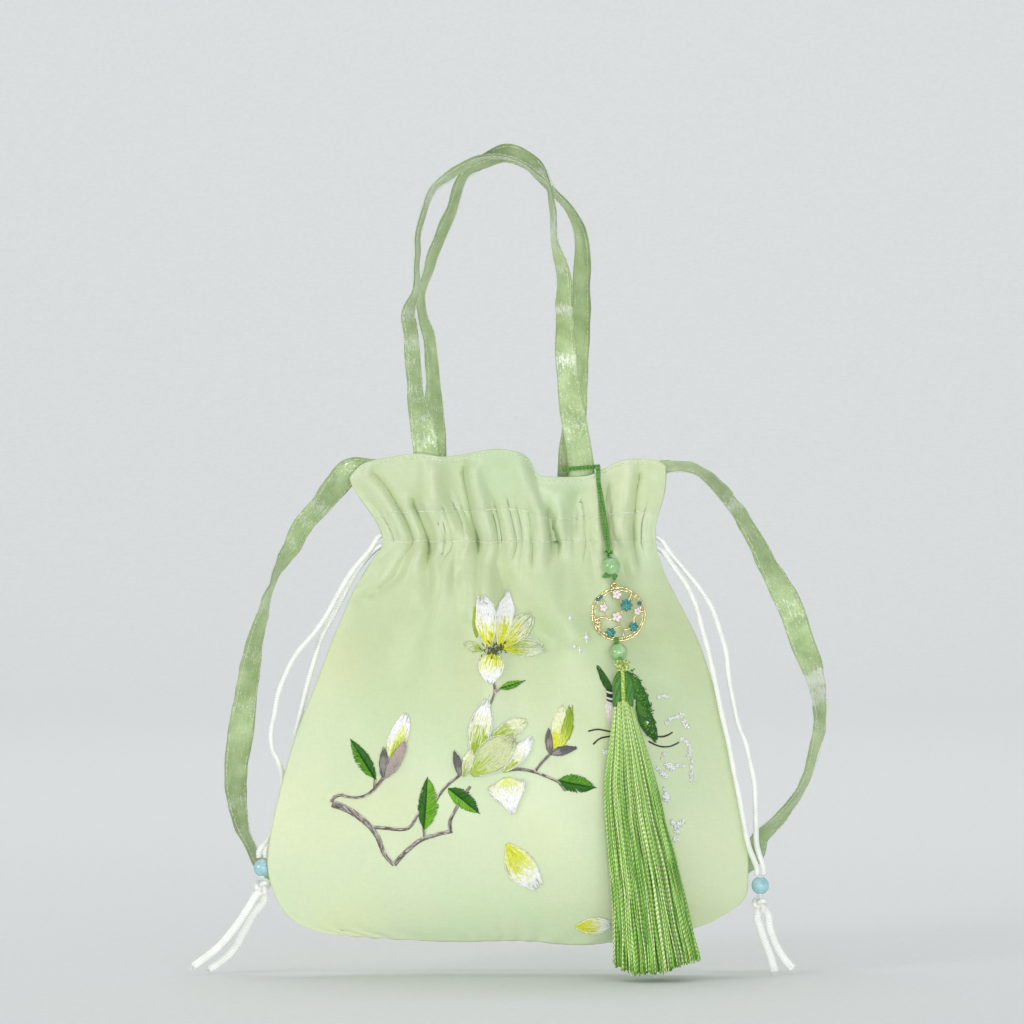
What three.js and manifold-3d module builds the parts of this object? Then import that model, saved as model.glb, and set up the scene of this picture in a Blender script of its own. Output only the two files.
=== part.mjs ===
import * as THREE from "three";
import { mergeVertices } from "three/addons/utils/BufferGeometryUtils.js";
import Module from "manifold-3d";

// Drawstring purse of thin cloth, hanging by its two hand straps.
// Millimetres. X runs to the right, Z up, and the embroidered front faces -Y.
// Heights are counted from the bottom seam until the last step.

// Driving sizes of the bag
const BAG_WIDTH = 216;
const BAG_HEIGHT = 221;
const BAG_DEPTH = 42;
const NECK_HEIGHT = 181;
const CASING_HEIGHT = 14;
const CLOTH_WALL = 1.2;
const SEAM_GAP = 0.3;
const SLIT_OPENING = 1.7;
const FOLD_DEPTH = 5;
const CLEARANCE = 0.3;

// Driving sizes of the straps
const STRAP_WIDTH = 12;
const STRAP_THICKNESS = 1;
const HANDLE_RISE = 132;
const HANDLE_SPAN = 80;
const SEWN_DEPTH = 12;
const HANDLE_STEPS = 40;
const SHOULDER_STEPS = 66;

// Driving sizes of cords and beads
const CORD_DIAMETER = 2.5;
const BEAD_DIAMETER = 8;
const BEAD_HOLE = 3.2;
const KNOT_DIAMETER = 8;
const TAIL_WIDTH = 2.5;
const LEFT_STOPPER_HEIGHT = 33.3;
const RIGHT_STOPPER_HEIGHT = 25.7;
const CORD_STEPS = 16;
const TAIL_STEPS = 6;

// Driving sizes of the charm
const CHARM_CORD = 1.3;
const CHARM_DROP = 65.4;
const CHARM_SIDE = 16.6;
const CORD_LOOP_LIFT = 3.6;
const DISC_DIAMETER = 25;
const DISC_WIRE = 1.3;
const THREAD_DIAMETER = 1;
const RING_RADIUS = 1.2;
const RING_WIRE = 0.3;
const TIE_RADIUS = 0.9;
const TIE_LOOP_RADIUS = 1.3;
const TIE_LOOP_WIRE = 0.33;
const EYE_RADIUS = 0.98;
const EYE_WIRE = 0.36;
const ENAMEL_THICKNESS = 0.8;
const CAP_LENGTH = 15.5;
const CAP_RADIUS = 4.7;
const TASSEL_LENGTH = 121;
const SKIRT_RADIUS = 10;
const TASSEL_SIDE = 14.3;

// Meshing steps
const HEADER_COLUMNS = 44;
const BODY_COLUMNS = 22;
const BACK_HEADER_COLUMNS = 32;
const BACK_BODY_COLUMNS = 16;

const HALF_WIDTH = BAG_WIDTH / 2;
const HALF_DEPTH = BAG_DEPTH / 2;
const HEADER_HEIGHT = BAG_HEIGHT - NECK_HEIGHT;
const CORD_RADIUS = CORD_DIAMETER / 2;
const BEAD_RADIUS = BEAD_DIAMETER / 2;
const HANG_HEIGHT = BAG_HEIGHT + HANDLE_RISE;

function rows(names, ...lines) {
  return lines.map((line) => Object.fromEntries(names.map((name, i) => [name, line[i]])));
}

// Sections of the bag from the bottom seam to the top edge.
// up: share of the bag's height. left, right: shares of half its width.
// deep: share of half its depth. slit_left, slit_right: how far the side seam stands open.
const SECTIONS = rows(
  ["up", "left", "right", "deep", "slit_left", "slit_right"],
  [0.0, 0.648, 0.611, 0.0, 0.0, 0.0],
  [0.016, 0.721, 0.708, 0.15, 0.0, 0.0],
  [0.027, 0.817, 0.771, 0.24, 0.0, 0.0],
  [0.047, 0.9, 0.867, 0.38, 0.0, 0.0],
  [0.088, 0.963, 0.983, 0.6, 0.0, 0.0],
  [0.149, 1.0, 1.0, 0.79, 0.0, 0.0],
  [0.21, 0.992, 0.992, 0.9, 0.0, 0.0],
  [0.291, 0.958, 0.958, 0.985, 0.0, 0.0],
  [0.414, 0.888, 0.908, 0.975, 0.0, 0.0],
  [0.536, 0.792, 0.846, 0.87, 0.0, 0.0],
  [0.617, 0.73, 0.788, 0.76, 0.0, 0.0],
  [0.699, 0.658, 0.705, 0.64, 0.0, 0.0],
  [0.739, 0.617, 0.663, 0.58, 0.1, 0.1],
  [0.78, 0.567, 0.633, 0.52, 0.7, 0.7],
  [0.81, 0.521, 0.617, 0.48, 1.0, 1.0],
  [0.851, 0.542, 0.617, 0.475, 1.0, 1.1],
  [0.882, 0.583, 0.633, 0.48, 0.8, 1.8],
  [0.912, 0.625, 0.65, 0.51, 0.7, 3.2],
  [0.947, 0.658, 0.658, 0.54, 0.7, 4.3],
  [1.0, 0.652, 0.655, 0.56, 0.7, 4.6]
);

// Folds pressed into the cloth by the drawn cord; a negative depth is a ridge.
// at: place across the neck, -1 to 1. deep: share of the fold depth at the casing.
// left, right: widths of its two sides. top: place at the top edge. head: depth there.
// foot: place where it dies out. reach: share of the bag's height that it runs down.
const FOLD_COLUMNS = ["at", "deep", "left", "right", "top", "head", "foot", "reach"];
const FRONT_FOLDS = rows(
  FOLD_COLUMNS,
  [-0.9, 0.5, 0.05, 0.05, -0.93, 0.0, -0.93, 0.12],
  [-0.79, 0.75, 0.05, 0.05, -0.83, 0.35, -0.84, 0.16],
  [-0.67, 0.9, 0.05, 0.06, -0.7, 0.3, -0.5, 0.22],
  [-0.54, -0.3, 0.08, 0.08, -0.55, -0.35, -0.5, 0.1],
  [-0.42, 0.4, 0.05, 0.04, -0.38, 0.1, -0.38, 0.1],
  [-0.32, 1.0, 0.07, 0.04, -0.29, 0.4, -0.3, 0.12],
  [-0.17, 0.4, 0.05, 0.12, -0.13, 0.0, 0.12, 0.28],
  [-0.03, -0.35, 0.14, 0.16, -0.03, -0.8, 0.0, 0.05],
  [0.06, 0.35, 0.05, 0.05, 0.03, 0.0, 0.15, 0.08],
  [0.23, 1.0, 0.04, 0.3, 0.17, 1.0, 0.3, 0.16],
  [0.47, 0.45, 0.06, 0.06, 0.5, 0.15, 0.46, 0.12],
  [0.66, 0.7, 0.05, 0.06, 0.66, 0.25, 0.62, 0.12],
  [0.75, -0.25, 0.06, 0.06, 0.76, -0.5, 0.7, 0.08],
  [0.84, 0.9, 0.05, 0.05, 0.86, 0.5, 0.72, 0.14]
);
const BACK_FOLDS = rows(
  FOLD_COLUMNS,
  [-0.84, 0.7, 0.06, 0.06, -0.86, 0.3, -0.86, 0.14],
  [-0.66, 0.8, 0.06, 0.07, -0.63, 0.3, -0.6, 0.18],
  [-0.45, 0.6, 0.07, 0.06, -0.44, 0.2, -0.5, 0.12],
  [-0.24, 0.9, 0.06, 0.07, -0.28, 0.4, -0.2, 0.2],
  [-0.04, 0.6, 0.06, 0.06, -0.02, 0.2, -0.06, 0.12],
  [0.17, 0.9, 0.07, 0.06, 0.2, 0.35, 0.14, 0.22],
  [0.38, 0.6, 0.06, 0.06, 0.42, 0.25, 0.34, 0.13],
  [0.6, 0.9, 0.06, 0.07, 0.6, 0.3, 0.56, 0.18],
  [0.82, 0.7, 0.06, 0.06, 0.85, 0.3, 0.8, 0.14]
);

// Top edges. at: place across. rise: share of the header's height above its nominal edge.
const FRONT_EDGE = rows(
  ["at", "rise"],
  [-1.0, -0.29],
  [-0.93, -0.15],
  [-0.86, -0.09],
  [-0.69, -0.035],
  [-0.56, -0.01],
  [-0.43, -0.045],
  [-0.32, -0.03],
  [-0.1, 0.04],
  [0.0, 0.033],
  [0.07, 0.0],
  [0.12, -0.07],
  [0.19, -0.24],
  [0.25, -0.27],
  [0.5, -0.26],
  [0.6, -0.19],
  [0.72, -0.09],
  [0.86, -0.07],
  [0.95, -0.09],
  [1.0, -0.15]
);
const BACK_EDGE = rows(
  ["at", "rise"],
  [-1.0, -0.29],
  [-0.9, -0.16],
  [-0.7, -0.1],
  [-0.4, -0.12],
  [-0.1, -0.09],
  [0.1, -0.18],
  [0.2, -0.32],
  [0.45, -0.33],
  [0.7, -0.17],
  [0.9, -0.13],
  [1.0, -0.15]
);

// Bottom seam. at: place across. rise: share of the bag's height.
const BOTTOM_SEAM = rows(
  ["at", "rise"],
  [-1.0, 0.014],
  [-0.7, 0.008],
  [-0.3, 0.003],
  [0.1, 0.005],
  [0.5, -0.004],
  [0.8, 0.004],
  [1.0, 0.014]
);

// Rows of the cloth mesh, as shares of the neck height and of the header's height
const BODY_ROWS = [0, 0.015, 0.035, 0.07, 0.13, 0.22, 0.34, 0.48, 0.62, 0.74, 0.84];
const NECK_ROWS = [0.9, 0.95, 1.0];
const HEADER_ROWS = [0.17, 0.35, 0.55, 0.78, 1.0];

// Smooth value of a column between the rows of a table
function along(table, key, at, column) {
  const last = table.length - 1;
  const x = Math.min(Math.max(at, table[0][key]), table[last][key]);
  let i = 0;
  while (i < last - 1 && x > table[i + 1][key]) i += 1;
  const slope = (k) => {
    const before = table[Math.max(k - 1, 0)];
    const after = table[Math.min(k + 1, last)];
    return (after[column] - before[column]) / (after[key] - before[key]);
  };
  const span = table[i + 1][key] - table[i][key];
  const t = (x - table[i][key]) / span;
  const start = (2 * t * t * t - 3 * t * t + 1) * table[i][column];
  const leave = (t * t * t - 2 * t * t + t) * span * slope(i);
  const end = (3 * t * t - 2 * t * t * t) * table[i + 1][column];
  const arrive = (t * t * t - t * t) * span * slope(i + 1);
  return start + leave + end + arrive;
}

const FRONT = { sign: -1, folds: FRONT_FOLDS, edge: FRONT_EDGE };
const BACK = { sign: 1, folds: BACK_FOLDS, edge: BACK_EDGE };

function sideEdge(side, z) {
  const share = along(SECTIONS, "up", z / BAG_HEIGHT, side < 0 ? "left" : "right");
  return HALF_WIDTH * share;
}

function acrossAt(x, z) {
  const left = sideEdge(-1, z);
  const right = sideEdge(1, z);
  return (x - (right - left) / 2) / ((right + left) / 2);
}

function sidewaysAt(u, z) {
  const left = sideEdge(-1, z);
  const right = sideEdge(1, z);
  return (right - left) / 2 + (u * (right + left)) / 2;
}

function topEdge(panel, u) {
  return BAG_HEIGHT + HEADER_HEIGHT * along(panel.edge, "at", u, "rise");
}

// Nominal height of a point, free of the wave of the bottom seam and of the top edge
function levelAt(panel, u, z) {
  if (z > NECK_HEIGHT) {
    return NECK_HEIGHT + ((z - NECK_HEIGHT) * HEADER_HEIGHT) / (topEdge(panel, u) - NECK_HEIGHT);
  }
  const wave = BAG_HEIGHT * along(BOTTOM_SEAM, "at", u, "rise");
  const calm = 0.2 * NECK_HEIGHT;
  return z < calm ? ((z - wave) * calm) / (calm - wave) : z;
}

function foldAt(fold, u, level) {
  const above = Math.max(0, (level - NECK_HEIGHT - CASING_HEIGHT) / (HEADER_HEIGHT - CASING_HEIGHT));
  const below = Math.min(1, Math.max(0, (NECK_HEIGHT - level) / (fold.reach * BAG_HEIGHT)));
  const place = fold.at + (fold.top - fold.at) * above + (fold.foot - fold.at) * below;
  const depth = (fold.deep + (fold.head - fold.deep) * above) * (1 - below) * (1 - below);
  const width = (u < place ? fold.left : fold.right) * (1 + above + 2 * below);
  const reach = (u - place) / width;
  return depth * Math.exp(-reach * reach);
}

// Distance of the cloth's inner face from the plane of the side seams
function innerDepth(panel, u, z) {
  const level = Math.min(Math.max(levelAt(panel, u, z), 0), BAG_HEIGHT);
  const up = level / BAG_HEIGHT;
  const round = 1 - Math.min(1, Math.abs(u) ** 2.6);
  const slitLeft = along(SECTIONS, "up", up, "slit_left");
  const slitRight = along(SECTIONS, "up", up, "slit_right");
  const slit = slitLeft + ((slitRight - slitLeft) * (u + 1)) / 2;
  let fold = 0;
  for (const one of panel.folds) fold += foldAt(one, u, level);
  const open = SEAM_GAP / 2 + SLIT_OPENING * Math.max(0, slit) * Math.abs(u) ** 6;
  const belly = HALF_DEPTH * Math.max(0, along(SECTIONS, "up", up, "deep")) * round;
  return open + belly - FOLD_DEPTH * fold * Math.sqrt(round) * Math.min(1, level / (0.3 * BAG_HEIGHT));
}

function innerPoint(panel, u, z) {
  return new THREE.Vector3(sidewaysAt(u, z), panel.sign * innerDepth(panel, u, z), z);
}

function outerPoint(panel, u, z) {
  const step = 0.004;
  const across = innerPoint(panel, u + step, z).sub(innerPoint(panel, u - step, z));
  const rise = innerPoint(panel, u, z + 0.4).sub(innerPoint(panel, u, z - 0.4));
  const normal = across.cross(rise).normalize();
  if (normal.y * panel.sign < 0) normal.negate();
  normal.y = panel.sign * Math.max(0.45, Math.abs(normal.y));
  return innerPoint(panel, u, z).addScaledVector(normal.normalize(), CLOTH_WALL);
}

// Deepest clear place just outside a panel for a thing of this radius
function frontOf(panel, x, z, radius) {
  let depth = 0;
  for (const dx of [-1, -0.5, 0, 0.5, 1]) {
    for (const dz of [-1, 0, 1]) {
      const u = acrossAt(x + dx * radius, z + dz * radius);
      const at = outerPoint(panel, Math.min(Math.max(u, -1), 1), z + dz * radius);
      depth = Math.max(depth, Math.abs(at.y));
    }
  }
  return panel.sign * (depth + CLEARANCE + radius);
}

// Place just inside a panel for a strap end sewn to its inner face
function sewnTo(panel, x, top) {
  let depth = HALF_DEPTH;
  for (const dx of [-1.1, -0.7, -0.35, 0, 0.35, 0.7, 1.1]) {
    for (const dz of [0.3, 0.1, -0.2, -0.5, -0.8, -1.1]) {
      const z = top + dz * SEWN_DEPTH;
      const u = acrossAt(x + (dx * STRAP_WIDTH) / 2, z);
      depth = Math.min(depth, innerDepth(panel, u, Math.min(z, topEdge(panel, u))));
    }
  }
  return panel.sign * (depth - CLEARANCE - STRAP_THICKNESS / 2);
}

function meshVolume(points, faces) {
  let sum = 0;
  for (const [a, b, c] of faces) sum += points[a].dot(points[b].clone().cross(points[c]));
  return sum / 6;
}

function solid(points, faces) {
  const turned = meshVolume(points, faces) < 0 ? faces.map(([a, b, c]) => [a, c, b]) : faces;
  const shape = new THREE.BufferGeometry();
  const flat = points.flatMap((p) => [p.x, p.y, p.z]);
  shape.setAttribute("position", new THREE.Float32BufferAttribute(flat, 3));
  shape.setIndex(turned.flat());
  return shape;
}

// One panel as a closed sheet with an inner face, an outer face and a rim
function clothPanel(panel, headerColumns, bodyColumns) {
  const grid = [];
  const addRow = (columns, heightAt) => {
    const row = [];
    for (let i = 0; i <= columns; i += 1) {
      const u = -1 + (2 * i) / columns;
      row.push([u, heightAt(u)]);
    }
    grid.push(row);
  };
  for (const share of BODY_ROWS) {
    addRow(bodyColumns, (u) => {
      const wave = BAG_HEIGHT * along(BOTTOM_SEAM, "at", u, "rise");
      const calm = 0.2 * NECK_HEIGHT;
      const level = share * NECK_HEIGHT;
      return level < calm ? wave + (level * (calm - wave)) / calm : level;
    });
  }
  for (const share of NECK_ROWS) addRow(headerColumns, () => share * NECK_HEIGHT);
  for (const share of HEADER_ROWS) {
    addRow(headerColumns, (u) => NECK_HEIGHT + share * (topEdge(panel, u) - NECK_HEIGHT));
  }
  const points = [];
  const inner = grid.map((row) => row.map(([u, z]) => points.push(innerPoint(panel, u, z)) - 1));
  const outer = grid.map((row) => row.map(([u, z]) => points.push(outerPoint(panel, u, z)) - 1));
  const faces = [];
  const skin = (ids, flip) => {
    const face = (a, b, c) => faces.push(flip ? [a, c, b] : [a, b, c]);
    for (let j = 0; j + 1 < ids.length; j += 1) {
      const low = ids[j];
      const high = ids[j + 1];
      const each = (high.length - 1) / (low.length - 1);
      for (let i = 0; i + 1 < low.length; i += 1) {
        if (each === 1) {
          face(low[i], low[i + 1], high[i + 1]);
          face(low[i], high[i + 1], high[i]);
        } else {
          face(low[i], high[2 * i + 1], high[2 * i]);
          face(low[i], low[i + 1], high[2 * i + 1]);
          face(low[i + 1], high[2 * i + 2], high[2 * i + 1]);
        }
      }
    }
  };
  skin(outer, false);
  skin(inner, true);
  const rim = [];
  const last = grid.length - 1;
  for (let i = 0; i < grid[0].length; i += 1) rim.push([0, i]);
  for (let j = 1; j <= last; j += 1) rim.push([j, grid[j].length - 1]);
  for (let i = grid[last].length - 2; i >= 0; i -= 1) rim.push([last, i]);
  for (let j = last - 1; j >= 1; j -= 1) rim.push([j, 0]);
  rim.forEach(([j, i], k) => {
    const [nj, ni] = rim[(k + 1) % rim.length];
    faces.push([outer[j][i], inner[nj][ni], outer[nj][ni]]);
    faces.push([outer[j][i], inner[j][i], inner[nj][ni]]);
  });
  return solid(points, faces);
}

// Closed sweep of a section along stations of centre, side and face directions
function sweep(stations, sectionAt) {
  const points = [];
  const faces = [];
  const sides = sectionAt(0).length;
  stations.forEach(({ centre, wide, face }, j) => {
    for (const [a, b] of sectionAt(j)) {
      points.push(centre.clone().addScaledVector(wide, a).addScaledVector(face, b));
    }
  });
  for (let j = 0; j + 1 < stations.length; j += 1) {
    for (let i = 0; i < sides; i += 1) {
      const n = (i + 1) % sides;
      const a = j * sides;
      faces.push([a + i, a + n, a + sides + n]);
      faces.push([a + i, a + sides + n, a + sides + i]);
    }
  }
  const end = (stations.length - 1) * sides;
  for (let i = 1; i + 1 < sides; i += 1) {
    faces.push([0, i + 1, i]);
    faces.push([end, end + i, end + i + 1]);
  }
  return solid(points, faces);
}

// Flat band through rows of x, y, z and turn; turn 0 shows its flat side to the front
function band(path, steps, width, thickness) {
  const curve = new THREE.CatmullRomCurve3(path.map((p) => new THREE.Vector3(p.x, p.y, p.z)));
  const table = path.map((p, i) => ({ at: i / (path.length - 1), turn: p.turn }));
  const stations = [];
  for (let j = 0; j <= steps; j += 1) {
    const t = j / steps;
    const tangent = curve.getTangent(t);
    const face = new THREE.Vector3(0, -1, 0).addScaledVector(tangent, tangent.y).normalize();
    const wide = new THREE.Vector3().crossVectors(tangent, face);
    const turn = THREE.MathUtils.degToRad(along(table, "at", t, "turn"));
    face.applyAxisAngle(tangent, turn);
    wide.applyAxisAngle(tangent, turn);
    stations.push({ centre: curve.getPoint(t), wide, face });
  }
  const w = width / 2;
  const h = thickness / 2;
  return sweep(stations, () => [[-w, -h], [w, -h], [w, h], [-w, h]]);
}

function ring(radius, sides, flat = 1) {
  const out = [];
  for (let i = 0; i < sides; i += 1) {
    const a = (2 * Math.PI * (i + 0.5)) / sides;
    out.push([radius * Math.cos(a), radius * flat * Math.sin(a)]);
  }
  return out;
}

// Round cord through points, its section carried along without twist
function cord(points, steps, radius, sides = 8, flat = 1) {
  const curve = new THREE.CatmullRomCurve3(points);
  const stations = [];
  let face = null;
  for (let j = 0; j <= steps; j += 1) {
    const t = j / steps;
    const tangent = curve.getTangent(t);
    if (!face) face = Math.abs(tangent.y) > 0.9 ? new THREE.Vector3(1, 0, 0) : new THREE.Vector3(0, -1, 0);
    face = face.clone().addScaledVector(tangent, -face.dot(tangent)).normalize();
    const wide = new THREE.Vector3().crossVectors(tangent, face);
    stations.push({ centre: curve.getPoint(t), wide, face });
  }
  const radiusAt = (j) => (typeof radius === "function" ? radius(j / steps) : radius);
  return sweep(stations, (j) => ring(radiusAt(j), sides, flat));
}

function lathe(profile, segments) {
  const points = profile.map(([r, z]) => new THREE.Vector2(r, z));
  const shape = new THREE.LatheGeometry(points, segments);
  shape.rotateX(Math.PI / 2);
  return shape;
}

function ball(radius, rowsUp, segments) {
  const profile = [];
  for (let i = 0; i <= rowsUp; i += 1) {
    const a = -Math.PI / 2 + (Math.PI * i) / rowsUp;
    profile.push([i === 0 || i === rowsUp ? 0 : radius * Math.cos(a), radius * Math.sin(a)]);
  }
  return lathe(profile, segments);
}

function bead(diameter, hole) {
  const r = diameter / 2;
  const lip = Math.acos(hole / 2 / r);
  const profile = [];
  for (let i = 0; i <= 6; i += 1) {
    const a = -lip + (2 * lip * i) / 6;
    profile.push([r * Math.cos(a), r * Math.sin(a)]);
  }
  profile.push(profile[0].slice());
  return lathe(profile, 14);
}

const wasm = await Module();
wasm.setup();

function toManifold(shape) {
  const bare = shape.clone();
  bare.deleteAttribute("normal");
  bare.deleteAttribute("uv");
  const joined = mergeVertices(bare, 1e-4);
  const triVerts = new Uint32Array(joined.index.array);
  const vertProperties = new Float32Array(joined.attributes.position.array);
  return new wasm.Manifold(new wasm.Mesh({ numProp: 3, vertProperties, triVerts }));
}

function fromManifold(body) {
  const mesh = body.getMesh();
  const shape = new THREE.BufferGeometry();
  shape.setAttribute("position", new THREE.BufferAttribute(mesh.vertProperties, 3));
  shape.setIndex(new THREE.BufferAttribute(mesh.triVerts, 1));
  return shape;
}

function join(shapes) {
  let whole = toManifold(shapes[0]);
  for (const shape of shapes.slice(1)) whole = whole.add(toManifold(shape));
  return fromManifold(whole);
}

function placed(shape, x, y, z) {
  shape.translate(x, y, z);
  return shape;
}

// Materials
const CLOTH = { color: "#cedcb5", roughness: 0.5, metalness: 0 };
const ORGANZA = { color: "#b6ca92", roughness: 0.4, metalness: 0.1 };
const WHITE_SATIN = { color: "#f4f6f0", roughness: 0.45, metalness: 0 };
const BLUE_GLASS = { color: "#a9d3d8", roughness: 0.15, metalness: 0 };
const JADE_GLASS = { color: "#9cc287", roughness: 0.15, metalness: 0 };
const GREEN_CORD = { color: "#5f9a3c", roughness: 0.6, metalness: 0 };
const GOLD = { color: "#d9bf72", roughness: 0.25, metalness: 1 };
const WHITE_ENAMEL = { color: "#f3e3e2", roughness: 0.2, metalness: 0 };
const TEAL_ENAMEL = { color: "#30a68e", roughness: 0.2, metalness: 0 };
const TASSEL_GREEN = { color: "#96c161", roughness: 0.45, metalness: 0 };
const CAP_GREEN = { color: "#5e8944", roughness: 0.55, metalness: 0 };

const purse = new THREE.Group();

function add(name, shape, look) {
  const mesh = new THREE.Mesh(shape, new THREE.MeshStandardMaterial(look));
  mesh.name = name;
  mesh.position.z = -HANG_HEIGHT;
  purse.add(mesh);
}

add("front_panel", clothPanel(FRONT, HEADER_COLUMNS, BODY_COLUMNS), CLOTH);
add("back_panel", clothPanel(BACK, BACK_HEADER_COLUMNS, BACK_BODY_COLUMNS), CLOTH);

// Hand straps. across: share of the handle span from the middle.
// up: share of the handle rise above the nominal top edge.
// deep: share of half the bag's depth, towards the back. turn: degrees.
const HANDLE_COLUMNS = ["across", "up", "deep", "turn"];
const FRONT_HANDLE = rows(
  HANDLE_COLUMNS,
  [-0.515, 0.195, -0.452, 50],
  [-0.535, 0.382, -0.5, 54],
  [-0.557, 0.474, -0.524, 60],
  [-0.515, 0.548, -0.524, 76],
  [-0.509, 0.716, -0.486, 80],
  [-0.428, 0.883, -0.41, 78],
  [-0.335, 0.934, -0.381, 72],
  [-0.186, 0.989, -0.357, 78],
  [-0.045, 1.004, -0.343, 86],
  [0.09, 0.975, -0.343, 84],
  [0.174, 0.934, -0.352, 80],
  [0.236, 0.893, -0.381, 78],
  [0.253, 0.818, -0.4, 78],
  [0.262, 0.716, -0.429, 75],
  [0.304, 0.61, -0.443, 58],
  [0.315, 0.399, -0.452, 42],
  [0.349, 0.195, -0.452, 26]
);
const BACK_HANDLE = rows(
  HANDLE_COLUMNS,
  [-0.416, 0.195, 0.405, 52],
  [-0.444, 0.382, 0.357, 62],
  [-0.498, 0.504, 0.262, 70],
  [-0.47, 0.589, 0.262, 70],
  [-0.394, 0.716, 0.286, 64],
  [-0.312, 0.828, 0.305, 66],
  [-0.256, 0.934, 0.314, 70],
  [-0.18, 0.975, 0.314, 62],
  [0.0, 1.02, 0.305, 47],
  [0.141, 0.982, 0.333, 50],
  [0.25, 0.893, 0.381, 76],
  [0.357, 0.818, 0.381, 70],
  [0.413, 0.716, 0.381, 58],
  [0.41, 0.61, 0.381, 46],
  [0.408, 0.399, 0.405, 40],
  [0.388, 0.195, 0.405, 34]
);

const FRONT_LEFT_LEG = -0.461;
const FRONT_RIGHT_LEG = 0.411;
const BACK_LEFT_LEG = -0.42;
const BACK_RIGHT_LEG = 0.35;

function legTopAt(panel, x) {
  return topEdge(panel, acrossAt(x, BAG_HEIGHT - SEWN_DEPTH / 2));
}

function handle(panel, table, leftLeg, rightLeg) {
  const middle = table.map((row) => ({
    x: row.across * HANDLE_SPAN,
    z: BAG_HEIGHT + row.up * HANDLE_RISE,
    y: row.deep * HALF_DEPTH,
    turn: row.turn,
  }));
  const leg = (across) => {
    const x = across * HANDLE_SPAN;
    const top = legTopAt(panel, x);
    const y = sewnTo(panel, x, top);
    return [top + 0.3 * SEWN_DEPTH, top - SEWN_DEPTH].map((z) => ({ x, y, z, turn: 0 }));
  };
  const [leftOut, leftIn] = leg(leftLeg);
  const [rightOut, rightIn] = leg(rightLeg);
  return band([leftIn, leftOut, ...middle, rightOut, rightIn], HANDLE_STEPS, STRAP_WIDTH, STRAP_THICKNESS);
}

add("hand_strap_front", handle(FRONT, FRONT_HANDLE, FRONT_LEFT_LEG, FRONT_RIGHT_LEG), ORGANZA);
add("hand_strap_back", handle(BACK, BACK_HANDLE, BACK_LEFT_LEG, BACK_RIGHT_LEG), ORGANZA);

// Shoulder strap. side: which edge of the bag it is measured from. up: share of the bag's height.
// out: share of half the bag's width beyond that edge.
// deep: share of half the bag's depth, towards the back. turn: degrees.
const SHOULDER_STRAP = rows(
  ["side", "up", "out", "deep", "turn"],
  [-1, 0.955, -0.2, 0, 0],
  [-1, 0.96, -0.09, 0, 0],
  [-1, 0.962, -0.005, 0, 0],
  [-1, 0.932, 0.065, 0, 20],
  [-1, 0.892, 0.18, 0.048, 36],
  [-1, 0.855, 0.305, 0.095, 40],
  [-1, 0.814, 0.375, 0.143, 46],
  [-1, 0.772, 0.372, 0.19, 64],
  [-1, 0.723, 0.358, 0.238, 78],
  [-1, 0.645, 0.333, 0.333, 58],
  [-1, 0.566, 0.305, 0.429, 42],
  [-1, 0.485, 0.268, 0.524, 27],
  [-1, 0.427, 0.241, 0.619, 10],
  [-1, 0.34, 0.212, 0.714, 28],
  [-1, 0.295, 0.185, 0.81, 40],
  [-1, 0.24, 0.141, 0.905, 55],
  [-1, 0.189, 0.085, 1, 72],
  [-1, 0.15, 0.035, 1.095, 60],
  [-1, 0.1, -0.15, 1.286, 30],
  [-1, 0.065, -0.4, 1.333, 8],
  [-1, 0.05, -0.72, 1.333, 0],
  [1, 0.06, -0.75, 1.333, 0],
  [1, 0.08, -0.4, 1.333, 5],
  [1, 0.115, -0.17, 1.286, 15],
  [1, 0.165, 0.02, 1.143, 20],
  [1, 0.208, 0.067, 1.048, 48],
  [1, 0.24, 0.15, 0.952, 55],
  [1, 0.285, 0.243, 0.857, 64],
  [1, 0.324, 0.303, 0.762, 68],
  [1, 0.369, 0.351, 0.667, 64],
  [1, 0.417, 0.392, 0.571, 58],
  [1, 0.47, 0.426, 0.524, 56],
  [1, 0.548, 0.438, 0.429, 37],
  [1, 0.615, 0.437, 0.333, 14],
  [1, 0.684, 0.458, 0.238, 12],
  [1, 0.745, 0.456, 0.19, 30],
  [1, 0.784, 0.44, 0.143, 40],
  [1, 0.83, 0.407, 0.095, 49],
  [1, 0.908, 0.262, 0.048, 57],
  [1, 0.963, 0.13, 0, 66],
  [1, 0.97, 0.045, 0, 66],
  [1, 0.97, -0.005, 0, 58],
  [1, 0.955, -0.08, 0, 34],
  [1, 0.94, -0.17, 0, 12],
  [1, 0.925, -0.26, 0, 4]
);
const shoulderPath = SHOULDER_STRAP.map((row) => {
  const z = row.up * BAG_HEIGHT;
  const x = row.side * (sideEdge(row.side, z) + row.out * HALF_WIDTH);
  return { x, z, y: row.deep * HALF_DEPTH, turn: row.side * row.turn };
});
add("shoulder_strap", band(shoulderPath, SHOULDER_STEPS, STRAP_WIDTH, STRAP_THICKNESS), ORGANZA);

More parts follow.
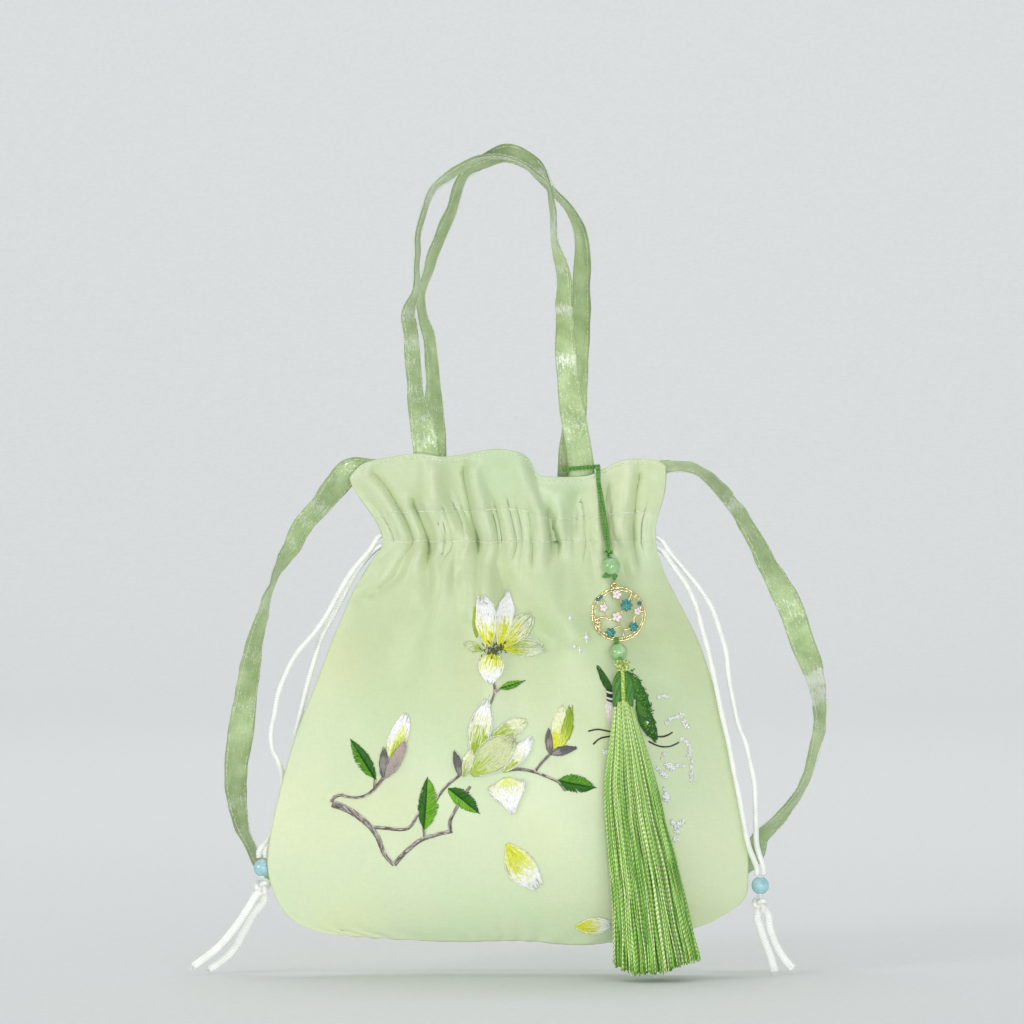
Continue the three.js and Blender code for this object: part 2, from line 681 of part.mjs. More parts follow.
// Drawcord runs. up: share of the bag's height. out: millimetres beyond the side edge. y: millimetres.
const RUN_COLUMNS = ["up", "out", "y"];
const LEFT_RUN_1 = rows(
  RUN_COLUMNS,
  [0.835, -5, 0],
  [0.829, 1.2, 0],
  [0.8, 4.8, -1],
  [0.757, 5.9, -1.2],
  [0.709, 6.6, -1.2],
  [0.666, 7.6, -1.1],
  [0.631, 9.8, -0.8],
  [0.588, 14.1, 0],
  [0.54, 15.6, 1],
  [0.505, 15.4, 1.6],
  [0.462, 13.3, 2.4],
  [0.428, 12, 3.2],
  [0.393, 8.9, 4],
  [0.365, 4.2, 5.2],
  [0.33, 0.6, 6.6],
  [0.26, -0.4, 7],
  [0.21, 0.6, 5.6]
);
const LEFT_RUN_2 = rows(
  RUN_COLUMNS,
  [0.812, -5, 0],
  [0.808, 1.2, 0],
  [0.778, 3.2, 1.8],
  [0.74, 3.8, 2.3],
  [0.695, 3.9, 2.6],
  [0.655, 4.8, 2.8],
  [0.625, 5.6, 3],
  [0.576, 4.9, 3.6],
  [0.534, 4.2, 4.2],
  [0.491, 2.8, 5],
  [0.442, 1.2, 5.8],
  [0.4, 0, 7],
  [0.33, -3.5, 8.6],
  [0.26, -4, 9.4],
  [0.21, -1.6, 7.4]
);
const RIGHT_RUN_1 = rows(
  RUN_COLUMNS,
  [0.831, -5, 0],
  [0.825, 1.5, 0],
  [0.79, 6.3, 0.5],
  [0.751, 10.6, 0.5],
  [0.717, 13.3, 0.2],
  [0.68, 13.8, -0.2],
  [0.631, 12.1, -0.4],
  [0.59, 10.9, -0.6],
  [0.542, 8.5, -0.6],
  [0.491, 7.4, -0.6],
  [0.442, 7.3, -0.6],
  [0.407, 8.7, -0.6],
  [0.365, 9, -0.4],
  [0.324, 9.1, -0.4],
  [0.281, 7.6, -0.6],
  [0.24, 5.8, -0.8],
  [0.198, 4.6, -1]
);
const RIGHT_RUN_2 = rows(
  RUN_COLUMNS,
  [0.808, -5, 0],
  [0.802, 1.5, 0],
  [0.766, 5.4, -1.5],
  [0.728, 7.8, -1.9],
  [0.688, 7.2, -2.1],
  [0.646, 5, -2.4],
  [0.605, 3.4, -3.2],
  [0.561, 2.2, -3.9],
  [0.513, 1.4, -4.3],
  [0.464, 0.9, -4.5],
  [0.407, 1, -4.5],
  [0.352, 0.8, -4.5],
  [0.31, 1, -4.5],
  [0.252, 0.6, -4.5],
  [0.198, 0.8, -4.2]
);

function runPoints(side, table) {
  return table.map((row) => {
    const z = row.up * BAG_HEIGHT;
    return new THREE.Vector3(side * (sideEdge(side, z) + row.out), row.y, z);
  });
}

// Stopper bead, knot and two cut tails at the end of each pair of runs
function cordEnd(name, beadAt, tails) {
  const top = beadAt.z + BEAD_RADIUS + CLEARANCE;
  const apart = CORD_RADIUS + CLEARANCE / 2 + 0.1;
  const body = bead(BEAD_DIAMETER, BEAD_HOLE);
  add(`blue_bead_${name}`, placed(body, beadAt.x, beadAt.y, beadAt.z), BLUE_GLASS);
  const knotHalf = (KNOT_DIAMETER / 2) * 1.1;
  const hole = Math.sqrt(BEAD_RADIUS ** 2 - (BEAD_HOLE / 2) ** 2);
  const knotZ = beadAt.z - BEAD_RADIUS - CLEARANCE - knotHalf;
  const core = BEAD_HOLE / 2 - CLEARANCE;
  const stem = lathe([[0, -2], [core, -2], [core, hole * 2 + 1.2], [0, hole * 2 + 1.2]], 8);
  const knot = ball(KNOT_DIAMETER / 2, 6, 10);
  knot.scale(1, 0.9, 1.1);
  placed(knot, beadAt.x, beadAt.y, knotZ);
  placed(stem, beadAt.x, beadAt.y, beadAt.z - hole - 1.2);
  add(`cord_knot_${name}`, join([knot, stem]), WHITE_SATIN);
  tails.forEach((tail, i) => {
    const lean = tail[0];
    const start = new THREE.Vector3(lean[0], lean[1], lean[2]).normalize();
    const reach = (KNOT_DIAMETER / 2) * 1.08 + CLEARANCE;
    const knotAt = new THREE.Vector3(beadAt.x, beadAt.y, knotZ);
    const points = [reach, reach + 1.6].map((r) => knotAt.clone().addScaledVector(start, r));
    for (const [x, y, z] of tail.slice(1)) {
      points.push(new THREE.Vector3(beadAt.x + x, beadAt.y + y, knotZ + z));
    }
    add(`cord_tail_${name}_${i + 1}`, cord(points, TAIL_STEPS, TAIL_WIDTH / 2, 8, 0.6), WHITE_SATIN);
  });
  return [-1, 1].map((k) => new THREE.Vector3(beadAt.x + k * apart, beadAt.y, top + CORD_RADIUS * 0.2));
}

// Each stopper bead hangs beside the bag's edge; out and back are shares of the bead's radius
function beadPlace(side, height, out, back) {
  const x = side * (sideEdge(side, height) + out * BEAD_RADIUS);
  return new THREE.Vector3(x, back * BEAD_RADIUS, height);
}
const leftBead = beadPlace(-1, LEFT_STOPPER_HEIGHT, 0.7, 0.85);
const rightBead = beadPlace(1, RIGHT_STOPPER_HEIGHT, 1.4, -0.35);

// Routes of the cut tails from each knot: a start direction, then points beside the knot
const LEFT_TAILS = [
  [[-0.75, -0.3, -1], [-7, -2, -10.5], [-13, -3, -19], [-20, -3.5, -27], [-31, -4, -35.5]],
  [[0.1, 0.2, -1], [-3.5, 1, -11.5], [-9, 1, -21.5], [-14.5, 0.5, -30], [-24, 0, -37.5]],
];
const RIGHT_TAILS = [
  [[-0.25, -0.2, -1], [-0.5, -1.2, -9], [2.2, -1.5, -17], [4.5, -1.5, -23], [6.6, -1.5, -30]],
  [[0.75, 0.3, -1], [4.2, 0.8, -9.5], [6.8, 1.2, -17.5], [10.2, 1.4, -23.5], [14.8, 1.5, -29]],
];
const leftEnds = cordEnd("left", leftBead, LEFT_TAILS);
const rightEnds = cordEnd("right", rightBead, RIGHT_TAILS);
const runs = [
  ["drawcord_left_1", -1, LEFT_RUN_1, leftEnds[0]],
  ["drawcord_left_2", -1, LEFT_RUN_2, leftEnds[1]],
  ["drawcord_right_1", 1, RIGHT_RUN_1, rightEnds[1]],
  ["drawcord_right_2", 1, RIGHT_RUN_2, rightEnds[0]],
];
for (const [name, side, table, end] of runs) {
  const points = runPoints(side, table);
  const over = end.clone();
  over.z += 3;
  points.push(over, end);
  add(name, cord(points, CORD_STEPS, CORD_RADIUS), WHITE_SATIN);
}

// Charm, hung by a green cord round the front hand strap's right leg
const legX = FRONT_RIGHT_LEG * HANDLE_SPAN;
const legTop = legTopAt(FRONT, legX);
const legY = sewnTo(FRONT, legX, legTop);
const loopZ = legTop + CORD_LOOP_LIFT;
const HALF_CORD = CHARM_CORD / 2;
const DISC_RADIUS = DISC_DIAMETER / 2;
const DISC_TILT = THREE.MathUtils.degToRad(9);
const CAP_DROP = DISC_RADIUS + BEAD_DIAMETER + 3 * CHARM_CORD;
const CAP_SIDE = 0.85 * CHARM_CORD;
const charm = {};
charm.disc = new THREE.Vector3(legX + CHARM_SIDE, 0, loopZ - CHARM_DROP);
charm.cap = new THREE.Vector3(charm.disc.x + CAP_SIDE, 0, charm.disc.z - CAP_DROP);
let discY = 0;
for (let i = 0; i < 12; i += 1) {
  const a = (2 * Math.PI * i) / 12;
  const x = charm.disc.x + DISC_RADIUS * Math.cos(a);
  const z = charm.disc.z + DISC_RADIUS * Math.sin(a);
  const lean = DISC_RADIUS * Math.sin(a) * Math.sin(DISC_TILT);
  discY = Math.min(discY, frontOf(FRONT, x, z, DISC_WIRE / 2) - lean);
}
charm.disc.y = discY;

// A point of the disc's own plane, x to the right and z up from its centre
function discPoint(x, z) {
  const out = new THREE.Vector3(x, z * Math.sin(DISC_TILT), z * Math.cos(DISC_TILT));
  return out.add(charm.disc);
}

// From the disc up: its eye, the jump ring through the eye, the tie, the bead and the knot
const EYE_LEAN = THREE.MathUtils.degToRad(8);
const EYE_REACH = DISC_RADIUS + EYE_RADIUS - EYE_WIRE * 1.5;
const eyeX = -Math.sin(EYE_LEAN) * EYE_REACH;
const eyeZ = Math.cos(EYE_LEAN) * EYE_REACH;
const eyeAt = discPoint(eyeX, eyeZ);
const ringAt = eyeAt.clone().add(new THREE.Vector3(0, 0, RING_RADIUS));
const tieAt = ringAt.clone();
tieAt.z += RING_RADIUS + RING_WIRE + CLEARANCE + TIE_RADIUS;

// The thread through the upper bead leans forward as far as the cloth behind the bead asks
const upperWay = new THREE.Vector3(-0.3, 0, 1).normalize();
const beadReach = TIE_RADIUS + CLEARANCE + BEAD_RADIUS;
charm.bead = tieAt.clone().addScaledVector(upperWay, beadReach);
const clearY = Math.min(tieAt.y, frontOf(FRONT, charm.bead.x, charm.bead.z, BEAD_RADIUS));
upperWay.y = (clearY - tieAt.y) / beadReach;
upperWay.normalize();
charm.bead.copy(tieAt).addScaledVector(upperWay, beadReach);
charm.knot = charm.bead.clone().addScaledVector(upperWay, BEAD_RADIUS + CLEARANCE + CHARM_CORD * 1.15);

function charmCord() {
  const w = STRAP_WIDTH / 2 + HALF_CORD + 0.5;
  const d = STRAP_THICKNESS / 2 + HALF_CORD + 0.5;
  const loop = [];
  const corners = [[1, -1], [0, -1.2], [-1, -1], [-1.12, 0], [-1, 1], [0, 1.2], [1, 1], [1.12, 0]];
  for (const [a, b] of corners) loop.push(new THREE.Vector3(legX + a * w, legY + b * d, loopZ + a * 0.6));
  const curve = new THREE.CatmullRomCurve3(loop, true, "catmullrom", 0.35);
  const steps = 22;
  const points = [];
  const faces = [];
  const sides = 6;
  for (let j = 0; j < steps; j += 1) {
    const tangent = curve.getTangent(j / steps);
    const wide = new THREE.Vector3(0, 0, 1);
    const out = new THREE.Vector3().crossVectors(tangent, wide).normalize();
    const up = new THREE.Vector3().crossVectors(out, tangent);
    for (const [a, b] of ring(HALF_CORD, sides)) {
      points.push(curve.getPoint(j / steps).addScaledVector(out, a).addScaledVector(up, b));
    }
  }
  for (let j = 0; j < steps; j += 1) {
    const n = (j + 1) % steps;
    for (let i = 0; i < sides; i += 1) {
      const k = (i + 1) % sides;
      faces.push([j * sides + i, j * sides + k, n * sides + k]);
      faces.push([j * sides + i, n * sides + k, n * sides + i]);
    }
  }
  const start = new THREE.Vector3(legX + w * 0.95, legY - d, loopZ + 0.6);
  const strand = (offset) => {
    const over = start.clone();
    over.x += 0.6 + offset * 0.5;
    over.y = frontOf(FRONT, over.x, loopZ - 4, HALF_CORD) - 0.3;
    const way = [start.clone(), over];
    const end = charm.knot.clone().add(new THREE.Vector3(offset * 0.5, 0, 1));
    for (const share of [0.16, 0.36, 0.58, 0.8]) {
      const point = start.clone().lerp(end, share);
      point.x += offset * Math.sin(Math.PI * share);
      point.y = Math.min(frontOf(FRONT, point.x, point.z, 2) + 1, start.y - 4 * share);
      way.push(point);
    }
    way.push(end);
    return cord(way, 11, HALF_CORD, 6);
  };
  const knot = placed(ball(CHARM_CORD * 1.15, 6, 8), charm.knot.x, charm.knot.y, charm.knot.z);
  return join([solid(points, faces), strand(-1), strand(1), knot]);
}
add("charm_cord", charmCord(), GREEN_CORD);

// Turns a shape that stands on the Z axis to lie between two points, its base at the first
function standOn(shape, from, to) {
  const way = to.clone().sub(from).normalize();
  shape.applyQuaternion(new THREE.Quaternion().setFromUnitVectors(new THREE.Vector3(0, 0, 1), way));
  shape.translate(from.x, from.y, from.z);
  return shape;
}

function jade(at, towards) {
  return standOn(bead(BEAD_DIAMETER, THREAD_DIAMETER + 2 * CLEARANCE), at, towards);
}

add("charm_bead_upper", jade(charm.bead, charm.knot), JADE_GLASS);

// Thread through the upper bead, with the tie that carries the jump ring
function tie(at, top, radius) {
  const pin = lathe([[0, 0], [THREAD_DIAMETER / 2, 0], [THREAD_DIAMETER / 2, 1], [0, 1]], 8);
  pin.scale(1, 1, at.distanceTo(top));
  return join([placed(ball(radius, 6, 8), at.x, at.y, at.z), standOn(pin, at, top)]);
}

const pinTop = charm.bead.clone().addScaledVector(upperWay, BEAD_RADIUS - 0.2);
add("charm_tie_upper", tie(tieAt, pinTop, TIE_RADIUS), GREEN_CORD);

function torus(radius, wire, around, sides) {
  return new THREE.TorusGeometry(radius, wire, sides, around);
}

const jump = torus(RING_RADIUS, RING_WIRE, 18, 6);
jump.rotateX(Math.PI / 2);
jump.rotateZ(THREE.MathUtils.degToRad(78));
add("jump_ring", placed(jump, ringAt.x, ringAt.y, ringAt.z), GOLD);

// Openwork disc: a rim, an eye at its top, branch wires and a plate behind each flower.
// Places are shares of the disc's radius, x to the right and z up.
const FLOWERS = rows(
  ["name", "x", "z", "size", "petals"],
  ["white_flower_1", -0.06, 0.74, 0.36, 5],
  ["white_flower_2", -0.56, 0.24, 0.31, 5],
  ["white_flower_3", -0.06, -0.11, 0.37, 5],
  ["white_flower_4", 0.72, 0.1, 0.28, 5],
  ["teal_flower_1", 0.3, 0.34, 0.44, 8],
  ["teal_flower_2", 0.57, -0.48, 0.35, 6],
  ["teal_flower_3", -0.3, -0.7, 0.35, 6]
);
const BRANCHES = [
  [[-0.94, -0.24], [-0.6, -0.12], [-0.3, -0.2], [-0.06, -0.11]],
  [[0.22, -0.92], [0.16, -0.6], [0.02, -0.35], [-0.06, -0.11]],
  [[-0.7, 0.62], [-0.52, 0.45], [-0.56, 0.24], [-0.5, -0.02], [-0.42, -0.18]],
  [[0.5, 0.8], [0.4, 0.58], [0.3, 0.34], [0.12, 0.1], [-0.06, -0.11]],
  [[0.94, 0.1], [0.72, 0.1], [0.6, -0.14], [0.57, -0.48], [0.16, -0.6]],
  [[-0.06, 0.92], [-0.06, 0.74], [0.1, 0.5], [0.3, 0.34]],
  [[-0.5, -0.8], [-0.3, -0.7], [-0.1, -0.5], [0.08, -0.46]],
];

function discBody() {
  const wire = DISC_WIRE / 2;
  const rim = DISC_RADIUS - wire;
  const parts = [torus(rim, wire, 30, 6)];
  const eye = torus(EYE_RADIUS, EYE_WIRE, 10, 6);
  parts.push(placed(eye, eyeX, eyeZ, 0));
  for (const way of BRANCHES) {
    const points = way.map(([x, z]) => new THREE.Vector3(x * rim, z * rim, 0));
    parts.push(cord(points, way.length + 1, wire * 0.75, 5));
  }
  for (const flower of FLOWERS) {
    const plate = (flower.size * DISC_RADIUS) / 2.6;
    const back = new THREE.CylinderGeometry(plate, plate, DISC_WIRE * 0.9, 8);
    back.rotateX(Math.PI / 2);
    parts.push(placed(back, flower.x * rim, flower.z * rim, 0));
  }
  return join(parts);
}

// Enamel petals round a small centre, flat at the back
function petals(size, count) {
  const shape = new THREE.Shape();
  const steps = count * 4;
  for (let i = 0; i <= steps; i += 1) {
    const a = (2 * Math.PI * i) / steps;
    const r = size * (0.72 + 0.28 * Math.cos(count * a));
    if (i === 0) shape.moveTo(r * Math.cos(a), r * Math.sin(a));
    else shape.lineTo(r * Math.cos(a), r * Math.sin(a));
  }
  return new THREE.ExtrudeGeometry(shape, {
    depth: ENAMEL_THICKNESS,
    bevelEnabled: false,
    curveSegments: 1,
  });
}

function onDisc(shape) {
  shape.rotateX(Math.PI / 2 - DISC_TILT);
  return placed(shape, charm.disc.x, charm.disc.y, charm.disc.z);
}
add("charm_disc", onDisc(discBody()), GOLD);
for (const flower of FLOWERS) {
  const size = (flower.size * DISC_RADIUS) / 2;
  const shape = petals(size, flower.petals);
  shape.rotateZ(flower.x);
  const rim = DISC_RADIUS - DISC_WIRE / 2;
  placed(shape, flower.x * rim, flower.z * rim, DISC_WIRE * 0.45 + CLEARANCE);
  add(flower.name, onDisc(shape), flower.name.startsWith("teal") ? TEAL_ENAMEL : WHITE_ENAMEL);
}

// Lower bead, its tie, the cap and the tassel, leaning with the belly of the bag
const capTop = charm.cap.clone();
const bottom = new THREE.Vector3(capTop.x + TASSEL_SIDE, 0, 0);
capTop.y = frontOf(FRONT, capTop.x, capTop.z - CAP_LENGTH / 2, CAP_RADIUS);
let bellyY = 0;
for (const share of [0.15, 0.25, 0.35, 0.5, 0.7, 0.9]) {
  const spread = CAP_RADIUS + (SKIRT_RADIUS - CAP_RADIUS) * share;
  const x = capTop.x + (bottom.x - capTop.x) * share;
  const z = Math.max(12, capTop.z - CAP_LENGTH - TASSEL_LENGTH * share);
  const limit = frontOf(FRONT, x, z, spread * 0.82) - 0.6;
  bellyY = Math.min(bellyY, limit);
}
const tasselTop = new THREE.Vector3(capTop.x, Math.min(capTop.y, bellyY), capTop.z);
bottom.y = tasselTop.y;
bottom.z = tasselTop.z - CAP_LENGTH - TASSEL_LENGTH;
const hangWay = tasselTop.clone().sub(bottom).normalize();

// The lower tie: a loop round the disc's rim, a pin through the bead and a knot on the cap
const RIM_RADIUS = DISC_RADIUS - DISC_WIRE / 2;
const TIE_SIDE = -0.04 * DISC_RADIUS;
const loopFoot = discPoint(TIE_SIDE, -(RIM_RADIUS + TIE_LOOP_RADIUS + TIE_LOOP_WIRE));
const lowWay = tasselTop.clone().sub(loopFoot).normalize();
const lowBead = loopFoot.clone().addScaledVector(lowWay, CLEARANCE + BEAD_RADIUS);
const lowKnot = tasselTop.clone().addScaledVector(lowWay, -(CLEARANCE + 0.1 + TIE_RADIUS));
add("charm_bead_lower", jade(lowBead, loopFoot), JADE_GLASS);

function lowTie() {
  const loop = torus(TIE_LOOP_RADIUS, TIE_LOOP_WIRE, 12, 6);
  loop.rotateY(Math.PI / 2);
  placed(loop, TIE_SIDE, -RIM_RADIUS, 0);
  const pin = lathe([[0, 0], [THREAD_DIAMETER / 2, 0], [THREAD_DIAMETER / 2, 1], [0, 1]], 8);
  const top = loopFoot.clone().addScaledVector(lowWay, -TIE_LOOP_WIRE);
  pin.scale(1, 1, lowKnot.distanceTo(top));
  const knot = placed(ball(TIE_RADIUS, 6, 8), lowKnot.x, lowKnot.y, lowKnot.z);
  return join([onDisc(loop), standOn(pin, lowKnot, top), knot]);
}
add("charm_tie_lower", lowTie(), GREEN_CORD);

function capBody() {
  const r = CAP_RADIUS;
  const profile = [
    [0, -CAP_LENGTH],
    [r * 0.82, -CAP_LENGTH],
    [r, -CAP_LENGTH * 0.72],
    [r * 0.94, -CAP_LENGTH * 0.4],
    [r * 0.72, -CAP_LENGTH * 0.18],
    [r * 0.36, -CAP_LENGTH * 0.03],
    [0, 0],
  ];
  const body = lathe(profile, 12);
  const place = body.attributes.position;
  for (let i = 0; i < place.count; i += 1) {
    const x = place.getX(i);
    place.setY(i, place.getY(i) * (1 - 0.25 * Math.exp(-((x / (0.3 * r)) ** 2))));
  }
  return body;
}
const capFoot = tasselTop.clone().addScaledVector(hangWay, -CAP_LENGTH);
add("tassel_cap", standOn(placed(capBody(), 0, 0, CAP_LENGTH), capFoot, tasselTop), CAP_GREEN);

// Skirt: locks of thread fused to a head
function skirtBody() {
  const head = lathe(
    [
      [0, -1.2 * SKIRT_RADIUS],
      [0.52 * SKIRT_RADIUS, -1.2 * SKIRT_RADIUS],
      [0.49 * SKIRT_RADIUS, -0.6 * SKIRT_RADIUS],
      [0.38 * SKIRT_RADIUS, 0],
      [0, 0],
    ],
    10
  );
  const parts = [head];
  const locks = 9;
  for (let i = 0; i < locks; i += 1) {
    const a = (2 * Math.PI * (i + 0.3)) / locks;
    const wave = Math.sin(i * 2.4);
    const points = [0.02, 0.25, 0.5, 0.75, 1].map((share) => {
      const r = SKIRT_RADIUS * (0.24 + (0.56 + 0.05 * wave) * share ** 0.8);
      const angle = a + 0.12 * share;
      const x = r * Math.cos(angle) * (1 + 0.25 * share);
      const drop = TASSEL_LENGTH - 0.2 * SKIRT_RADIUS * (wave + 1);
      return new THREE.Vector3(x, r * 0.72 * Math.sin(angle), -share * drop);
    });
    parts.push(cord(points, 5, (t) => SKIRT_RADIUS * (0.19 + 0.26 * t ** 0.8), 6));
  }
  const inside = TASSEL_LENGTH - 0.1 * SKIRT_RADIUS;
  const core = [0.02, 0.5, 1].map((share) => new THREE.Vector3(0, 0, -share * inside));
  parts.push(cord(core, 3, (t) => SKIRT_RADIUS * (0.26 + 0.46 * t), 8, 0.8));
  return join(parts);
}
const skirtTop = capFoot.clone().addScaledVector(hangWay, -CLEARANCE);
const skirtFoot = skirtTop.clone().addScaledVector(hangWay, -TASSEL_LENGTH);
add("tassel_skirt", standOn(placed(skirtBody(), 0, 0, TASSEL_LENGTH), skirtFoot, skirtTop), TASSEL_GREEN);

export default purse;
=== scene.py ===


import bpy
import math
import numpy as np
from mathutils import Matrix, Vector


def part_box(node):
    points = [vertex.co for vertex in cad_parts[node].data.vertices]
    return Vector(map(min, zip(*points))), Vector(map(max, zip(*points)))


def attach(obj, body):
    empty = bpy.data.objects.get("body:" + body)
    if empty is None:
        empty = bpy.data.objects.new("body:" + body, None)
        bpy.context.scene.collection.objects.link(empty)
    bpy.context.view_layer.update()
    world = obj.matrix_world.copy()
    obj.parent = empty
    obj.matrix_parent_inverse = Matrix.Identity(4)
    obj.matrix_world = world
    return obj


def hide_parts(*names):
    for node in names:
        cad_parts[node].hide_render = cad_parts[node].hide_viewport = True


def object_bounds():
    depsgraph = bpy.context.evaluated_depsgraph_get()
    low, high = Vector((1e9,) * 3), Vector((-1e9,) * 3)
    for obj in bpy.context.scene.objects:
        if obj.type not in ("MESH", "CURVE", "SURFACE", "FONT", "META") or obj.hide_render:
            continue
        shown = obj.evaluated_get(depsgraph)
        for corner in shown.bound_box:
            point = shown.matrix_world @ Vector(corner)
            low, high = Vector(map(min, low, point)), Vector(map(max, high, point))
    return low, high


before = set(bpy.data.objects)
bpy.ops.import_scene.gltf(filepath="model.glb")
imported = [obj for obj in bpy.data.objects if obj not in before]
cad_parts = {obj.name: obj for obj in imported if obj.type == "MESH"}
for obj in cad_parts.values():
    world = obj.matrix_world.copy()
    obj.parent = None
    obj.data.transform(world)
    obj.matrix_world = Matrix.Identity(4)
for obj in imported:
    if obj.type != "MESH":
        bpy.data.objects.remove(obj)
CAD_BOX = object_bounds()

bl_info = {
    "name": "Embroidered drawstring purse",
    "version": (1, 0, 0),
    "blender": (4, 5, 0),
    "location": "3D View > Sidebar > Purse",
    "description": "Builds a chiffon drawstring purse with silk embroidery, drawcords and a tassel charm",
    "category": "Add Mesh",
}

# Units. Every length below is in metres unless its name says millimetres.
MM = 0.001
FRONT = -1
BACK = 1
CIRCLE = 2 * np.pi
# About one turn, for waves that begin at a random place
LOOSE_TURN = 6.28
# Gap between pieces that touch, and how far the hand straps are sewn in
CLEAR = 0.3 * MM
SEWN = 12 * MM
# Radius of the holes through the stopper beads and the charm's beads
CORD_HOLE = 1.6 * MM
TIE_HOLE = 0.9 * MM
# Legs of the front hand strap, as shares of its span, and how far above the cloth their sewn ends reach
LEFT_LEG = -0.461
RIGHT_LEG = 0.411
LEG_RISE = 3.6 * MM


# Colours are written as the sRGB hex value that a screen shows
def linear(hex_colour):
    values = [int(hex_colour[i : i + 2], 16) / 255 for i in (1, 3, 5)]
    return tuple(v / 12.92 if v <= 0.04045 else ((v + 0.055) / 1.055) ** 2.4 for v in values)


def colour_property(name, hex_colour, description):
    return bpy.props.FloatVectorProperty(
        name=name,
        description=description,
        subtype="COLOR",
        size=3,
        min=0.0,
        max=1.0,
        default=linear(hex_colour),
    )


def length_property(name, millimetres, description):
    return bpy.props.FloatProperty(
        name=name,
        description=description,
        unit="LENGTH",
        min=0.0,
        default=millimetres * MM,
    )


class PurseSizes(bpy.types.PropertyGroup):
    """Sizes of the purse that a maker would choose"""

    bag_width: length_property("Bag width", 216, "Widest part of the bag, laid flat")
    bag_height: length_property("Bag height", 221, "From the bottom seam to the gathered edge")
    bag_depth: length_property("Bag depth", 42, "Thickness of the filled bag")
    neck_height: length_property("Neck height", 181, "Height of the lower casing stitches")
    casing_height: length_property("Casing height", 14, "Between the two rows of casing stitches")
    cloth_wall: length_property("Cloth wall", 1.2, "Face cloth, lining and seam allowance together")
    fold_depth: length_property("Fold depth", 5, "Depth of the deepest gathered fold")
    strap_width: length_property("Strap width", 12, "Width of the organza straps")
    strap_thickness: length_property("Strap thickness", 0.9, "Folded organza, pressed flat")
    handle_rise: length_property("Handle rise", 132, "From the bag's edge to the top of the hand straps")
    handle_span: length_property("Handle span", 80, "Spread of the hand straps")
    cord_diameter: length_property("Drawcord diameter", 2.5, "Satin rattail cord")
    bead_diameter: length_property("Bead diameter", 8, "Stopper beads and charm beads")
    charm_cord: length_property("Charm cord", 1.3, "Green knotting cord")
    disc_diameter: length_property("Disc diameter", 25, "Openwork charm")
    tassel_length: length_property("Tassel length", 121, "Hanging threads below the cap")
    stitch_width: length_property("Embroidery thread", 0.34, "Drawn a little coarser than real silk")
    tassel_threads: bpy.props.IntProperty(
        name="Tassel threads", description="Twisted threads in the skirt", default=880, min=50, max=1200
    )


class PurseColours(bpy.types.PropertyGroup):
    """Colours of the purse"""

    cloth: colour_property("Cloth", "#d9e5c0", "Pale green chiffon")
    cloth_mint: colour_property("Mint shade", "#d4e5be", "Cooler patches where the lining shows")
    cloth_lemon: colour_property("Lemon shade", "#dce6bd", "Warmer patches in the light")
    strap: colour_property("Strap", "#bfd59b", "Organza ribbon")
    # The strap shade is a painted shade colour, a shaded copy of the strap colour
    strap_painted_shade: colour_property("Strap shade", "#9fb97c", "Organza in its folds")
    # The strap glint is a painted highlight colour
    strap_painted_glint: colour_property("Strap glint", "#f4f9ea", "Bright threads of the organza")
    cord: colour_property("Drawcord", "#f8faf5", "White satin cord")
    bead_blue: colour_property("Blue bead", "#a0cfd9", "Opaque blue glass")
    bead_jade: colour_property("Jade bead", "#9ac687", "Milky green glass")
    charm_green: colour_property("Charm cord", "#5a9e32", "Green knotting cord")
    charm_lime: colour_property("Charm highlight", "#c3de63", "Bright strand on the cap")
    gold: colour_property("Gold", "#efdfa9", "Plating of the disc")
    enamel_white: colour_property("White enamel", "#f6e6e6", "Blossoms of the disc")
    enamel_teal: colour_property("Teal enamel", "#0d8c8b", "Blossoms of the disc")
    tassel: colour_property("Tassel", "#a9e063", "Rayon tassel threads")
    # The tassel highlight and tassel shade are painted highlight and painted shade colours of the same thread
    tassel_painted_highlight: colour_property("Tassel highlight", "#e2fba8", "Lighter ply of the tassel threads")
    tassel_painted_shade: colour_property("Tassel shade", "#4c9426", "Threads inside the tassel")
    cap: colour_property("Tassel cap", "#3d8a0c", "Wound thread of the cap")


# Tables of shapes
# Sections of the bag from the bottom seam to the top edge.
# up: share of the bag's height. left, right: shares of half its width.
# deep: share of half its depth. slit_left, slit_right: how far the side seam stands open.
def columns(names, *lines):
    return dict(zip(names, np.array(lines, float).T))


SECTIONS = columns(
    ["up", "left", "right", "deep", "slit_left", "slit_right"],
    [0.0, 0.648, 0.611, 0.0, 0.0, 0.0],
    [0.016, 0.721, 0.708, 0.15, 0.0, 0.0],
    [0.027, 0.817, 0.771, 0.24, 0.0, 0.0],
    [0.047, 0.9, 0.867, 0.38, 0.0, 0.0],
    [0.088, 0.963, 0.983, 0.6, 0.0, 0.0],
    [0.149, 1.0, 1.0, 0.79, 0.0, 0.0],
    [0.21, 0.992, 0.992, 0.9, 0.0, 0.0],
    [0.291, 0.958, 0.958, 0.985, 0.0, 0.0],
    [0.414, 0.888, 0.908, 0.975, 0.0, 0.0],
    [0.536, 0.792, 0.846, 0.87, 0.0, 0.0],
    [0.617, 0.73, 0.788, 0.76, 0.0, 0.0],
    [0.699, 0.658, 0.705, 0.64, 0.0, 0.0],
    [0.739, 0.617, 0.663, 0.58, 0.1, 0.1],
    [0.78, 0.567, 0.633, 0.52, 0.7, 0.7],
    [0.81, 0.521, 0.617, 0.48, 1.0, 1.0],
    [0.851, 0.542, 0.617, 0.475, 1.0, 1.1],
    [0.882, 0.583, 0.633, 0.48, 0.8, 1.8],
    [0.912, 0.625, 0.65, 0.51, 0.7, 3.2],
    [0.947, 0.658, 0.658, 0.54, 0.7, 4.3],
    [1.0, 0.652, 0.655, 0.56, 0.7, 4.6],
)

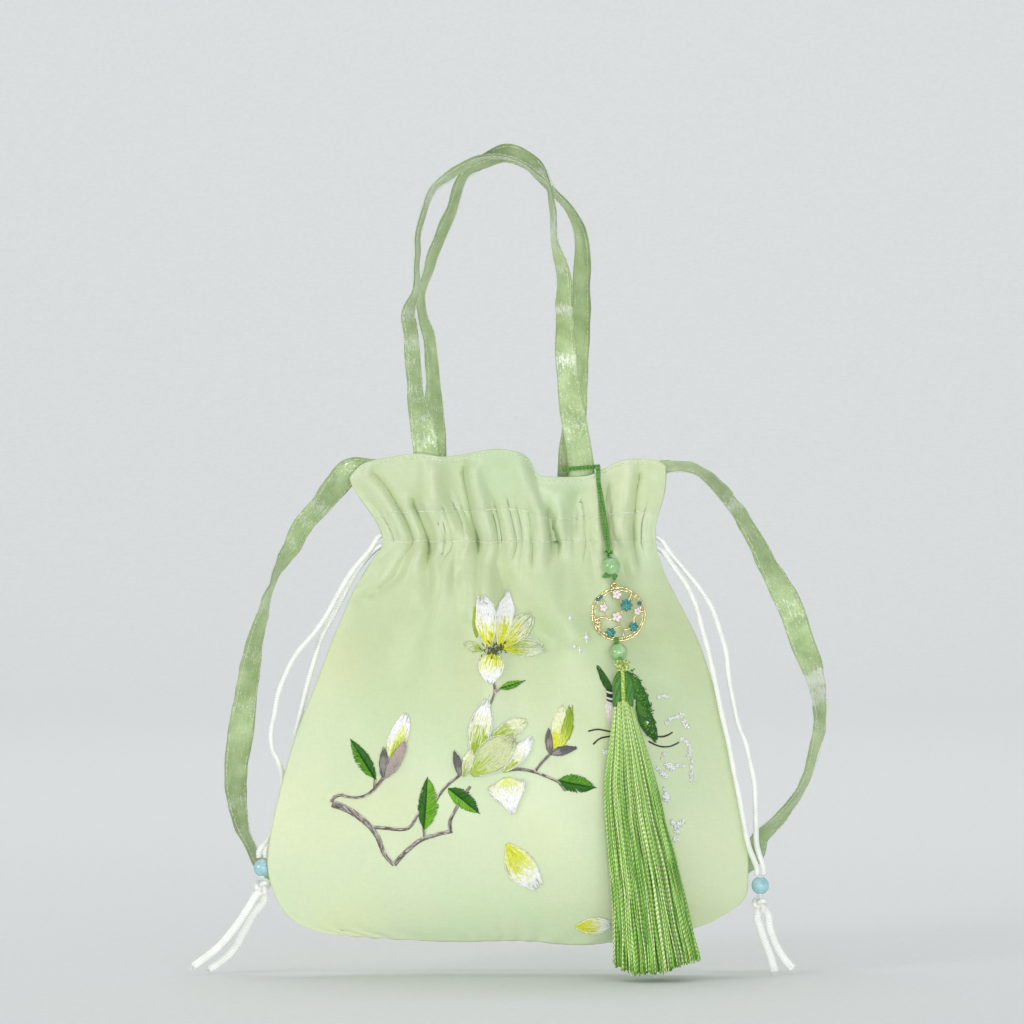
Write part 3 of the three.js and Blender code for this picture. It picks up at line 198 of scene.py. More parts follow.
# Folds pressed into the cloth by the drawn cord; a negative depth is a ridge.
# at: place across the neck, -1 to 1. deep: share of the fold depth at the casing.
# left, right: widths of its two sides. top: place at the top edge. head: depth there.
# foot: place where it dies out. reach: share of the bag's height that it runs down.
FOLD_COLUMNS = ["at", "deep", "left", "right", "top", "head", "foot", "reach"]
FRONT_FOLDS = columns(
    FOLD_COLUMNS,
    [-0.9, 0.5, 0.05, 0.05, -0.93, 0.0, -0.93, 0.12],
    [-0.79, 0.75, 0.05, 0.05, -0.83, 0.35, -0.84, 0.16],
    [-0.67, 0.9, 0.05, 0.06, -0.7, 0.3, -0.5, 0.22],
    [-0.54, -0.3, 0.08, 0.08, -0.55, -0.35, -0.5, 0.1],
    [-0.42, 0.4, 0.05, 0.04, -0.38, 0.1, -0.38, 0.1],
    [-0.32, 1.0, 0.07, 0.04, -0.29, 0.4, -0.3, 0.12],
    [-0.17, 0.4, 0.05, 0.12, -0.13, 0.0, 0.12, 0.28],
    [-0.03, -0.35, 0.14, 0.16, -0.03, -0.8, 0.0, 0.05],
    [0.06, 0.35, 0.05, 0.05, 0.03, 0.0, 0.15, 0.08],
    [0.23, 1.0, 0.04, 0.3, 0.17, 1.0, 0.3, 0.16],
    [0.47, 0.45, 0.06, 0.06, 0.5, 0.15, 0.46, 0.12],
    [0.66, 0.7, 0.05, 0.06, 0.66, 0.25, 0.62, 0.12],
    [0.75, -0.25, 0.06, 0.06, 0.76, -0.5, 0.7, 0.08],
    [0.84, 0.9, 0.05, 0.05, 0.86, 0.5, 0.72, 0.14],
)
BACK_FOLDS = columns(
    FOLD_COLUMNS,
    [-0.84, 0.7, 0.06, 0.06, -0.86, 0.3, -0.86, 0.14],
    [-0.66, 0.8, 0.06, 0.07, -0.63, 0.3, -0.6, 0.18],
    [-0.45, 0.6, 0.07, 0.06, -0.44, 0.2, -0.5, 0.12],
    [-0.24, 0.9, 0.06, 0.07, -0.28, 0.4, -0.2, 0.2],
    [-0.04, 0.6, 0.06, 0.06, -0.02, 0.2, -0.06, 0.12],
    [0.17, 0.9, 0.07, 0.06, 0.2, 0.35, 0.14, 0.22],
    [0.38, 0.6, 0.06, 0.06, 0.42, 0.25, 0.34, 0.13],
    [0.6, 0.9, 0.06, 0.07, 0.6, 0.3, 0.56, 0.18],
    [0.82, 0.7, 0.06, 0.06, 0.85, 0.3, 0.8, 0.14],
)

# Top edges. at: place across. rise: share of the header's height above its nominal edge.
FRONT_EDGE = columns(
    ["at", "rise"],
    [-1.0, -0.29],
    [-0.93, -0.15],
    [-0.86, -0.09],
    [-0.69, -0.035],
    [-0.56, -0.01],
    [-0.43, -0.045],
    [-0.32, -0.03],
    [-0.1, 0.04],
    [0.0, 0.033],
    [0.07, 0.0],
    [0.12, -0.07],
    [0.19, -0.24],
    [0.25, -0.27],
    [0.5, -0.26],
    [0.6, -0.19],
    [0.72, -0.09],
    [0.86, -0.07],
    [0.95, -0.09],
    [1.0, -0.15],
)
BACK_EDGE = columns(
    ["at", "rise"],
    [-1.0, -0.29],
    [-0.9, -0.16],
    [-0.7, -0.1],
    [-0.4, -0.12],
    [-0.1, -0.09],
    [0.1, -0.18],
    [0.2, -0.32],
    [0.45, -0.33],
    [0.7, -0.17],
    [0.9, -0.13],
    [1.0, -0.15],
)

# Bottom seam. at: place across. rise: share of the bag's height.
BOTTOM_SEAM = columns(
    ["at", "rise"],
    [-1.0, 0.014],
    [-0.7, 0.008],
    [-0.3, 0.003],
    [0.1, 0.005],
    [0.5, -0.004],
    [0.8, 0.004],
    [1.0, 0.014],
)

# Hand straps. across: share of the handle span. up: share of the handle rise above the edge.
# deep: share of half the bag's depth, towards the back. turn: degrees from flat to the front.
HANDLE_COLUMNS = ["across", "up", "deep", "turn"]
FRONT_HANDLE = columns(
    HANDLE_COLUMNS,
    [-0.515, 0.195, -0.452, 50],
    [-0.535, 0.382, -0.5, 54],
    [-0.557, 0.474, -0.524, 60],
    [-0.515, 0.548, -0.524, 76],
    [-0.509, 0.716, -0.486, 80],
    [-0.428, 0.883, -0.41, 78],
    [-0.335, 0.934, -0.381, 72],
    [-0.186, 0.989, -0.357, 78],
    [-0.045, 1.004, -0.343, 86],
    [0.09, 0.975, -0.343, 84],
    [0.174, 0.934, -0.352, 80],
    [0.236, 0.893, -0.381, 78],
    [0.253, 0.818, -0.4, 78],
    [0.262, 0.716, -0.429, 75],
    [0.304, 0.61, -0.443, 58],
    [0.315, 0.399, -0.452, 42],
    [0.349, 0.195, -0.452, 26],
)
BACK_HANDLE = columns(
    HANDLE_COLUMNS,
    [-0.416, 0.195, 0.405, 52],
    [-0.444, 0.382, 0.357, 62],
    [-0.498, 0.504, 0.262, 70],
    [-0.47, 0.589, 0.262, 70],
    [-0.394, 0.716, 0.286, 64],
    [-0.312, 0.828, 0.305, 66],
    [-0.256, 0.934, 0.314, 70],
    [-0.18, 0.975, 0.314, 62],
    [0.0, 1.02, 0.305, 47],
    [0.141, 0.982, 0.333, 50],
    [0.25, 0.893, 0.381, 76],
    [0.357, 0.818, 0.381, 70],
    [0.413, 0.716, 0.381, 58],
    [0.41, 0.61, 0.381, 46],
    [0.408, 0.399, 0.405, 40],
    [0.388, 0.195, 0.405, 34],
)

# Shoulder strap. side: which edge of the bag it is measured from. up: share of the bag's height.
# out: share of half the bag's width beyond that edge.
# deep: share of half the bag's depth, towards the back. turn: degrees.
SHOULDER_STRAP = columns(
    ["side", "up", "out", "deep", "turn"],
    [-1, 0.955, -0.2, 0, 0],
    [-1, 0.96, -0.09, 0, 0],
    [-1, 0.962, -0.005, 0, 0],
    [-1, 0.932, 0.065, 0, 20],
    [-1, 0.892, 0.18, 0.048, 36],
    [-1, 0.855, 0.305, 0.095, 40],
    [-1, 0.814, 0.375, 0.143, 46],
    [-1, 0.772, 0.372, 0.19, 64],
    [-1, 0.723, 0.358, 0.238, 78],
    [-1, 0.645, 0.333, 0.333, 58],
    [-1, 0.566, 0.305, 0.429, 42],
    [-1, 0.485, 0.268, 0.524, 27],
    [-1, 0.427, 0.241, 0.619, 10],
    [-1, 0.34, 0.212, 0.714, 28],
    [-1, 0.295, 0.185, 0.81, 40],
    [-1, 0.24, 0.141, 0.905, 55],
    [-1, 0.189, 0.085, 1, 72],
    [-1, 0.15, 0.035, 1.095, 60],
    [-1, 0.1, -0.15, 1.286, 30],
    [-1, 0.065, -0.4, 1.333, 8],
    [-1, 0.05, -0.72, 1.333, 0],
    [1, 0.06, -0.75, 1.333, 0],
    [1, 0.08, -0.4, 1.333, 5],
    [1, 0.115, -0.17, 1.286, 15],
    [1, 0.165, 0.02, 1.143, 20],
    [1, 0.208, 0.067, 1.048, 48],
    [1, 0.24, 0.15, 0.952, 55],
    [1, 0.285, 0.243, 0.857, 64],
    [1, 0.324, 0.303, 0.762, 68],
    [1, 0.369, 0.351, 0.667, 64],
    [1, 0.417, 0.392, 0.571, 58],
    [1, 0.47, 0.426, 0.524, 56],
    [1, 0.548, 0.438, 0.429, 37],
    [1, 0.615, 0.437, 0.333, 14],
    [1, 0.684, 0.458, 0.238, 12],
    [1, 0.745, 0.456, 0.19, 30],
    [1, 0.784, 0.44, 0.143, 40],
    [1, 0.83, 0.407, 0.095, 49],
    [1, 0.908, 0.262, 0.048, 57],
    [1, 0.963, 0.13, 0, 66],
    [1, 0.97, 0.045, 0, 66],
    [1, 0.97, -0.005, 0, 58],
    [1, 0.955, -0.08, 0, 34],
    [1, 0.94, -0.17, 0, 12],
    [1, 0.925, -0.26, 0, 4],
)

# Drawcord runs. up: share of the bag's height. out_mm: beyond the side edge. y_mm: towards the back.
RUN_COLUMNS = ["up", "out_mm", "y_mm"]
LEFT_RUN_1 = columns(
    RUN_COLUMNS,
    [0.835, -5, 0],
    [0.829, 1.2, 0],
    [0.8, 4.8, -1],
    [0.757, 5.9, -1.2],
    [0.709, 6.6, -1.2],
    [0.666, 7.6, -1.1],
    [0.631, 9.8, -0.8],
    [0.588, 14.1, 0],
    [0.54, 15.6, 1],
    [0.505, 15.4, 1.6],
    [0.462, 13.3, 2.4],
    [0.428, 12, 3.2],
    [0.393, 8.9, 4],
    [0.365, 4.2, 5.2],
    [0.33, 0.6, 6.6],
    [0.26, -0.4, 7],
    [0.21, 0.6, 5.6],
)
LEFT_RUN_2 = columns(
    RUN_COLUMNS,
    [0.812, -5, 0],
    [0.808, 1.2, 0],
    [0.778, 3.2, 1.8],
    [0.74, 3.8, 2.3],
    [0.695, 3.9, 2.6],
    [0.655, 4.8, 2.8],
    [0.625, 5.6, 3],
    [0.576, 4.9, 3.6],
    [0.534, 4.2, 4.2],
    [0.491, 2.8, 5],
    [0.442, 1.2, 5.8],
    [0.4, 0, 7],
    [0.33, -3.5, 8.6],
    [0.26, -4, 9.4],
    [0.21, -1.6, 7.4],
)
RIGHT_RUN_1 = columns(
    RUN_COLUMNS,
    [0.831, -5, 0],
    [0.825, 1.5, 0],
    [0.79, 6.3, 0.5],
    [0.751, 10.6, 0.5],
    [0.717, 13.3, 0.2],
    [0.68, 13.8, -0.2],
    [0.631, 12.1, -0.4],
    [0.59, 10.9, -0.6],
    [0.542, 8.5, -0.6],
    [0.491, 7.4, -0.6],
    [0.442, 7.3, -0.6],
    [0.407, 8.7, -0.6],
    [0.365, 9, -0.4],
    [0.324, 9.1, -0.4],
    [0.281, 7.6, -0.6],
    [0.24, 5.8, -0.8],
    [0.198, 4.6, -1],
)
RIGHT_RUN_2 = columns(
    RUN_COLUMNS,
    [0.808, -5, 0],
    [0.802, 1.5, 0],
    [0.766, 5.4, -1.5],
    [0.728, 7.8, -1.9],
    [0.688, 7.2, -2.1],
    [0.646, 5, -2.4],
    [0.605, 3.4, -3.2],
    [0.561, 2.2, -3.9],
    [0.513, 1.4, -4.3],
    [0.464, 0.9, -4.5],
    [0.407, 1, -4.5],
    [0.352, 0.8, -4.5],
    [0.31, 1, -4.5],
    [0.252, 0.6, -4.5],
    [0.198, 0.8, -4.2],
)

# Cut tails of the drawcords: a start direction, then points in millimetres from the knot
LEFT_TAILS = [
    [[-0.75, -0.3, -1], [-7, -2, -10.5], [-13, -3, -19], [-20, -3.5, -27], [-31, -4, -35.5]],
    [[0.1, 0.2, -1], [-3.5, 1, -11.5], [-9, 1, -21.5], [-14.5, 0.5, -30], [-24, 0, -37.5]],
]
RIGHT_TAILS = [
    [[-0.25, -0.2, -1], [-0.5, -1.2, -9], [2.2, -1.5, -17], [4.5, -1.5, -23], [6.6, -1.5, -30]],
    [[0.75, 0.3, -1], [4.2, 0.8, -9.5], [6.8, 1.2, -17.5], [10.2, 1.4, -23.5], [14.8, 1.5, -29]],
]


# Numbers along tables and curves
def run_along(path):
    """Length of a path from its start to each of its points."""
    return np.concatenate([[0], np.cumsum(np.linalg.norm(np.diff(path, axis=0), axis=1))])


def along(table, key, at, column):
    """Smooth value of a column between the rows of a table."""
    keys = table[key]
    values = table[column]
    slopes = np.empty_like(values)
    slopes[1:-1] = (values[2:] - values[:-2]) / (keys[2:] - keys[:-2])
    slopes[0] = (values[1] - values[0]) / (keys[1] - keys[0])
    slopes[-1] = (values[-1] - values[-2]) / (keys[-1] - keys[-2])
    x = np.clip(at, keys[0], keys[-1])
    i = np.clip(np.searchsorted(keys, x, side="left") - 1, 0, len(keys) - 2)
    span = keys[i + 1] - keys[i]
    t = (x - keys[i]) / span
    start = (2 * t**3 - 3 * t**2 + 1) * values[i]
    leave = (t**3 - 2 * t**2 + t) * span * slopes[i]
    end = (3 * t**2 - 2 * t**3) * values[i + 1]
    arrive = (t**3 - t**2) * span * slopes[i + 1]
    return start + leave + end + arrive


def smooth_curve(points, steps):
    """Points evenly spread by index on a centripetal spline through the given points."""
    p = np.asarray(points, float)
    ends = np.vstack([2 * p[0] - p[1], p, 2 * p[-1] - p[-2]])
    at = np.linspace(0, len(p) - 1, steps + 1)
    i = np.minimum(at.astype(int), len(p) - 2)
    t = (at - i)[:, None]
    q = [ends[i + k] for k in range(4)]
    gap = [np.maximum(np.linalg.norm(q[k + 1] - q[k], axis=1), 1e-9)[:, None] ** 0.5 for k in range(3)]
    out = (q[1] - q[0]) / gap[0] - (q[2] - q[0]) / (gap[0] + gap[1]) + (q[2] - q[1]) / gap[1]
    into = (q[2] - q[1]) / gap[1] - (q[3] - q[1]) / (gap[1] + gap[2]) + (q[3] - q[2]) / gap[2]
    out = out * gap[1]
    into = into * gap[1]
    cube = 2 * q[1] - 2 * q[2] + out + into
    square = -3 * q[1] + 3 * q[2] - 2 * out - into
    return q[1] + out * t + square * t**2 + cube * t**3


def even_curve(points, steps):
    """The same spline with its points evenly spread by length."""
    fine = smooth_curve(points, max(steps * 4, 60))
    length = run_along(fine)
    at = np.linspace(0, length[-1], steps + 1)
    return np.stack([np.interp(at, length, fine[:, k]) for k in range(3)], axis=1)


def unit(v):
    return v / np.maximum(np.linalg.norm(v, axis=-1, keepdims=True), 1e-12)


def tangents(path):
    return unit(np.gradient(path, axis=-2))


def path_length(path):
    return float(np.linalg.norm(np.diff(path, axis=0), axis=1).sum())


# The cloth of the bag, as a function of a place across and a height
class Bag:
    """Shape of the bag's two panels, worked out from its sizes."""

    def __init__(self, sizes):
        self.half_width = sizes.bag_width / 2
        self.height = sizes.bag_height
        self.half_depth = sizes.bag_depth / 2
        self.neck = sizes.neck_height
        self.casing = sizes.casing_height
        self.wall = sizes.cloth_wall
        self.fold_depth = sizes.fold_depth
        self.header = sizes.bag_height - sizes.neck_height
        self.seam_gap = 0.3 * MM
        self.slit = 1.7 * MM
        self.hang = sizes.bag_height + sizes.handle_rise
        self.folds = {FRONT: FRONT_FOLDS, BACK: BACK_FOLDS}
        self.edges = {FRONT: FRONT_EDGE, BACK: BACK_EDGE}

    def side_edge(self, side, z):
        """Distance of one side seam from the middle of the bag."""
        return self.half_width * along(SECTIONS, "up", z / self.height, "left" if side < 0 else "right")

    def side_edges(self, z):
        return self.side_edge(-1, z), self.side_edge(1, z)

    def across_at(self, x, z):
        """Place across, from -1 at the left seam to 1 at the right one."""
        left, right = self.side_edges(z)
        return (x - (right - left) / 2) / ((right + left) / 2)

    def sideways_at(self, u, z):
        left, right = self.side_edges(z)
        return (right - left) / 2 + u * (right + left) / 2

    def top_edge(self, panel, u):
        return self.height + self.header * along(self.edges[panel], "at", u, "rise")

    def level_at(self, panel, u, z):
        """The same height on a bag whose seam and top edge run level, as the tables count it."""
        wave = self.height * along(BOTTOM_SEAM, "at", u, "rise")
        calm = 0.2 * self.neck
        low = np.where(z < calm, (z - wave) * calm / (calm - wave), z)
        high = self.neck + (z - self.neck) * self.header / (self.top_edge(panel, u) - self.neck)
        return np.where(z > self.neck, high, low)

    def depth_at(self, panel, u, z, extra=None):
        """Distance of the inner face from the plane of the side seams."""
        level = np.clip(self.level_at(panel, u, z), 0, self.height)
        up = level / self.height
        round_off = 1 - np.minimum(1, np.abs(u) ** 2.6)
        slit_left = along(SECTIONS, "up", up, "slit_left")
        slit_right = along(SECTIONS, "up", up, "slit_right")
        slit = slit_left + (slit_right - slit_left) * (u + 1) / 2
        above = np.maximum(0, (level - self.neck - self.casing) / (self.header - self.casing))
        fold = np.zeros_like(level)
        table = self.folds[panel]
        for k in range(len(table["at"])):
            row = {name: table[name][k] for name in FOLD_COLUMNS}
            below = np.clip((self.neck - level) / (row["reach"] * self.height), 0, 1)
            place = row["at"] + (row["top"] - row["at"]) * above + (row["foot"] - row["at"]) * below
            deep = (row["deep"] + (row["head"] - row["deep"]) * above) * (1 - below) ** 2
            width = np.where(u < place, row["left"], row["right"]) * (1 + above + 2 * below)
            fold += deep * np.exp(-(((u - place) / width) ** 2))
        opened = self.seam_gap / 2 + self.slit * np.maximum(0, slit) * np.abs(u) ** 6
        belly = self.half_depth * np.maximum(0, along(SECTIONS, "up", up, "deep")) * round_off
        settle = np.minimum(1, level / (0.3 * self.height))
        depth = opened + belly - self.fold_depth * fold * np.sqrt(round_off) * settle
        if extra is not None:
            depth = depth + extra(panel, u, level) * np.sqrt(round_off)
        return depth

    def inner(self, panel, u, z, extra=None):
        depth = self.depth_at(panel, u, z, extra)
        return np.stack([self.sideways_at(u, z), panel * depth, z], axis=-1)

    def normal(self, panel, u, z, extra=None):
        step = 0.004
        rise = 0.4 * MM
        wide = self.inner(panel, u + step, z, extra) - self.inner(panel, u - step, z, extra)
        tall = self.inner(panel, u, z + rise, extra) - self.inner(panel, u, z - rise, extra)
        n = unit(np.cross(wide, tall))
        n = np.where(n[..., 1:2] * panel < 0, -n, n)
        n[..., 1] = panel * np.maximum(0.45, np.abs(n[..., 1]))
        return unit(n)

    def outer(self, panel, u, z, extra=None):
        return self.inner(panel, u, z, extra) + self.normal(panel, u, z, extra) * self.wall

    def front_of(self, panel, x, z, radius):
        """How far out a cord of this radius lies when it rests on the cloth."""
        depth = 0.0
        for dx in (-1, -0.5, 0, 0.5, 1):
            for dz in (-1, 0, 1):
                u = np.clip(self.across_at(x + dx * radius, z + dz * radius), -1, 1)
                depth = max(depth, abs(float(self.outer(panel, u, z + dz * radius)[1])))
        return panel * (depth + CLEAR + radius)

    def sewn_to(self, panel, x, top, strap_width, strap_thickness):
        """Depth of a strap's end that is sewn to the inside of a panel."""
        depth = self.half_depth
        for dx in (-1.1, -0.7, -0.35, 0, 0.35, 0.7, 1.1):
            for dz in (0.3, 0.1, -0.2, -0.5, -0.8, -1.1):
                z = top + dz * SEWN
                u = self.across_at(x + dx * strap_width / 2, z)
                depth = min(depth, float(self.depth_at(panel, u, min(z, float(self.top_edge(panel, u))))))
        return panel * (depth - CLEAR - strap_thickness / 2)


# Folds of the front, from their upper end down, in millimetres from the middle and above the bottom seam.
# wide, deep: size of the valley. ridge: +1 puts the lifted edge on the right, -1 on the left.
FOLDS = [
    ([(-60.0, 214.0), (-56.0, 208.0), (-49.0, 196.4), (-41.7, 181.9)], 2.2, 2.6, -1),
    ([(-43.0, 197.0), (-41.2, 193.3), (-35.5, 177.8)], 1.6, 2.2, -1),
    ([(-19.5, 212.0), (-18.5, 205.7), (-15.9, 195.3), (-13.3, 182.0)], 1.7, 2.8, 1),
    ([(16.6, 197.0), (17.1, 193.3), (18.7, 183.0)], 1.4, 2.4, -1),
    ([(20.3, 191.2), (23.4, 179.0)], 1.3, 1.5, 1),
    ([(59.0, 212.0), (58.0, 206.7), (55.4, 182.0)], 2.1, 2.6, 1),
    ([(56.9, 183.0), (57.5, 174.0)], 1.5, 1.5, -1),
    ([(-44.8, 178.8), (-48.5, 166.0), (-58.0, 158.5), (-66.0, 156.0)], 2.6, 1.6, -1),
    ([(-51.0, 182.0), (-56.0, 174.0), (-64.0, 168.0)], 2.2, 1.2, -1),
    ([(-12.8, 181.9), (-13.0, 168.0), (-13.6, 150.0)], 2.4, 1.7, -1),
    ([(-9.0, 178.0), (-5.1, 168.6), (6.0, 152.0), (15.6, 138.6)], 6.0, 1.9, 1),
    ([(22.8, 179.8), (24.9, 154.0)], 4.2, 1.3, 1),
    ([(-36.0, 179.8), (-35.0, 160.2)], 3.0, 2.0, -1),
    ([(-40.2, 214.0), (-41.2, 195.3)], 3.6, 1.3, 1),
    ([(-27.7, 214.0), (-26.7, 195.3)], 4.4, 1.5, -1),
    ([(-1.0, 212.0), (1.0, 196.0)], 5.0, 0.9, 1),
    ([(31.0, 209.8), (29.0, 192.2)], 4.0, 1.3, -1),
    ([(44.6, 209.0), (43.6, 196.0), (46.1, 180.0)], 2.2, 1.5, 1),
    ([(38.0, 181.0), (39.0, 166.0)], 2.6, 1.2, 1),
    ([(49.0, 180.0), (52.0, 160.0)], 3.4, 1.3, -1),
    ([(-68.0, 206.0), (-62.0, 196.0), (-57.0, 186.0)], 3.4, 1.8, 1),
    ([(64.0, 204.0), (62.5, 192.0), (61.0, 184.0)], 2.6, 1.4, -1),
    ([(-24.0, 181.0), (-24.5, 164.0)], 2.6, 1.3, 1),
    ([(5.0, 182.0), (6.5, 166.0)], 3.0, 1.1, -1),
    ([(-28.5, 181.0), (-29.0, 172.0)], 1.5, 1.1, -1),
    ([(10.5, 181.0), (11.0, 172.0)], 1.5, 1.1, 1),
]


def soft_cloth(bag):
    """Gathers at the casing, creases that run out of it and slow ripples in the body."""
    draw = np.random.default_rng(7)
    count = 46
    # Place, width and depth of each crease, its reach above and below the casing, and its lean
    creases = [
        (
            -0.97 + 1.94 * (k + draw.uniform(0.1, 0.9)) / count,
            draw.uniform(0.011, 0.024),
            draw.uniform(0.3, 1.5) * (1 if k % 3 else -0.8) * MM,
            draw.uniform(2, 12) * MM,
            draw.uniform(3, 12) * MM,
            draw.uniform(-0.05, 0.05),
        )
        for k in range(count)
    ]
    # Long soft folds that run down the body: place, width, depth in millimetres, reach and drift
    long_folds = [
        (-0.74, 0.06, 1.5, 0.3, -0.12),
        (-0.6, 0.06, 1.7, 0.34, -0.1),
        (-0.47, 0.06, -1.3, 0.3, -0.04),
        (-0.34, 0.05, 1.5, 0.26, 0.0),
        (-0.2, 0.05, -2.2, 0.4, 0.1),
        (-0.1, 0.05, 1.9, 0.42, 0.2),
        (0.12, 0.08, 1.5, 0.3, 0.06),
        (0.28, 0.08, -1.6, 0.34, 0.02),
        (0.42, 0.06, 1.4, 0.3, 0.02),
        (0.56, 0.06, -1.2, 0.3, 0.04),
        (0.72, 0.06, 1.4, 0.34, 0.02),
    ]
    ripples = [(draw.uniform(1.5, 6), draw.uniform(2, 9), draw.uniform(0, LOOSE_TURN)) for _ in range(7)]
    gathers = [(draw.uniform(60, 130), draw.uniform(0, LOOSE_TURN), draw.uniform(0.4, 1)) for _ in range(5)]

    def folds(u, level):
        x = bag.sideways_at(u, level)
        out = np.zeros_like(level)
        for points, wide, deep, ridge in FOLDS:
            line = np.array(points)[::-1] * MM
            away = x - np.interp(level, line[:, 1], line[:, 0])
            slant = (line[-1, 0] - line[0, 0]) / (line[-1, 1] - line[0, 1])
            away = away / math.hypot(1, slant)
            beyond = np.maximum(0, level - line[-1, 1]) + np.maximum(0, line[0, 1] - level)
            share = 1.6 * np.exp(-((beyond / (4.5 * MM)) ** 2)) * deep * MM
            w = wide * MM
            out -= share * np.exp(-((away / w) ** 2))
            out += 0.6 * share * np.exp(-(((away - 2.0 * w * ridge) / (1.7 * w)) ** 2))
        return out

    def extra(panel, u, level):
        over = np.maximum(0, level - bag.neck - bag.casing)
        under = np.maximum(0, bag.neck - level)
        out = np.zeros_like(level)
        for at, wide, deep, above, below, lean in creases:
            share = np.exp(-((over / above) ** 2) - (under / below) ** 2)
            place = at * panel * -1 + lean * (over + under) / (20 * MM)
            width = wide * (1 + under / (22 * MM) + over / (40 * MM))
            out -= deep * share * np.exp(-(((u - place) / width) ** 2))
        for at, wide, deep, reach, drift in long_folds:
            down = under / (reach * bag.height)
            share = np.exp(-(down**2) - over / (30 * MM)) * np.minimum(1, down * 3 + 0.35)
            place = at * panel * -1 + drift * down
            out -= 1.5 * deep * MM * share * np.exp(-(((u - place) / (wide * (1 + 1.6 * down))) ** 2))
        if panel == FRONT:
            out = out + folds(u, level)
        rows = np.zeros_like(level)
        for row in (bag.neck, bag.neck + bag.casing):
            rows += np.exp(-(((level - row) / (1.8 * MM)) ** 2))
        middle = bag.neck + bag.casing / 2
        near = np.exp(-(((level - middle) / (0.8 * bag.casing)) ** 2))
        pucker = sum(w * np.sin(f * u + p + panel) for f, p, w in gathers) / 3
        slow = sum(np.sin(a * u * 3.1 + b * level / bag.height * 3.1 + p + panel) for a, b, p in ripples) / 7
        body = np.clip(level / (0.25 * bag.height), 0, 1)
        seam = np.exp(-((level / (7 * MM)) ** 2)) * np.sin(41 * u + 3 * np.sin(7 * u))
        return out + 0.3 * MM * near * pucker - 0.5 * MM * rows + 0.8 * MM * slow * body + 0.35 * MM * seam

    return extra


# Meshes from arrays
def mesh_object(name, verts, faces, uv=None, materials=()):
    """One mesh object. faces is a list of index arrays, each with one row per face."""
    mesh = bpy.data.meshes.new(name)
    verts = np.asarray(verts, np.float32)
    faces = [np.asarray(f, np.int32) for f in faces if len(f)]
    loops = np.concatenate([f.ravel() for f in faces])
    sizes = np.concatenate([np.full(len(f), f.shape[1], np.int32) for f in faces])
    starts = np.concatenate([[0], np.cumsum(sizes)[:-1]]).astype(np.int32)
    mesh.vertices.add(len(verts))
    mesh.vertices.foreach_set("co", verts.ravel())
    mesh.loops.add(len(loops))
    mesh.loops.foreach_set("vertex_index", loops)
    mesh.polygons.add(len(sizes))
    mesh.polygons.foreach_set("loop_start", starts)
    mesh.polygons.foreach_set("use_smooth", np.full(len(sizes), True))
    if uv is not None:
        layer = mesh.uv_layers.new(name="along")
        layer.data.foreach_set("uv", np.asarray(uv, np.float32)[loops].ravel())
    mesh.update(calc_edges=True)
    mesh.validate()
    for material in materials:
        mesh.materials.append(material)
    made = bpy.data.objects.new(name, mesh)
    bpy.context.scene.collection.objects.link(made)
    return made


def frames_along(path):
    """Tangent, side and face directions carried along a path without twist."""
    t = tangents(path)
    face = np.empty_like(path)
    start = np.array([0.0, -1.0, 0.0])
    if abs(np.dot(start, t[0])) > 0.9:
        start = np.array([1.0, 0.0, 0.0])
    for k in range(len(path)):
        start = start - np.dot(start, t[k]) * t[k]
        start = start / np.linalg.norm(start)
        face[k] = start
    return t, np.cross(t, face), face


def ring_faces(stations, sides, closed=False):
    """Quads of a tube with that many stations and sides."""
    j = np.arange(stations if closed else stations - 1)[:, None]
    i = np.arange(sides)[None, :]
    n = (i + 1) % sides
    k = (j + 1) % stations
    return np.stack([j * sides + i, j * sides + n, k * sides + n, k * sides + i], axis=-1).reshape(-1, 4)


def tube_arrays(path, radius, sides=12, closed=False, flat=1.0):
    """Vertices, faces and UV of one tube; v runs in metres along it."""
    path = np.asarray(path, float)
    if closed:
        wrapped = np.vstack([path[-1:], path, path[:1]])
        t = tangents(wrapped)[1:-1]
        face = np.empty_like(path)
        start = np.array([0.0, -1.0, 0.0])
        for k in range(len(path)):
            start = unit(start - np.dot(start, t[k]) * t[k])
            face[k] = start
        wide = np.cross(t, face)
    else:
        t, wide, face = frames_along(path)
    a = CIRCLE * np.arange(sides) / sides
    r = np.broadcast_to(np.asarray(radius, float), (len(path),))[:, None, None]
    verts = (
        path[:, None, :]
        + r * np.cos(a)[None, :, None] * wide[:, None, :]
        + r * flat * np.sin(a)[None, :, None] * face[:, None, :]
    )
    length = run_along(path)
    uv = np.stack(
        [np.broadcast_to(np.arange(sides) / sides, (len(path), sides)), np.repeat(length[:, None], sides, 1)],
        axis=-1,
    )
    faces = [ring_faces(len(path), sides, closed)]
    if not closed:
        last = (len(path) - 1) * sides
        faces.append(np.arange(sides)[::-1][None, :])
        faces.append((last + np.arange(sides))[None, :])
    return verts.reshape(-1, 3), faces, uv.reshape(-1, 2)


def merge_arrays(parts):
    """Joins several (vertices, faces, uv) sets into one."""
    verts = []
    faces = {}
    uvs = []
    base = 0
    for v, fs, uv in parts:
        for f in fs:
            faces.setdefault(f.shape[1], []).append(f + base)
        verts.append(v)
        uvs.append(uv)
        base += len(v)
    return np.vstack(verts), [np.vstack(f) for f in faces.values()], np.vstack(uvs)


def moved(arrays, way):
    """The same arrays, shifted."""
    verts, faces, uv = arrays
    return verts + way, faces, uv


# Threads are drawn as four-sided tubes, because thousands of them lie side by side
THREAD_SIDES = 4


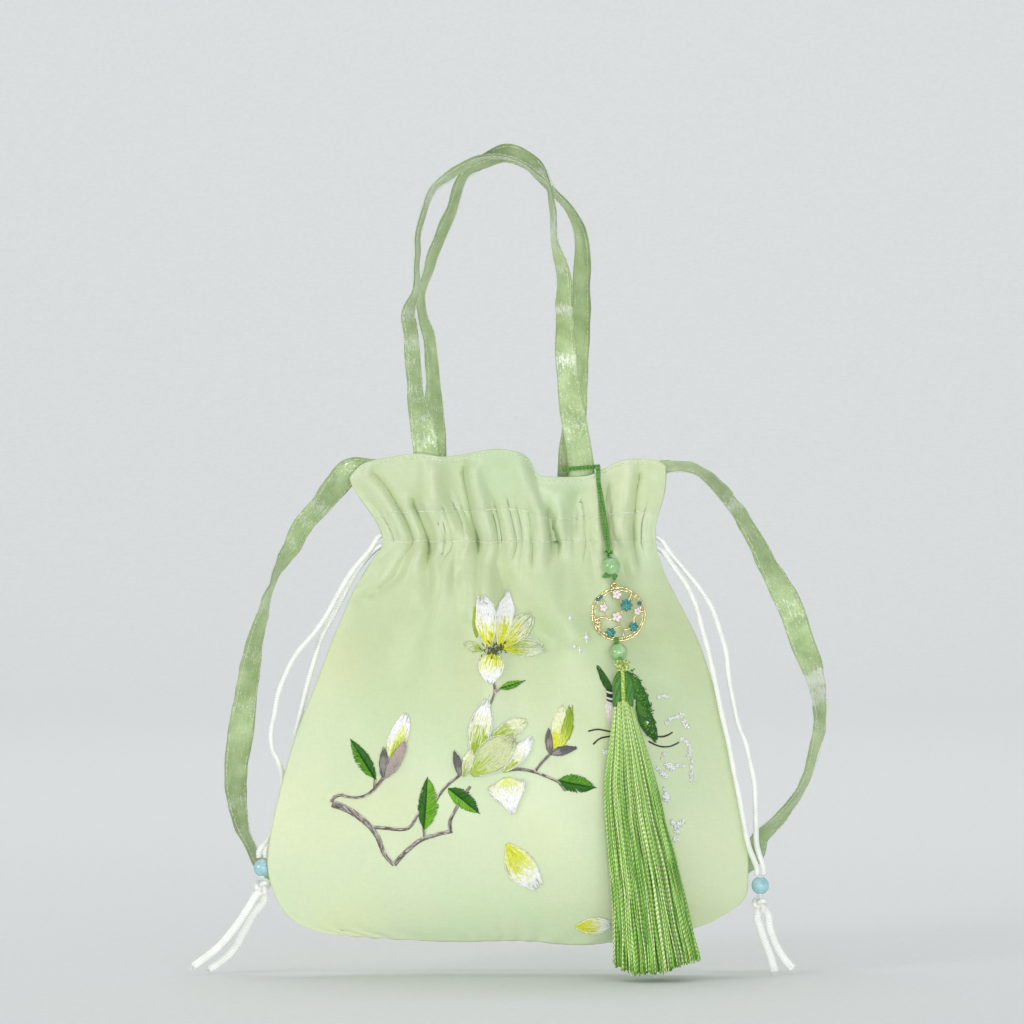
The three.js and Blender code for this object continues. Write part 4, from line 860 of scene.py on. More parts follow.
def many_threads(paths, up, width, height):
    """Arrays of many thin threads at once. paths and up are (threads, stations, 3)."""
    count, stations, _ = paths.shape
    sides = THREAD_SIDES
    t = tangents(paths)
    side = unit(np.cross(t, up))
    face = unit(np.cross(side, t))
    a = CIRCLE * np.arange(sides) / sides
    w = np.broadcast_to(width, (count, stations))[..., None, None] / 2
    h = np.broadcast_to(height, (count, stations))[..., None, None] / 2
    verts = (
        paths[:, :, None, :]
        + w * np.cos(a)[None, None, :, None] * side[:, :, None, :]
        + h * np.sin(a)[None, None, :, None] * face[:, :, None, :]
    )
    base = (np.arange(count) * stations * sides)[:, None, None]
    body = (ring_faces(stations, sides)[None] + base).reshape(-1, 4)
    caps = np.vstack([np.arange(sides)[::-1], (stations - 1) * sides + np.arange(sides)])
    caps = (caps[None] + base).reshape(-1, sides)
    step = np.linalg.norm(np.diff(paths, axis=1), axis=2)
    length = np.concatenate([np.zeros((count, 1)), np.cumsum(step, axis=1)], axis=1)
    # Each thread starts its twist at another place
    length = length + (np.arange(count) * 0.618 % 1)[:, None] * 10 * MM
    uv = np.stack(
        [
            np.broadcast_to(np.arange(sides) / sides, (count, stations, sides)),
            np.broadcast_to(length[..., None], (count, stations, sides)),
        ],
        axis=-1,
    )
    return verts.reshape(-1, 3), [np.vstack([body, caps])], uv.reshape(-1, 2)


def rope_arrays(path, radius, pitch):
    """Twisted cord: two plies wound round each other along a path."""
    t, wide, face = frames_along(path)
    length = run_along(path)
    parts = []
    for ply in (0, 0.5):
        a = CIRCLE * (length / pitch + ply)[:, None]
        way = path + 0.48 * radius * (np.cos(a) * wide + np.sin(a) * face)
        parts.append(tube_arrays(way, radius * 0.58, 7))
    return merge_arrays(parts)


def colour_points(piece, colours):
    """Stores one linear colour for each vertex of a piece, which its material reads; on the straps it holds
    painted glint in red and painted shade in green.
    """
    layer = piece.data.color_attributes.new("dye", "FLOAT_COLOR", "POINT")
    full = np.ones((len(colours), 4), np.float32)
    full[:, :3] = colours
    layer.data.foreach_set("color", full.ravel())


# Materials. The wave texture repeats every 0.31 / scale, so a pitch in metres asks for this scale.
WAVE_STEP = math.pi / 10


def add_node(material, kind, inputs=None, links=None, stops=(), **settings):
    """One shader node with its settings, fixed inputs, links from other nodes and colour stops."""
    made = material.node_tree.nodes.new(kind)
    for name, value in settings.items():
        setattr(made, name, value)
    for name, value in (inputs or {}).items():
        made.inputs[name].default_value = value
    for name, source in (links or {}).items():
        output = source.outputs[0] if isinstance(source, bpy.types.Node) else source
        material.node_tree.links.new(output, made.inputs[name])
    for k, (place, colour) in enumerate(stops):
        band = made.color_ramp.elements[k] if k < 2 else made.color_ramp.elements.new(place)
        band.position = place
        band.color = (*colour, 1)
    return made


def new_material(name):
    made = bpy.data.materials.new(name)
    made.use_nodes = True
    made.node_tree.nodes.clear()
    return made


def solid(colour):
    return (*colour, 1)


def grey(value):
    return (value, value, value)


def darker(colour, share):
    return tuple(v * share for v in colour)


def paler(colour, share):
    return tuple(v + (1 - v) * share for v in colour)


def chiffon_material(colours):
    """Plain-woven polyester chiffon laid over a satin lining"""
    # The crimped yarns scatter light softly, and the satin behind them gives slow clouds and a low sheen
    made = new_material("chiffon_over_satin")
    place = add_node(made, "ShaderNodeTexCoord").outputs["Object"]
    # Clouds about 55 mm across, where the lining lies close behind the chiffon or away from it
    clouds = add_node(
        made, "ShaderNodeTexNoise", {"Scale": 18, "Detail": 2.5, "Roughness": 0.5}, {"Vector": place}
    )
    tint = add_node(
        made,
        "ShaderNodeValToRGB",
        links={"Fac": clouds},
        stops=[(0.36, colours.cloth_mint), (0.64, colours.cloth_lemon), (0.5, colours.cloth)],
    )
    # Painted shade: toward the gathers the colour is darkened and turned more yellow-green, as the upper body
    # looks in shade
    height = add_node(made, "ShaderNodeSeparateXYZ", links={"Vector": place})
    climb = add_node(
        made, "ShaderNodeMapRange", {"From Min": -0.3, "From Max": -0.16}, {"Value": height.outputs["Z"]}
    )
    painted_upper_shade = add_node(
        made,
        "ShaderNodeValToRGB",
        links={"Fac": climb},
        stops=[(0.0, grey(1.0)), (1.0, (0.85, 0.87, 0.82)), (0.6, (0.81, 0.83, 0.72))],
    )
    tint_with_painted_shade = add_node(made, "ShaderNodeVectorMath", links={0: tint, 1: painted_upper_shade}, operation="MULTIPLY")
    # Slub yarns, drawn 0.9 mm apart where real chiffon has them 0.2 mm apart, across and along the cloth
    across = add_node(made, "ShaderNodeMapping", {"Scale": (0.22, 0.22, 1)}, {"Vector": place})
    upward = add_node(made, "ShaderNodeMapping", {"Scale": (1, 1, 0.22)}, {"Vector": place})
    weft = add_node(made, "ShaderNodeTexNoise", {"Scale": 1100, "Detail": 3}, {"Vector": across})
    warp = add_node(made, "ShaderNodeTexNoise", {"Scale": 1100, "Detail": 3}, {"Vector": upward})
    weave = add_node(made, "ShaderNodeMath", links={0: weft, 1: warp}, operation="ADD")
    shade = add_node(
        made, "ShaderNodeMapRange", {
            "From Min": 0.7, "From Max": 1.3, "To Min": 0.97, "To Max": 1.02
        }, {"Value": weave}
    )
    body = add_node(made, "ShaderNodeVectorMath", links={0: tint_with_painted_shade, 1: shade}, operation="MULTIPLY")
    # Shallow crumples 9 mm across that the body cloth keeps after sewing
    crumple = add_node(
        made, "ShaderNodeTexNoise", {"Scale": 85, "Detail": 3, "Roughness": 0.55}, {"Vector": place}
    )
    relief = add_node(made, "ShaderNodeBump", {"Strength": 0.3, "Distance": 0.9 * MM}, {"Height": crumple})
    fine = add_node(
        made, "ShaderNodeBump", {"Strength": 0.2, "Distance": 0.08 * MM}, {"Height": weave, "Normal": relief}
    )
    shader = add_node(
        made,
        "ShaderNodeBsdfPrincipled",
        {
            "Roughness": 0.4,
            "Specular IOR Level": 0.5,
            "Sheen Weight": 0.22,
            "Sheen Roughness": 0.4,
            "Sheen Tint": solid(linear("#f4fbe6")),
        },
        {"Base Color": body, "Normal": fine},
    )
    add_node(made, "ShaderNodeOutputMaterial", links={"Surface": shader})
    return made


def organza_material(colours):
    """Organza ribbon of flat filament yarn, calendered"""
    # Painted glints: the flattened yarns are painted white in short streaks where the strap turns to the
    # light
    made = new_material("shot_organza")
    run = add_node(made, "ShaderNodeUVMap", uv_map="along").outputs["UV"]
    flat = add_node(made, "ShaderNodeMapping", {"Scale": (0.012, 1, 1)}, {"Vector": run})
    # Painted shade: random clouds along the strap mix the strap colour with its shaded copy
    clouds = add_node(made, "ShaderNodeTexNoise", {"Scale": 90, "Detail": 3}, {"Vector": flat})
    tint = add_node(
        made,
        "ShaderNodeValToRGB",
        links={"Fac": clouds},
        stops=[(0.34, colours.strap_painted_shade), (0.66, colours.strap)],
    )
    # Yarn streaks 1 mm wide and 3 mm long, drawn coarser than the 0.1 mm filaments so that they show
    long_way = add_node(made, "ShaderNodeMapping", {"Scale": (1, 0.36, 1)}, {"Vector": flat})
    streaks = add_node(
        made, "ShaderNodeTexNoise", {"Scale": 950, "Detail": 4, "Roughness": 0.65}, {"Vector": long_way}
    )
    sparks = add_node(
        made, "ShaderNodeTexNoise", {"Scale": 1500, "Detail": 3, "Roughness": 0.7}, {"Vector": flat}
    )
    # On the straps the dye attribute holds no dye: its red is the painted glint and its green the painted
    # shade
    dye = add_node(made, "ShaderNodeVertexColor", layer_name="dye")
    glint = add_node(made, "ShaderNodeSeparateColor", links={"Color": dye})
    # The stronger the painted glint at a place, the more streaks and sparks pass the threshold and are
    # painted white
    mixed = add_node(made, "ShaderNodeMath", links={0: streaks, 1: sparks}, operation="ADD")
    lifted = add_node(
        made, "ShaderNodeMath", {1: 0.5}, {0: glint.outputs[0], 2: mixed}, operation="MULTIPLY_ADD"
    )
    amount = add_node(
        made, "ShaderNodeMapRange", {"From Min": 1.14, "From Max": 1.3, "To Max": 0.9}, {"Value": lifted}
    )
    lit = add_node(
        made,
        "ShaderNodeMixRGB",
        {"Color2": solid(colours.strap_painted_glint)},
        {"Fac": amount, "Color1": tint},
    )
    # Painted shade: the green of that attribute darkens the strap's colour
    body = add_node(made, "ShaderNodeVectorMath", links={0: lit, 1: glint.outputs[1]}, operation="MULTIPLY")
    rough = add_node(made, "ShaderNodeMapRange", {"To Min": 0.42, "To Max": 0.2}, {"Value": amount})
    crinkle = add_node(
        made, "ShaderNodeTexNoise", {"Scale": 320, "Detail": 4, "Roughness": 0.65}, {"Vector": long_way}
    )
    relief = add_node(made, "ShaderNodeBump", {"Strength": 0.7, "Distance": 0.6 * MM}, {"Height": crinkle})
    fine = add_node(
        made,
        "ShaderNodeBump",
        {"Strength": 0.5, "Distance": 0.15 * MM},
        {"Height": streaks, "Normal": relief},
    )
    shader = add_node(
        made,
        "ShaderNodeBsdfPrincipled",
        {"Metallic": 0.08, "Specular IOR Level": 0.6, "Sheen Weight": 0.25, "Sheen Roughness": 0.35},
        {"Base Color": body, "Roughness": rough, "Normal": fine},
    )
    add_node(made, "ShaderNodeOutputMaterial", links={"Surface": shader})
    return made


def rattail_material(colours):
    """Satin rattail cord, floss braided over a cotton core"""
    # Fine slanting ribs cross it and it shines softly along its length
    made = new_material("satin_rattail")
    run = add_node(made, "ShaderNodeUVMap", uv_map="along").outputs["UV"]
    flat = add_node(made, "ShaderNodeMapping", {"Scale": (0.0025, 1, 1)}, {"Vector": run})
    # Ribs 0.6 mm apart
    ribs = add_node(
        made,
        "ShaderNodeTexWave",
        {"Scale": WAVE_STEP / (0.6 * MM), "Distortion": 0.6, "Detail": 1},
        {"Vector": flat},
        bands_direction="DIAGONAL",
    )
    soil = add_node(made, "ShaderNodeTexNoise", {"Scale": 140, "Detail": 3}, {"Vector": flat})
    # Painted shade: the ribs are painted darker in their grooves; the soil noise adds random tone
    both = add_node(made, "ShaderNodeMath", {1: 0.35}, {0: ribs, 2: soil}, operation="MULTIPLY_ADD")
    tint = add_node(
        made,
        "ShaderNodeValToRGB",
        links={"Fac": both},
        stops=[(0.35, darker(colours.cord, 0.84)), (0.75, colours.cord)],
    )
    relief = add_node(made, "ShaderNodeBump", {"Strength": 0.5, "Distance": 0.1 * MM}, {"Height": ribs})
    shader = add_node(
        made,
        "ShaderNodeBsdfPrincipled",
        {"Roughness": 0.4, "Specular IOR Level": 0.5, "Sheen Weight": 0.3, "Sheen Roughness": 0.35},
        {"Base Color": tint, "Normal": relief},
    )
    add_node(made, "ShaderNodeOutputMaterial", links={"Surface": shader})
    return made


def floss_material(name, colour, pitch, roughness=0.36, depth=0.72):
    """Twisted floss of two bright plies"""
    # The plies wind round each other; the colour is painted darker in the grooves between them and paler on
    # them, painted shade and painted highlight that follow each other along the thread. depth sets how dark
    # the painted shade is.
    made = new_material(name)
    run = add_node(made, "ShaderNodeUVMap", uv_map="along").outputs["UV"]
    turned = add_node(made, "ShaderNodeMapping", {"Scale": (pitch * 0.7, 1, 1)}, {"Vector": run})
    ply = add_node(
        made,
        "ShaderNodeTexWave",
        {"Scale": WAVE_STEP / pitch, "Distortion": 0.8, "Detail": 1},
        {"Vector": turned},
        bands_direction="DIAGONAL",
    )
    tint = add_node(
        made,
        "ShaderNodeValToRGB",
        links={"Fac": ply},
        stops=[(0.15, darker(colour, depth)), (0.7, paler(colour, 0.06))],
    )
    relief = add_node(made, "ShaderNodeBump", {"Strength": 0.5, "Distance": 0.1 * MM}, {"Height": ply})
    shader = add_node(
        made,
        "ShaderNodeBsdfPrincipled",
        {"Roughness": roughness, "Specular IOR Level": 0.45, "Sheen Weight": 0.08, "Sheen Roughness": 0.3},
        {"Base Color": tint, "Normal": relief},
    )
    add_node(made, "ShaderNodeOutputMaterial", links={"Surface": shader})
    return made


def dyed_material(name, pitch, roughness, contrast):
    """Rayon floss, space dyed: each thread carries its own colour"""
    # Bright filament gives a narrow gloss along each thread; the colour is painted darker between its plies
    # and a little paler on them, painted shade and painted highlight
    made = new_material(name)
    # The per-point colour; on the tassel it also holds painted highlight and painted shade
    dye = add_node(made, "ShaderNodeVertexColor", layer_name="dye")
    run = add_node(made, "ShaderNodeUVMap", uv_map="along").outputs["UV"]
    turned = add_node(made, "ShaderNodeMapping", {"Scale": (pitch * 0.8, 1, 1)}, {"Vector": run})
    ply = add_node(
        made,
        "ShaderNodeTexWave",
        {"Scale": WAVE_STEP / pitch, "Distortion": 1.2, "Detail": 1},
        {"Vector": turned},
        bands_direction="DIAGONAL",
    )
    shade = add_node(
        made, "ShaderNodeMapRange", {"To Min": 1 - contrast, "To Max": 1 + 0.3 * contrast}, {"Value": ply}
    )
    body = add_node(made, "ShaderNodeVectorMath", links={0: dye, 1: shade}, operation="MULTIPLY")
    relief = add_node(made, "ShaderNodeBump", {"Strength": 0.5, "Distance": 0.1 * MM}, {"Height": ply})
    shader = add_node(
        made,
        "ShaderNodeBsdfPrincipled",
        {"Roughness": roughness, "Specular IOR Level": 0.4, "Sheen Weight": 0.05, "Sheen Roughness": 0.3},
        {"Base Color": body, "Normal": relief},
    )
    add_node(made, "ShaderNodeOutputMaterial", links={"Surface": shader})
    return made


def glass_bead_material(name, colour, milky, cloudy):
    """Pressed glass, fire polished"""
    # A hard gloss over a cloudy body with faint veins
    made = new_material(name)
    place = add_node(made, "ShaderNodeTexCoord").outputs["Object"]
    veins = add_node(
        made, "ShaderNodeTexNoise", {"Scale": 260, "Detail": 3, "Roughness": 0.6}, {"Vector": place}
    )
    tint = add_node(
        made,
        "ShaderNodeValToRGB",
        links={"Fac": veins},
        stops=[(0.3, darker(colour, 0.84)), (0.7, paler(colour, milky)), (0.5, colour)],
    )
    relief = add_node(made, "ShaderNodeBump", {"Strength": 0.05, "Distance": 0.1 * MM}, {"Height": veins})
    shader = add_node(
        made,
        "ShaderNodeBsdfPrincipled",
        {
            "Roughness": 0.12,
            "IOR": 1.52,
            "Coat Weight": 0.7,
            "Coat Roughness": 0.03,
            "Subsurface Weight": cloudy,
            "Subsurface Scale": 2 * MM,
        },
        {"Base Color": tint, "Normal": relief},
    )
    add_node(made, "ShaderNodeOutputMaterial", links={"Surface": shader})
    return made


def gold_material(colours):
    """Cast brass, tumbled and gold plated"""
    # Sharp highlights, with casting ripple left in the hollows; the colour is painted darker in the ripple's
    # hollows, a painted shade
    made = new_material("gold_plate")
    place = add_node(made, "ShaderNodeTexCoord").outputs["Object"]
    ripple = add_node(made, "ShaderNodeTexNoise", {"Scale": 700, "Detail": 3}, {"Vector": place})
    tint = add_node(
        made,
        "ShaderNodeValToRGB",
        links={"Fac": ripple},
        stops=[(0.34, darker(colours.gold, 0.72)), (0.6, colours.gold)],
    )
    rough = add_node(made, "ShaderNodeMapRange", {"To Min": 0.34, "To Max": 0.16}, {"Value": ripple})
    relief = add_node(made, "ShaderNodeBump", {"Strength": 0.35, "Distance": 0.12 * MM}, {"Height": ripple})
    shader = add_node(
        made,
        "ShaderNodeBsdfPrincipled",
        {"Metallic": 1.0},
        {"Base Color": tint, "Roughness": rough, "Normal": relief},
    )
    add_node(made, "ShaderNodeOutputMaterial", links={"Surface": shader})
    return made


def enamel_material(name, colour, deep):
    """Stove enamel poured into cast cells"""
    # Glassy and a little domed, deeper in colour where it pools
    made = new_material(name)
    place = add_node(made, "ShaderNodeTexCoord").outputs["Object"]
    pool = add_node(made, "ShaderNodeTexNoise", {"Scale": 1100, "Detail": 3}, {"Vector": place})
    tint = add_node(
        made,
        "ShaderNodeValToRGB",
        links={"Fac": pool},
        stops=[(0.32, darker(colour, deep)), (0.75, paler(colour, 0.12)), (0.5, colour)],
    )
    relief = add_node(made, "ShaderNodeBump", {"Strength": 0.2, "Distance": 0.08 * MM}, {"Height": pool})
    shader = add_node(
        made,
        "ShaderNodeBsdfPrincipled",
        {"Roughness": 0.16, "Coat Weight": 0.8, "Coat Roughness": 0.05},
        {"Base Color": tint, "Normal": relief},
    )
    add_node(made, "ShaderNodeOutputMaterial", links={"Surface": shader})
    return made


def paper_material():
    """Matt background paper, calendered"""
    # Even and pale, with a faint tooth
    made = new_material("matt_paper")
    place = add_node(made, "ShaderNodeTexCoord").outputs["Object"]
    tooth = add_node(made, "ShaderNodeTexNoise", {"Scale": 250, "Detail": 3}, {"Vector": place})
    tint = add_node(
        made,
        "ShaderNodeValToRGB",
        links={"Fac": tooth},
        stops=[(0.3, linear("#e4e6e6")), (0.7, linear("#e8eaea"))],
    )
    relief = add_node(made, "ShaderNodeBump", {"Strength": 0.1, "Distance": 0.2 * MM}, {"Height": tooth})
    shader = add_node(
        made,
        "ShaderNodeBsdfPrincipled",
        {"Roughness": 0.8, "Specular IOR Level": 0.2},
        {"Base Color": tint, "Normal": relief},
    )
    add_node(made, "ShaderNodeOutputMaterial", links={"Surface": shader})
    return made


def cached(name, maker, *values):
    """The material of that name, made the first time it is asked for."""
    return bpy.data.materials.get(name) or maker(*values)


def satin_rattail(colours):
    return cached("satin_rattail", rattail_material, colours)


def gold_plate(colours):
    return cached("gold_plate", gold_material, colours)


def green_floss(colours):
    return cached("green_floss", floss_material, "green_floss", tuple(colours.charm_green), 1.1 * MM)


# Places shared by several pieces
def sizes_of(context):
    return context.scene.purse_sizes


def colours_of(context):
    return context.scene.purse_colours


def lowered(points, bag):
    """Moves heights counted from the bottom seam into the row frame, whose origin is the hang point."""
    out = np.array(points, float)
    out[..., 2] -= bag.hang
    return out


def centre_of(node):
    """Middle of a node's box, in the row frame."""
    low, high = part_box(node)
    return (np.array(low) + np.array(high)) / 2


def settle(piece, nodes, slot):
    """Says which body carries the piece and which nodes it stands for. The slot is not used."""
    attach(piece, "root")
    if nodes:
        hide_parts(*nodes)
    return piece


def run_points(bag, side, table):
    """Points of a drawcord, from a table that counts from the bag's side edge."""
    z = table["up"] * bag.height
    x = side * (bag.side_edge(side, z) + table["out_mm"] * MM)
    return np.stack([x, table["y_mm"] * MM, z], axis=1)


def bead_places(bag):
    """Middle of each stopper bead, with heights from the bottom seam."""
    left_z = 33.3 * MM
    right_z = 25.7 * MM
    left = np.array([-(float(bag.side_edge(-1, left_z)) + 2.8 * MM), 3.4 * MM, left_z])
    right = np.array([float(bag.side_edge(1, right_z)) + 5.6 * MM, -1.4 * MM, right_z])
    return {"left": left, "right": right}


class PURSE_OT_stage(bpy.types.Operator):
    """Paper sweep, soft lights and the camera at the height of a table-top photograph"""

    bl_idname = "purse.stage"
    bl_label = "Stage"

    def execute(self, context):
        scene = context.scene
        floor_z = CAD_BOX[0][2] - 1.0 * MM
        # The paper lies flat, then curves up behind the purse, beyond the place of a camera at the back
        turn = 1.4
        a = np.linspace(0, np.pi / 2, 41)
        y = np.concatenate([[-7.0, -2.0, 0.0], 2.0 + turn * np.sin(a), [2.0 + turn]])
        z = floor_z + np.concatenate([[0, 0, 0], turn - turn * np.cos(a), [6.0]])
        left = np.stack([np.full(len(y), -8.0), y, z], axis=1)
        right = left * np.array([-1, 1, 1])
        n = len(y)
        k = np.arange(n - 1)
        quads = np.stack([k, k + n, k + n + 1, k + 1], axis=1)
        paper = mesh_object("paper_sweep", np.vstack([left, right]), [quads], materials=[paper_material()])
        world = bpy.data.worlds.new("studio")
        world.use_nodes = True
        sky = world.node_tree.nodes["Background"]
        sky.inputs["Color"].default_value = solid(linear("#f3f6f8"))
        sky.inputs["Strength"].default_value = 0.6
        scene.world = world
        self.lamp("key", (-2.05, -1.5, 0.35), 0.55, 13.5, "#fffdf8", (0, 0, -0.22))
        self.lamp("fill", (1.1, -2.3, -0.15), 1.0, 10.5, "#f3f8ff", (0, 0, -0.26))
        self.lamp("table", (0.1, -1.5, -0.28), 0.45, 7.5, "#fffefa", (0, 0, -0.42))
        self.lamp("top", (0.2, 0.4, 1.6), 1.2, 2, "#ffffff", (0, 0, -0.2))
        self.lamp("wash", (0.0, 0.9, 2.3), 2.2, 27, "#ffffff", (0, 3.1, 0.2))
        self.camera(scene)
        scene.view_settings.view_transform = "Standard"
        return {"FINISHED"}

    def lamp(self, name, place, size, watts, tint, aim):
        data = bpy.data.lights.new(name, "AREA")
        data.shape = "DISK"
        data.size = size
        data.energy = watts
        data.color = linear(tint)
        lamp = bpy.data.objects.new(name, data)
        lamp.location = place
        way = Vector(aim) - Vector(place)
        lamp.rotation_euler = way.to_track_quat("-Z", "Y").to_euler()
        bpy.context.scene.collection.objects.link(lamp)

    def camera(self, scene):
        # The frame is 461 mm wide at the bag, seen from 2.6 m away and 1.5 degrees above
        distance = 2.6
        frame_width = 460.8 * MM
        elevation = math.radians(1.5)
        aim = Vector((1.8 * MM, 0, -159 * MM))
        data = bpy.data.cameras.new("camera")
        data.sensor_fit = "HORIZONTAL"
        data.sensor_width = 36
        data.lens = 36 * distance / frame_width
        data.clip_start = 0.1
        data.clip_end = 60
        camera = bpy.data.objects.new("camera", data)
        camera.location = aim + Vector((0, -math.cos(elevation), math.sin(elevation))) * distance
        camera.rotation_euler = (aim - camera.location).to_track_quat("-Z", "Y").to_euler()
        scene.collection.objects.link(camera)
        scene.camera = camera


class PURSE_OT_stoppers(bpy.types.Operator):
    """Blue stopper beads with a tied knot below each"""

    bl_idname = "purse.stoppers"
    bl_label = "Stopper beads and knots"

    def execute(self, context):
        sizes = sizes_of(context)
        colours = colours_of(context)
        bag = Bag(sizes)
        radius = sizes.bead_diameter / 2
        blue = cached(
            "pressed_blue", glass_bead_material, "pressed_blue", tuple(colours.bead_blue), 0.25, 0.12
        )
        satin = satin_rattail(colours)
        for side, place in bead_places(bag).items():
            bead = bead_object(f"stopper_bead_{side}", radius, CORD_HOLE, lowered(place, bag), blue)
            settle(bead, [f"blue_bead_{side}"], "blue_glass")
            below = np.array([0, 0, radius + CLEAR + 4.4 * MM])
            knot = moved(knot_arrays(sizes.cord_diameter * 0.46, 2.35 * MM), place - below)
            rises = np.linspace(-radius - 1 * MM, radius - 0.2 * MM, 8)
            stem = tube_arrays(np.stack([place + np.array([0, 0, rise]) for rise in rises]), 1.25 * MM, 12)
            verts, faces, uv = merge_arrays([knot, stem])
            piece = mesh_object(f"tied_knot_{side}", lowered(verts, bag), faces, uv, [satin])
            settle(piece, [f"cord_knot_{side}"], "white_satin")
        return {"FINISHED"}


def bead_object(name, radius, hole, centre, material, axis=(0, 0, 1)):
    """A drilled bead with softly rounded hole rims, turned so that its hole lies along the axis."""
    lip = math.acos(hole / radius)
    angles = np.linspace(-lip, lip, 29)
    profile = [(radius * math.cos(a), radius * math.sin(a)) for a in angles]
    inner = np.linspace(profile[-1][1], profile[0][1], 9)[1:-1]
    profile += [(hole * 0.97, z) for z in inner]
    around = 40
    a = CIRCLE * np.arange(around) / around
    verts = np.array([[(r * math.cos(t), r * math.sin(t), z) for t in a] for r, z in profile])
    faces = ring_faces(len(profile), around, closed=True)
    turn = Vector((0, 0, 1)).rotation_difference(Vector(axis)).to_matrix()
    verts = verts.reshape(-1, 3) @ np.array(turn).T + np.asarray(centre)
    return mesh_object(name, verts, [faces], materials=[material])


def knot_arrays(radius, spread):
    """A simple overhand knot: one cord wound three times over and under itself."""
    t = np.linspace(0, CIRCLE, 97)[:-1]
    path = np.stack(
        [
            spread * 0.42 * (np.sin(t) + 2 * np.sin(2 * t)),
            spread * 0.9 * np.sin(3 * t),
            spread * 0.42 * (np.cos(t) - 2 * np.cos(2 * t)),
        ],
        axis=1,
    )
    return tube_arrays(path, radius, 10, closed=True)


class PURSE_OT_drawcords(bpy.types.Operator):
    """Two satin cords that leave each end of the casing and run to the stopper bead"""

    bl_idname = "purse.drawcords"
    bl_label = "Drawcords"

    def execute(self, context):
        sizes = sizes_of(context)
        bag = Bag(sizes)
        radius = sizes.cord_diameter / 2
        material = satin_rattail(colours_of(context))
        places = bead_places(bag)
        apart = radius + 0.25 * MM
        runs = [
            ("left_1", -1, LEFT_RUN_1, -1),
            ("left_2", -1, LEFT_RUN_2, 1),
            ("right_1", 1, RIGHT_RUN_1, 1),
            ("right_2", 1, RIGHT_RUN_2, -1),
        ]
        for name, side, table, lane in runs:
            side_name = name.split("_")[0]
            bead = places[side_name]
            end = bead + np.array([lane * apart, 0, sizes.bead_diameter / 2 + 0.3 * MM + 0.2 * radius])
            points = np.vstack([run_points(bag, side, table), end + np.array([0, 0, 3 * MM]), end])
            path = lowered(even_curve(points, 150), bag)
            piece = mesh_object(f"rattail_{name}", *tube_arrays(path, radius, 14), [material])
            settle(piece, [f"drawcord_{name}"], "white_satin")
        self.tails(context, bag, material, places)
        return {"FINISHED"}

    def tails(self, context, bag, material, places):
        """Flattened and frayed ends of the cord below each knot."""
        sizes = sizes_of(context)
        radius = sizes.cord_diameter / 2
        knot_radius = 4 * MM
        for side, table in (("left", LEFT_TAILS), ("right", RIGHT_TAILS)):
            knot = places[side] - np.array([0, 0, sizes.bead_diameter / 2 + 0.3 * MM + knot_radius * 1.1])
            for k, tail in enumerate(table):
                way = unit(np.array(tail[0]))
                start = [knot + way * knot_radius * 0.1, knot + way * (knot_radius * 1.08 + 1.9 * MM)]
                points = np.array(start + [knot + np.array(p) * MM for p in tail[1:]])
                path = lowered(even_curve(points, 60), bag)
                tail_arrays = merge_arrays(
                    [tube_arrays(path, radius * 1.4, 16, flat=0.42), self.frayed_end(path, radius)]
                )
                piece = mesh_object(f"cut_tail_{side}_{k + 1}", *tail_arrays, [material])
                settle(piece, [f"cord_tail_{side}_{k + 1}"], "white_satin")

    def frayed_end(self, path, radius):
        """A few loose filaments at the cut end."""
        draw = np.random.default_rng(11)
        way = unit(path[-1] - path[-3])
        parts = []
        for _ in range(26):
            spread = draw.normal(0, 0.3, 3)
            start = path[-1] - way * 1.2 * MM + draw.uniform(-0.8, 0.8, 3) * radius * 0.8
            reach = draw.uniform(1.2, 2.8) * MM
            points = np.array([start, start + way * reach * 0.5, start + (way + spread) * reach])
            parts.append(tube_arrays(smooth_curve(points, 5), 0.12 * MM, 5))
        return merge_arrays(parts)


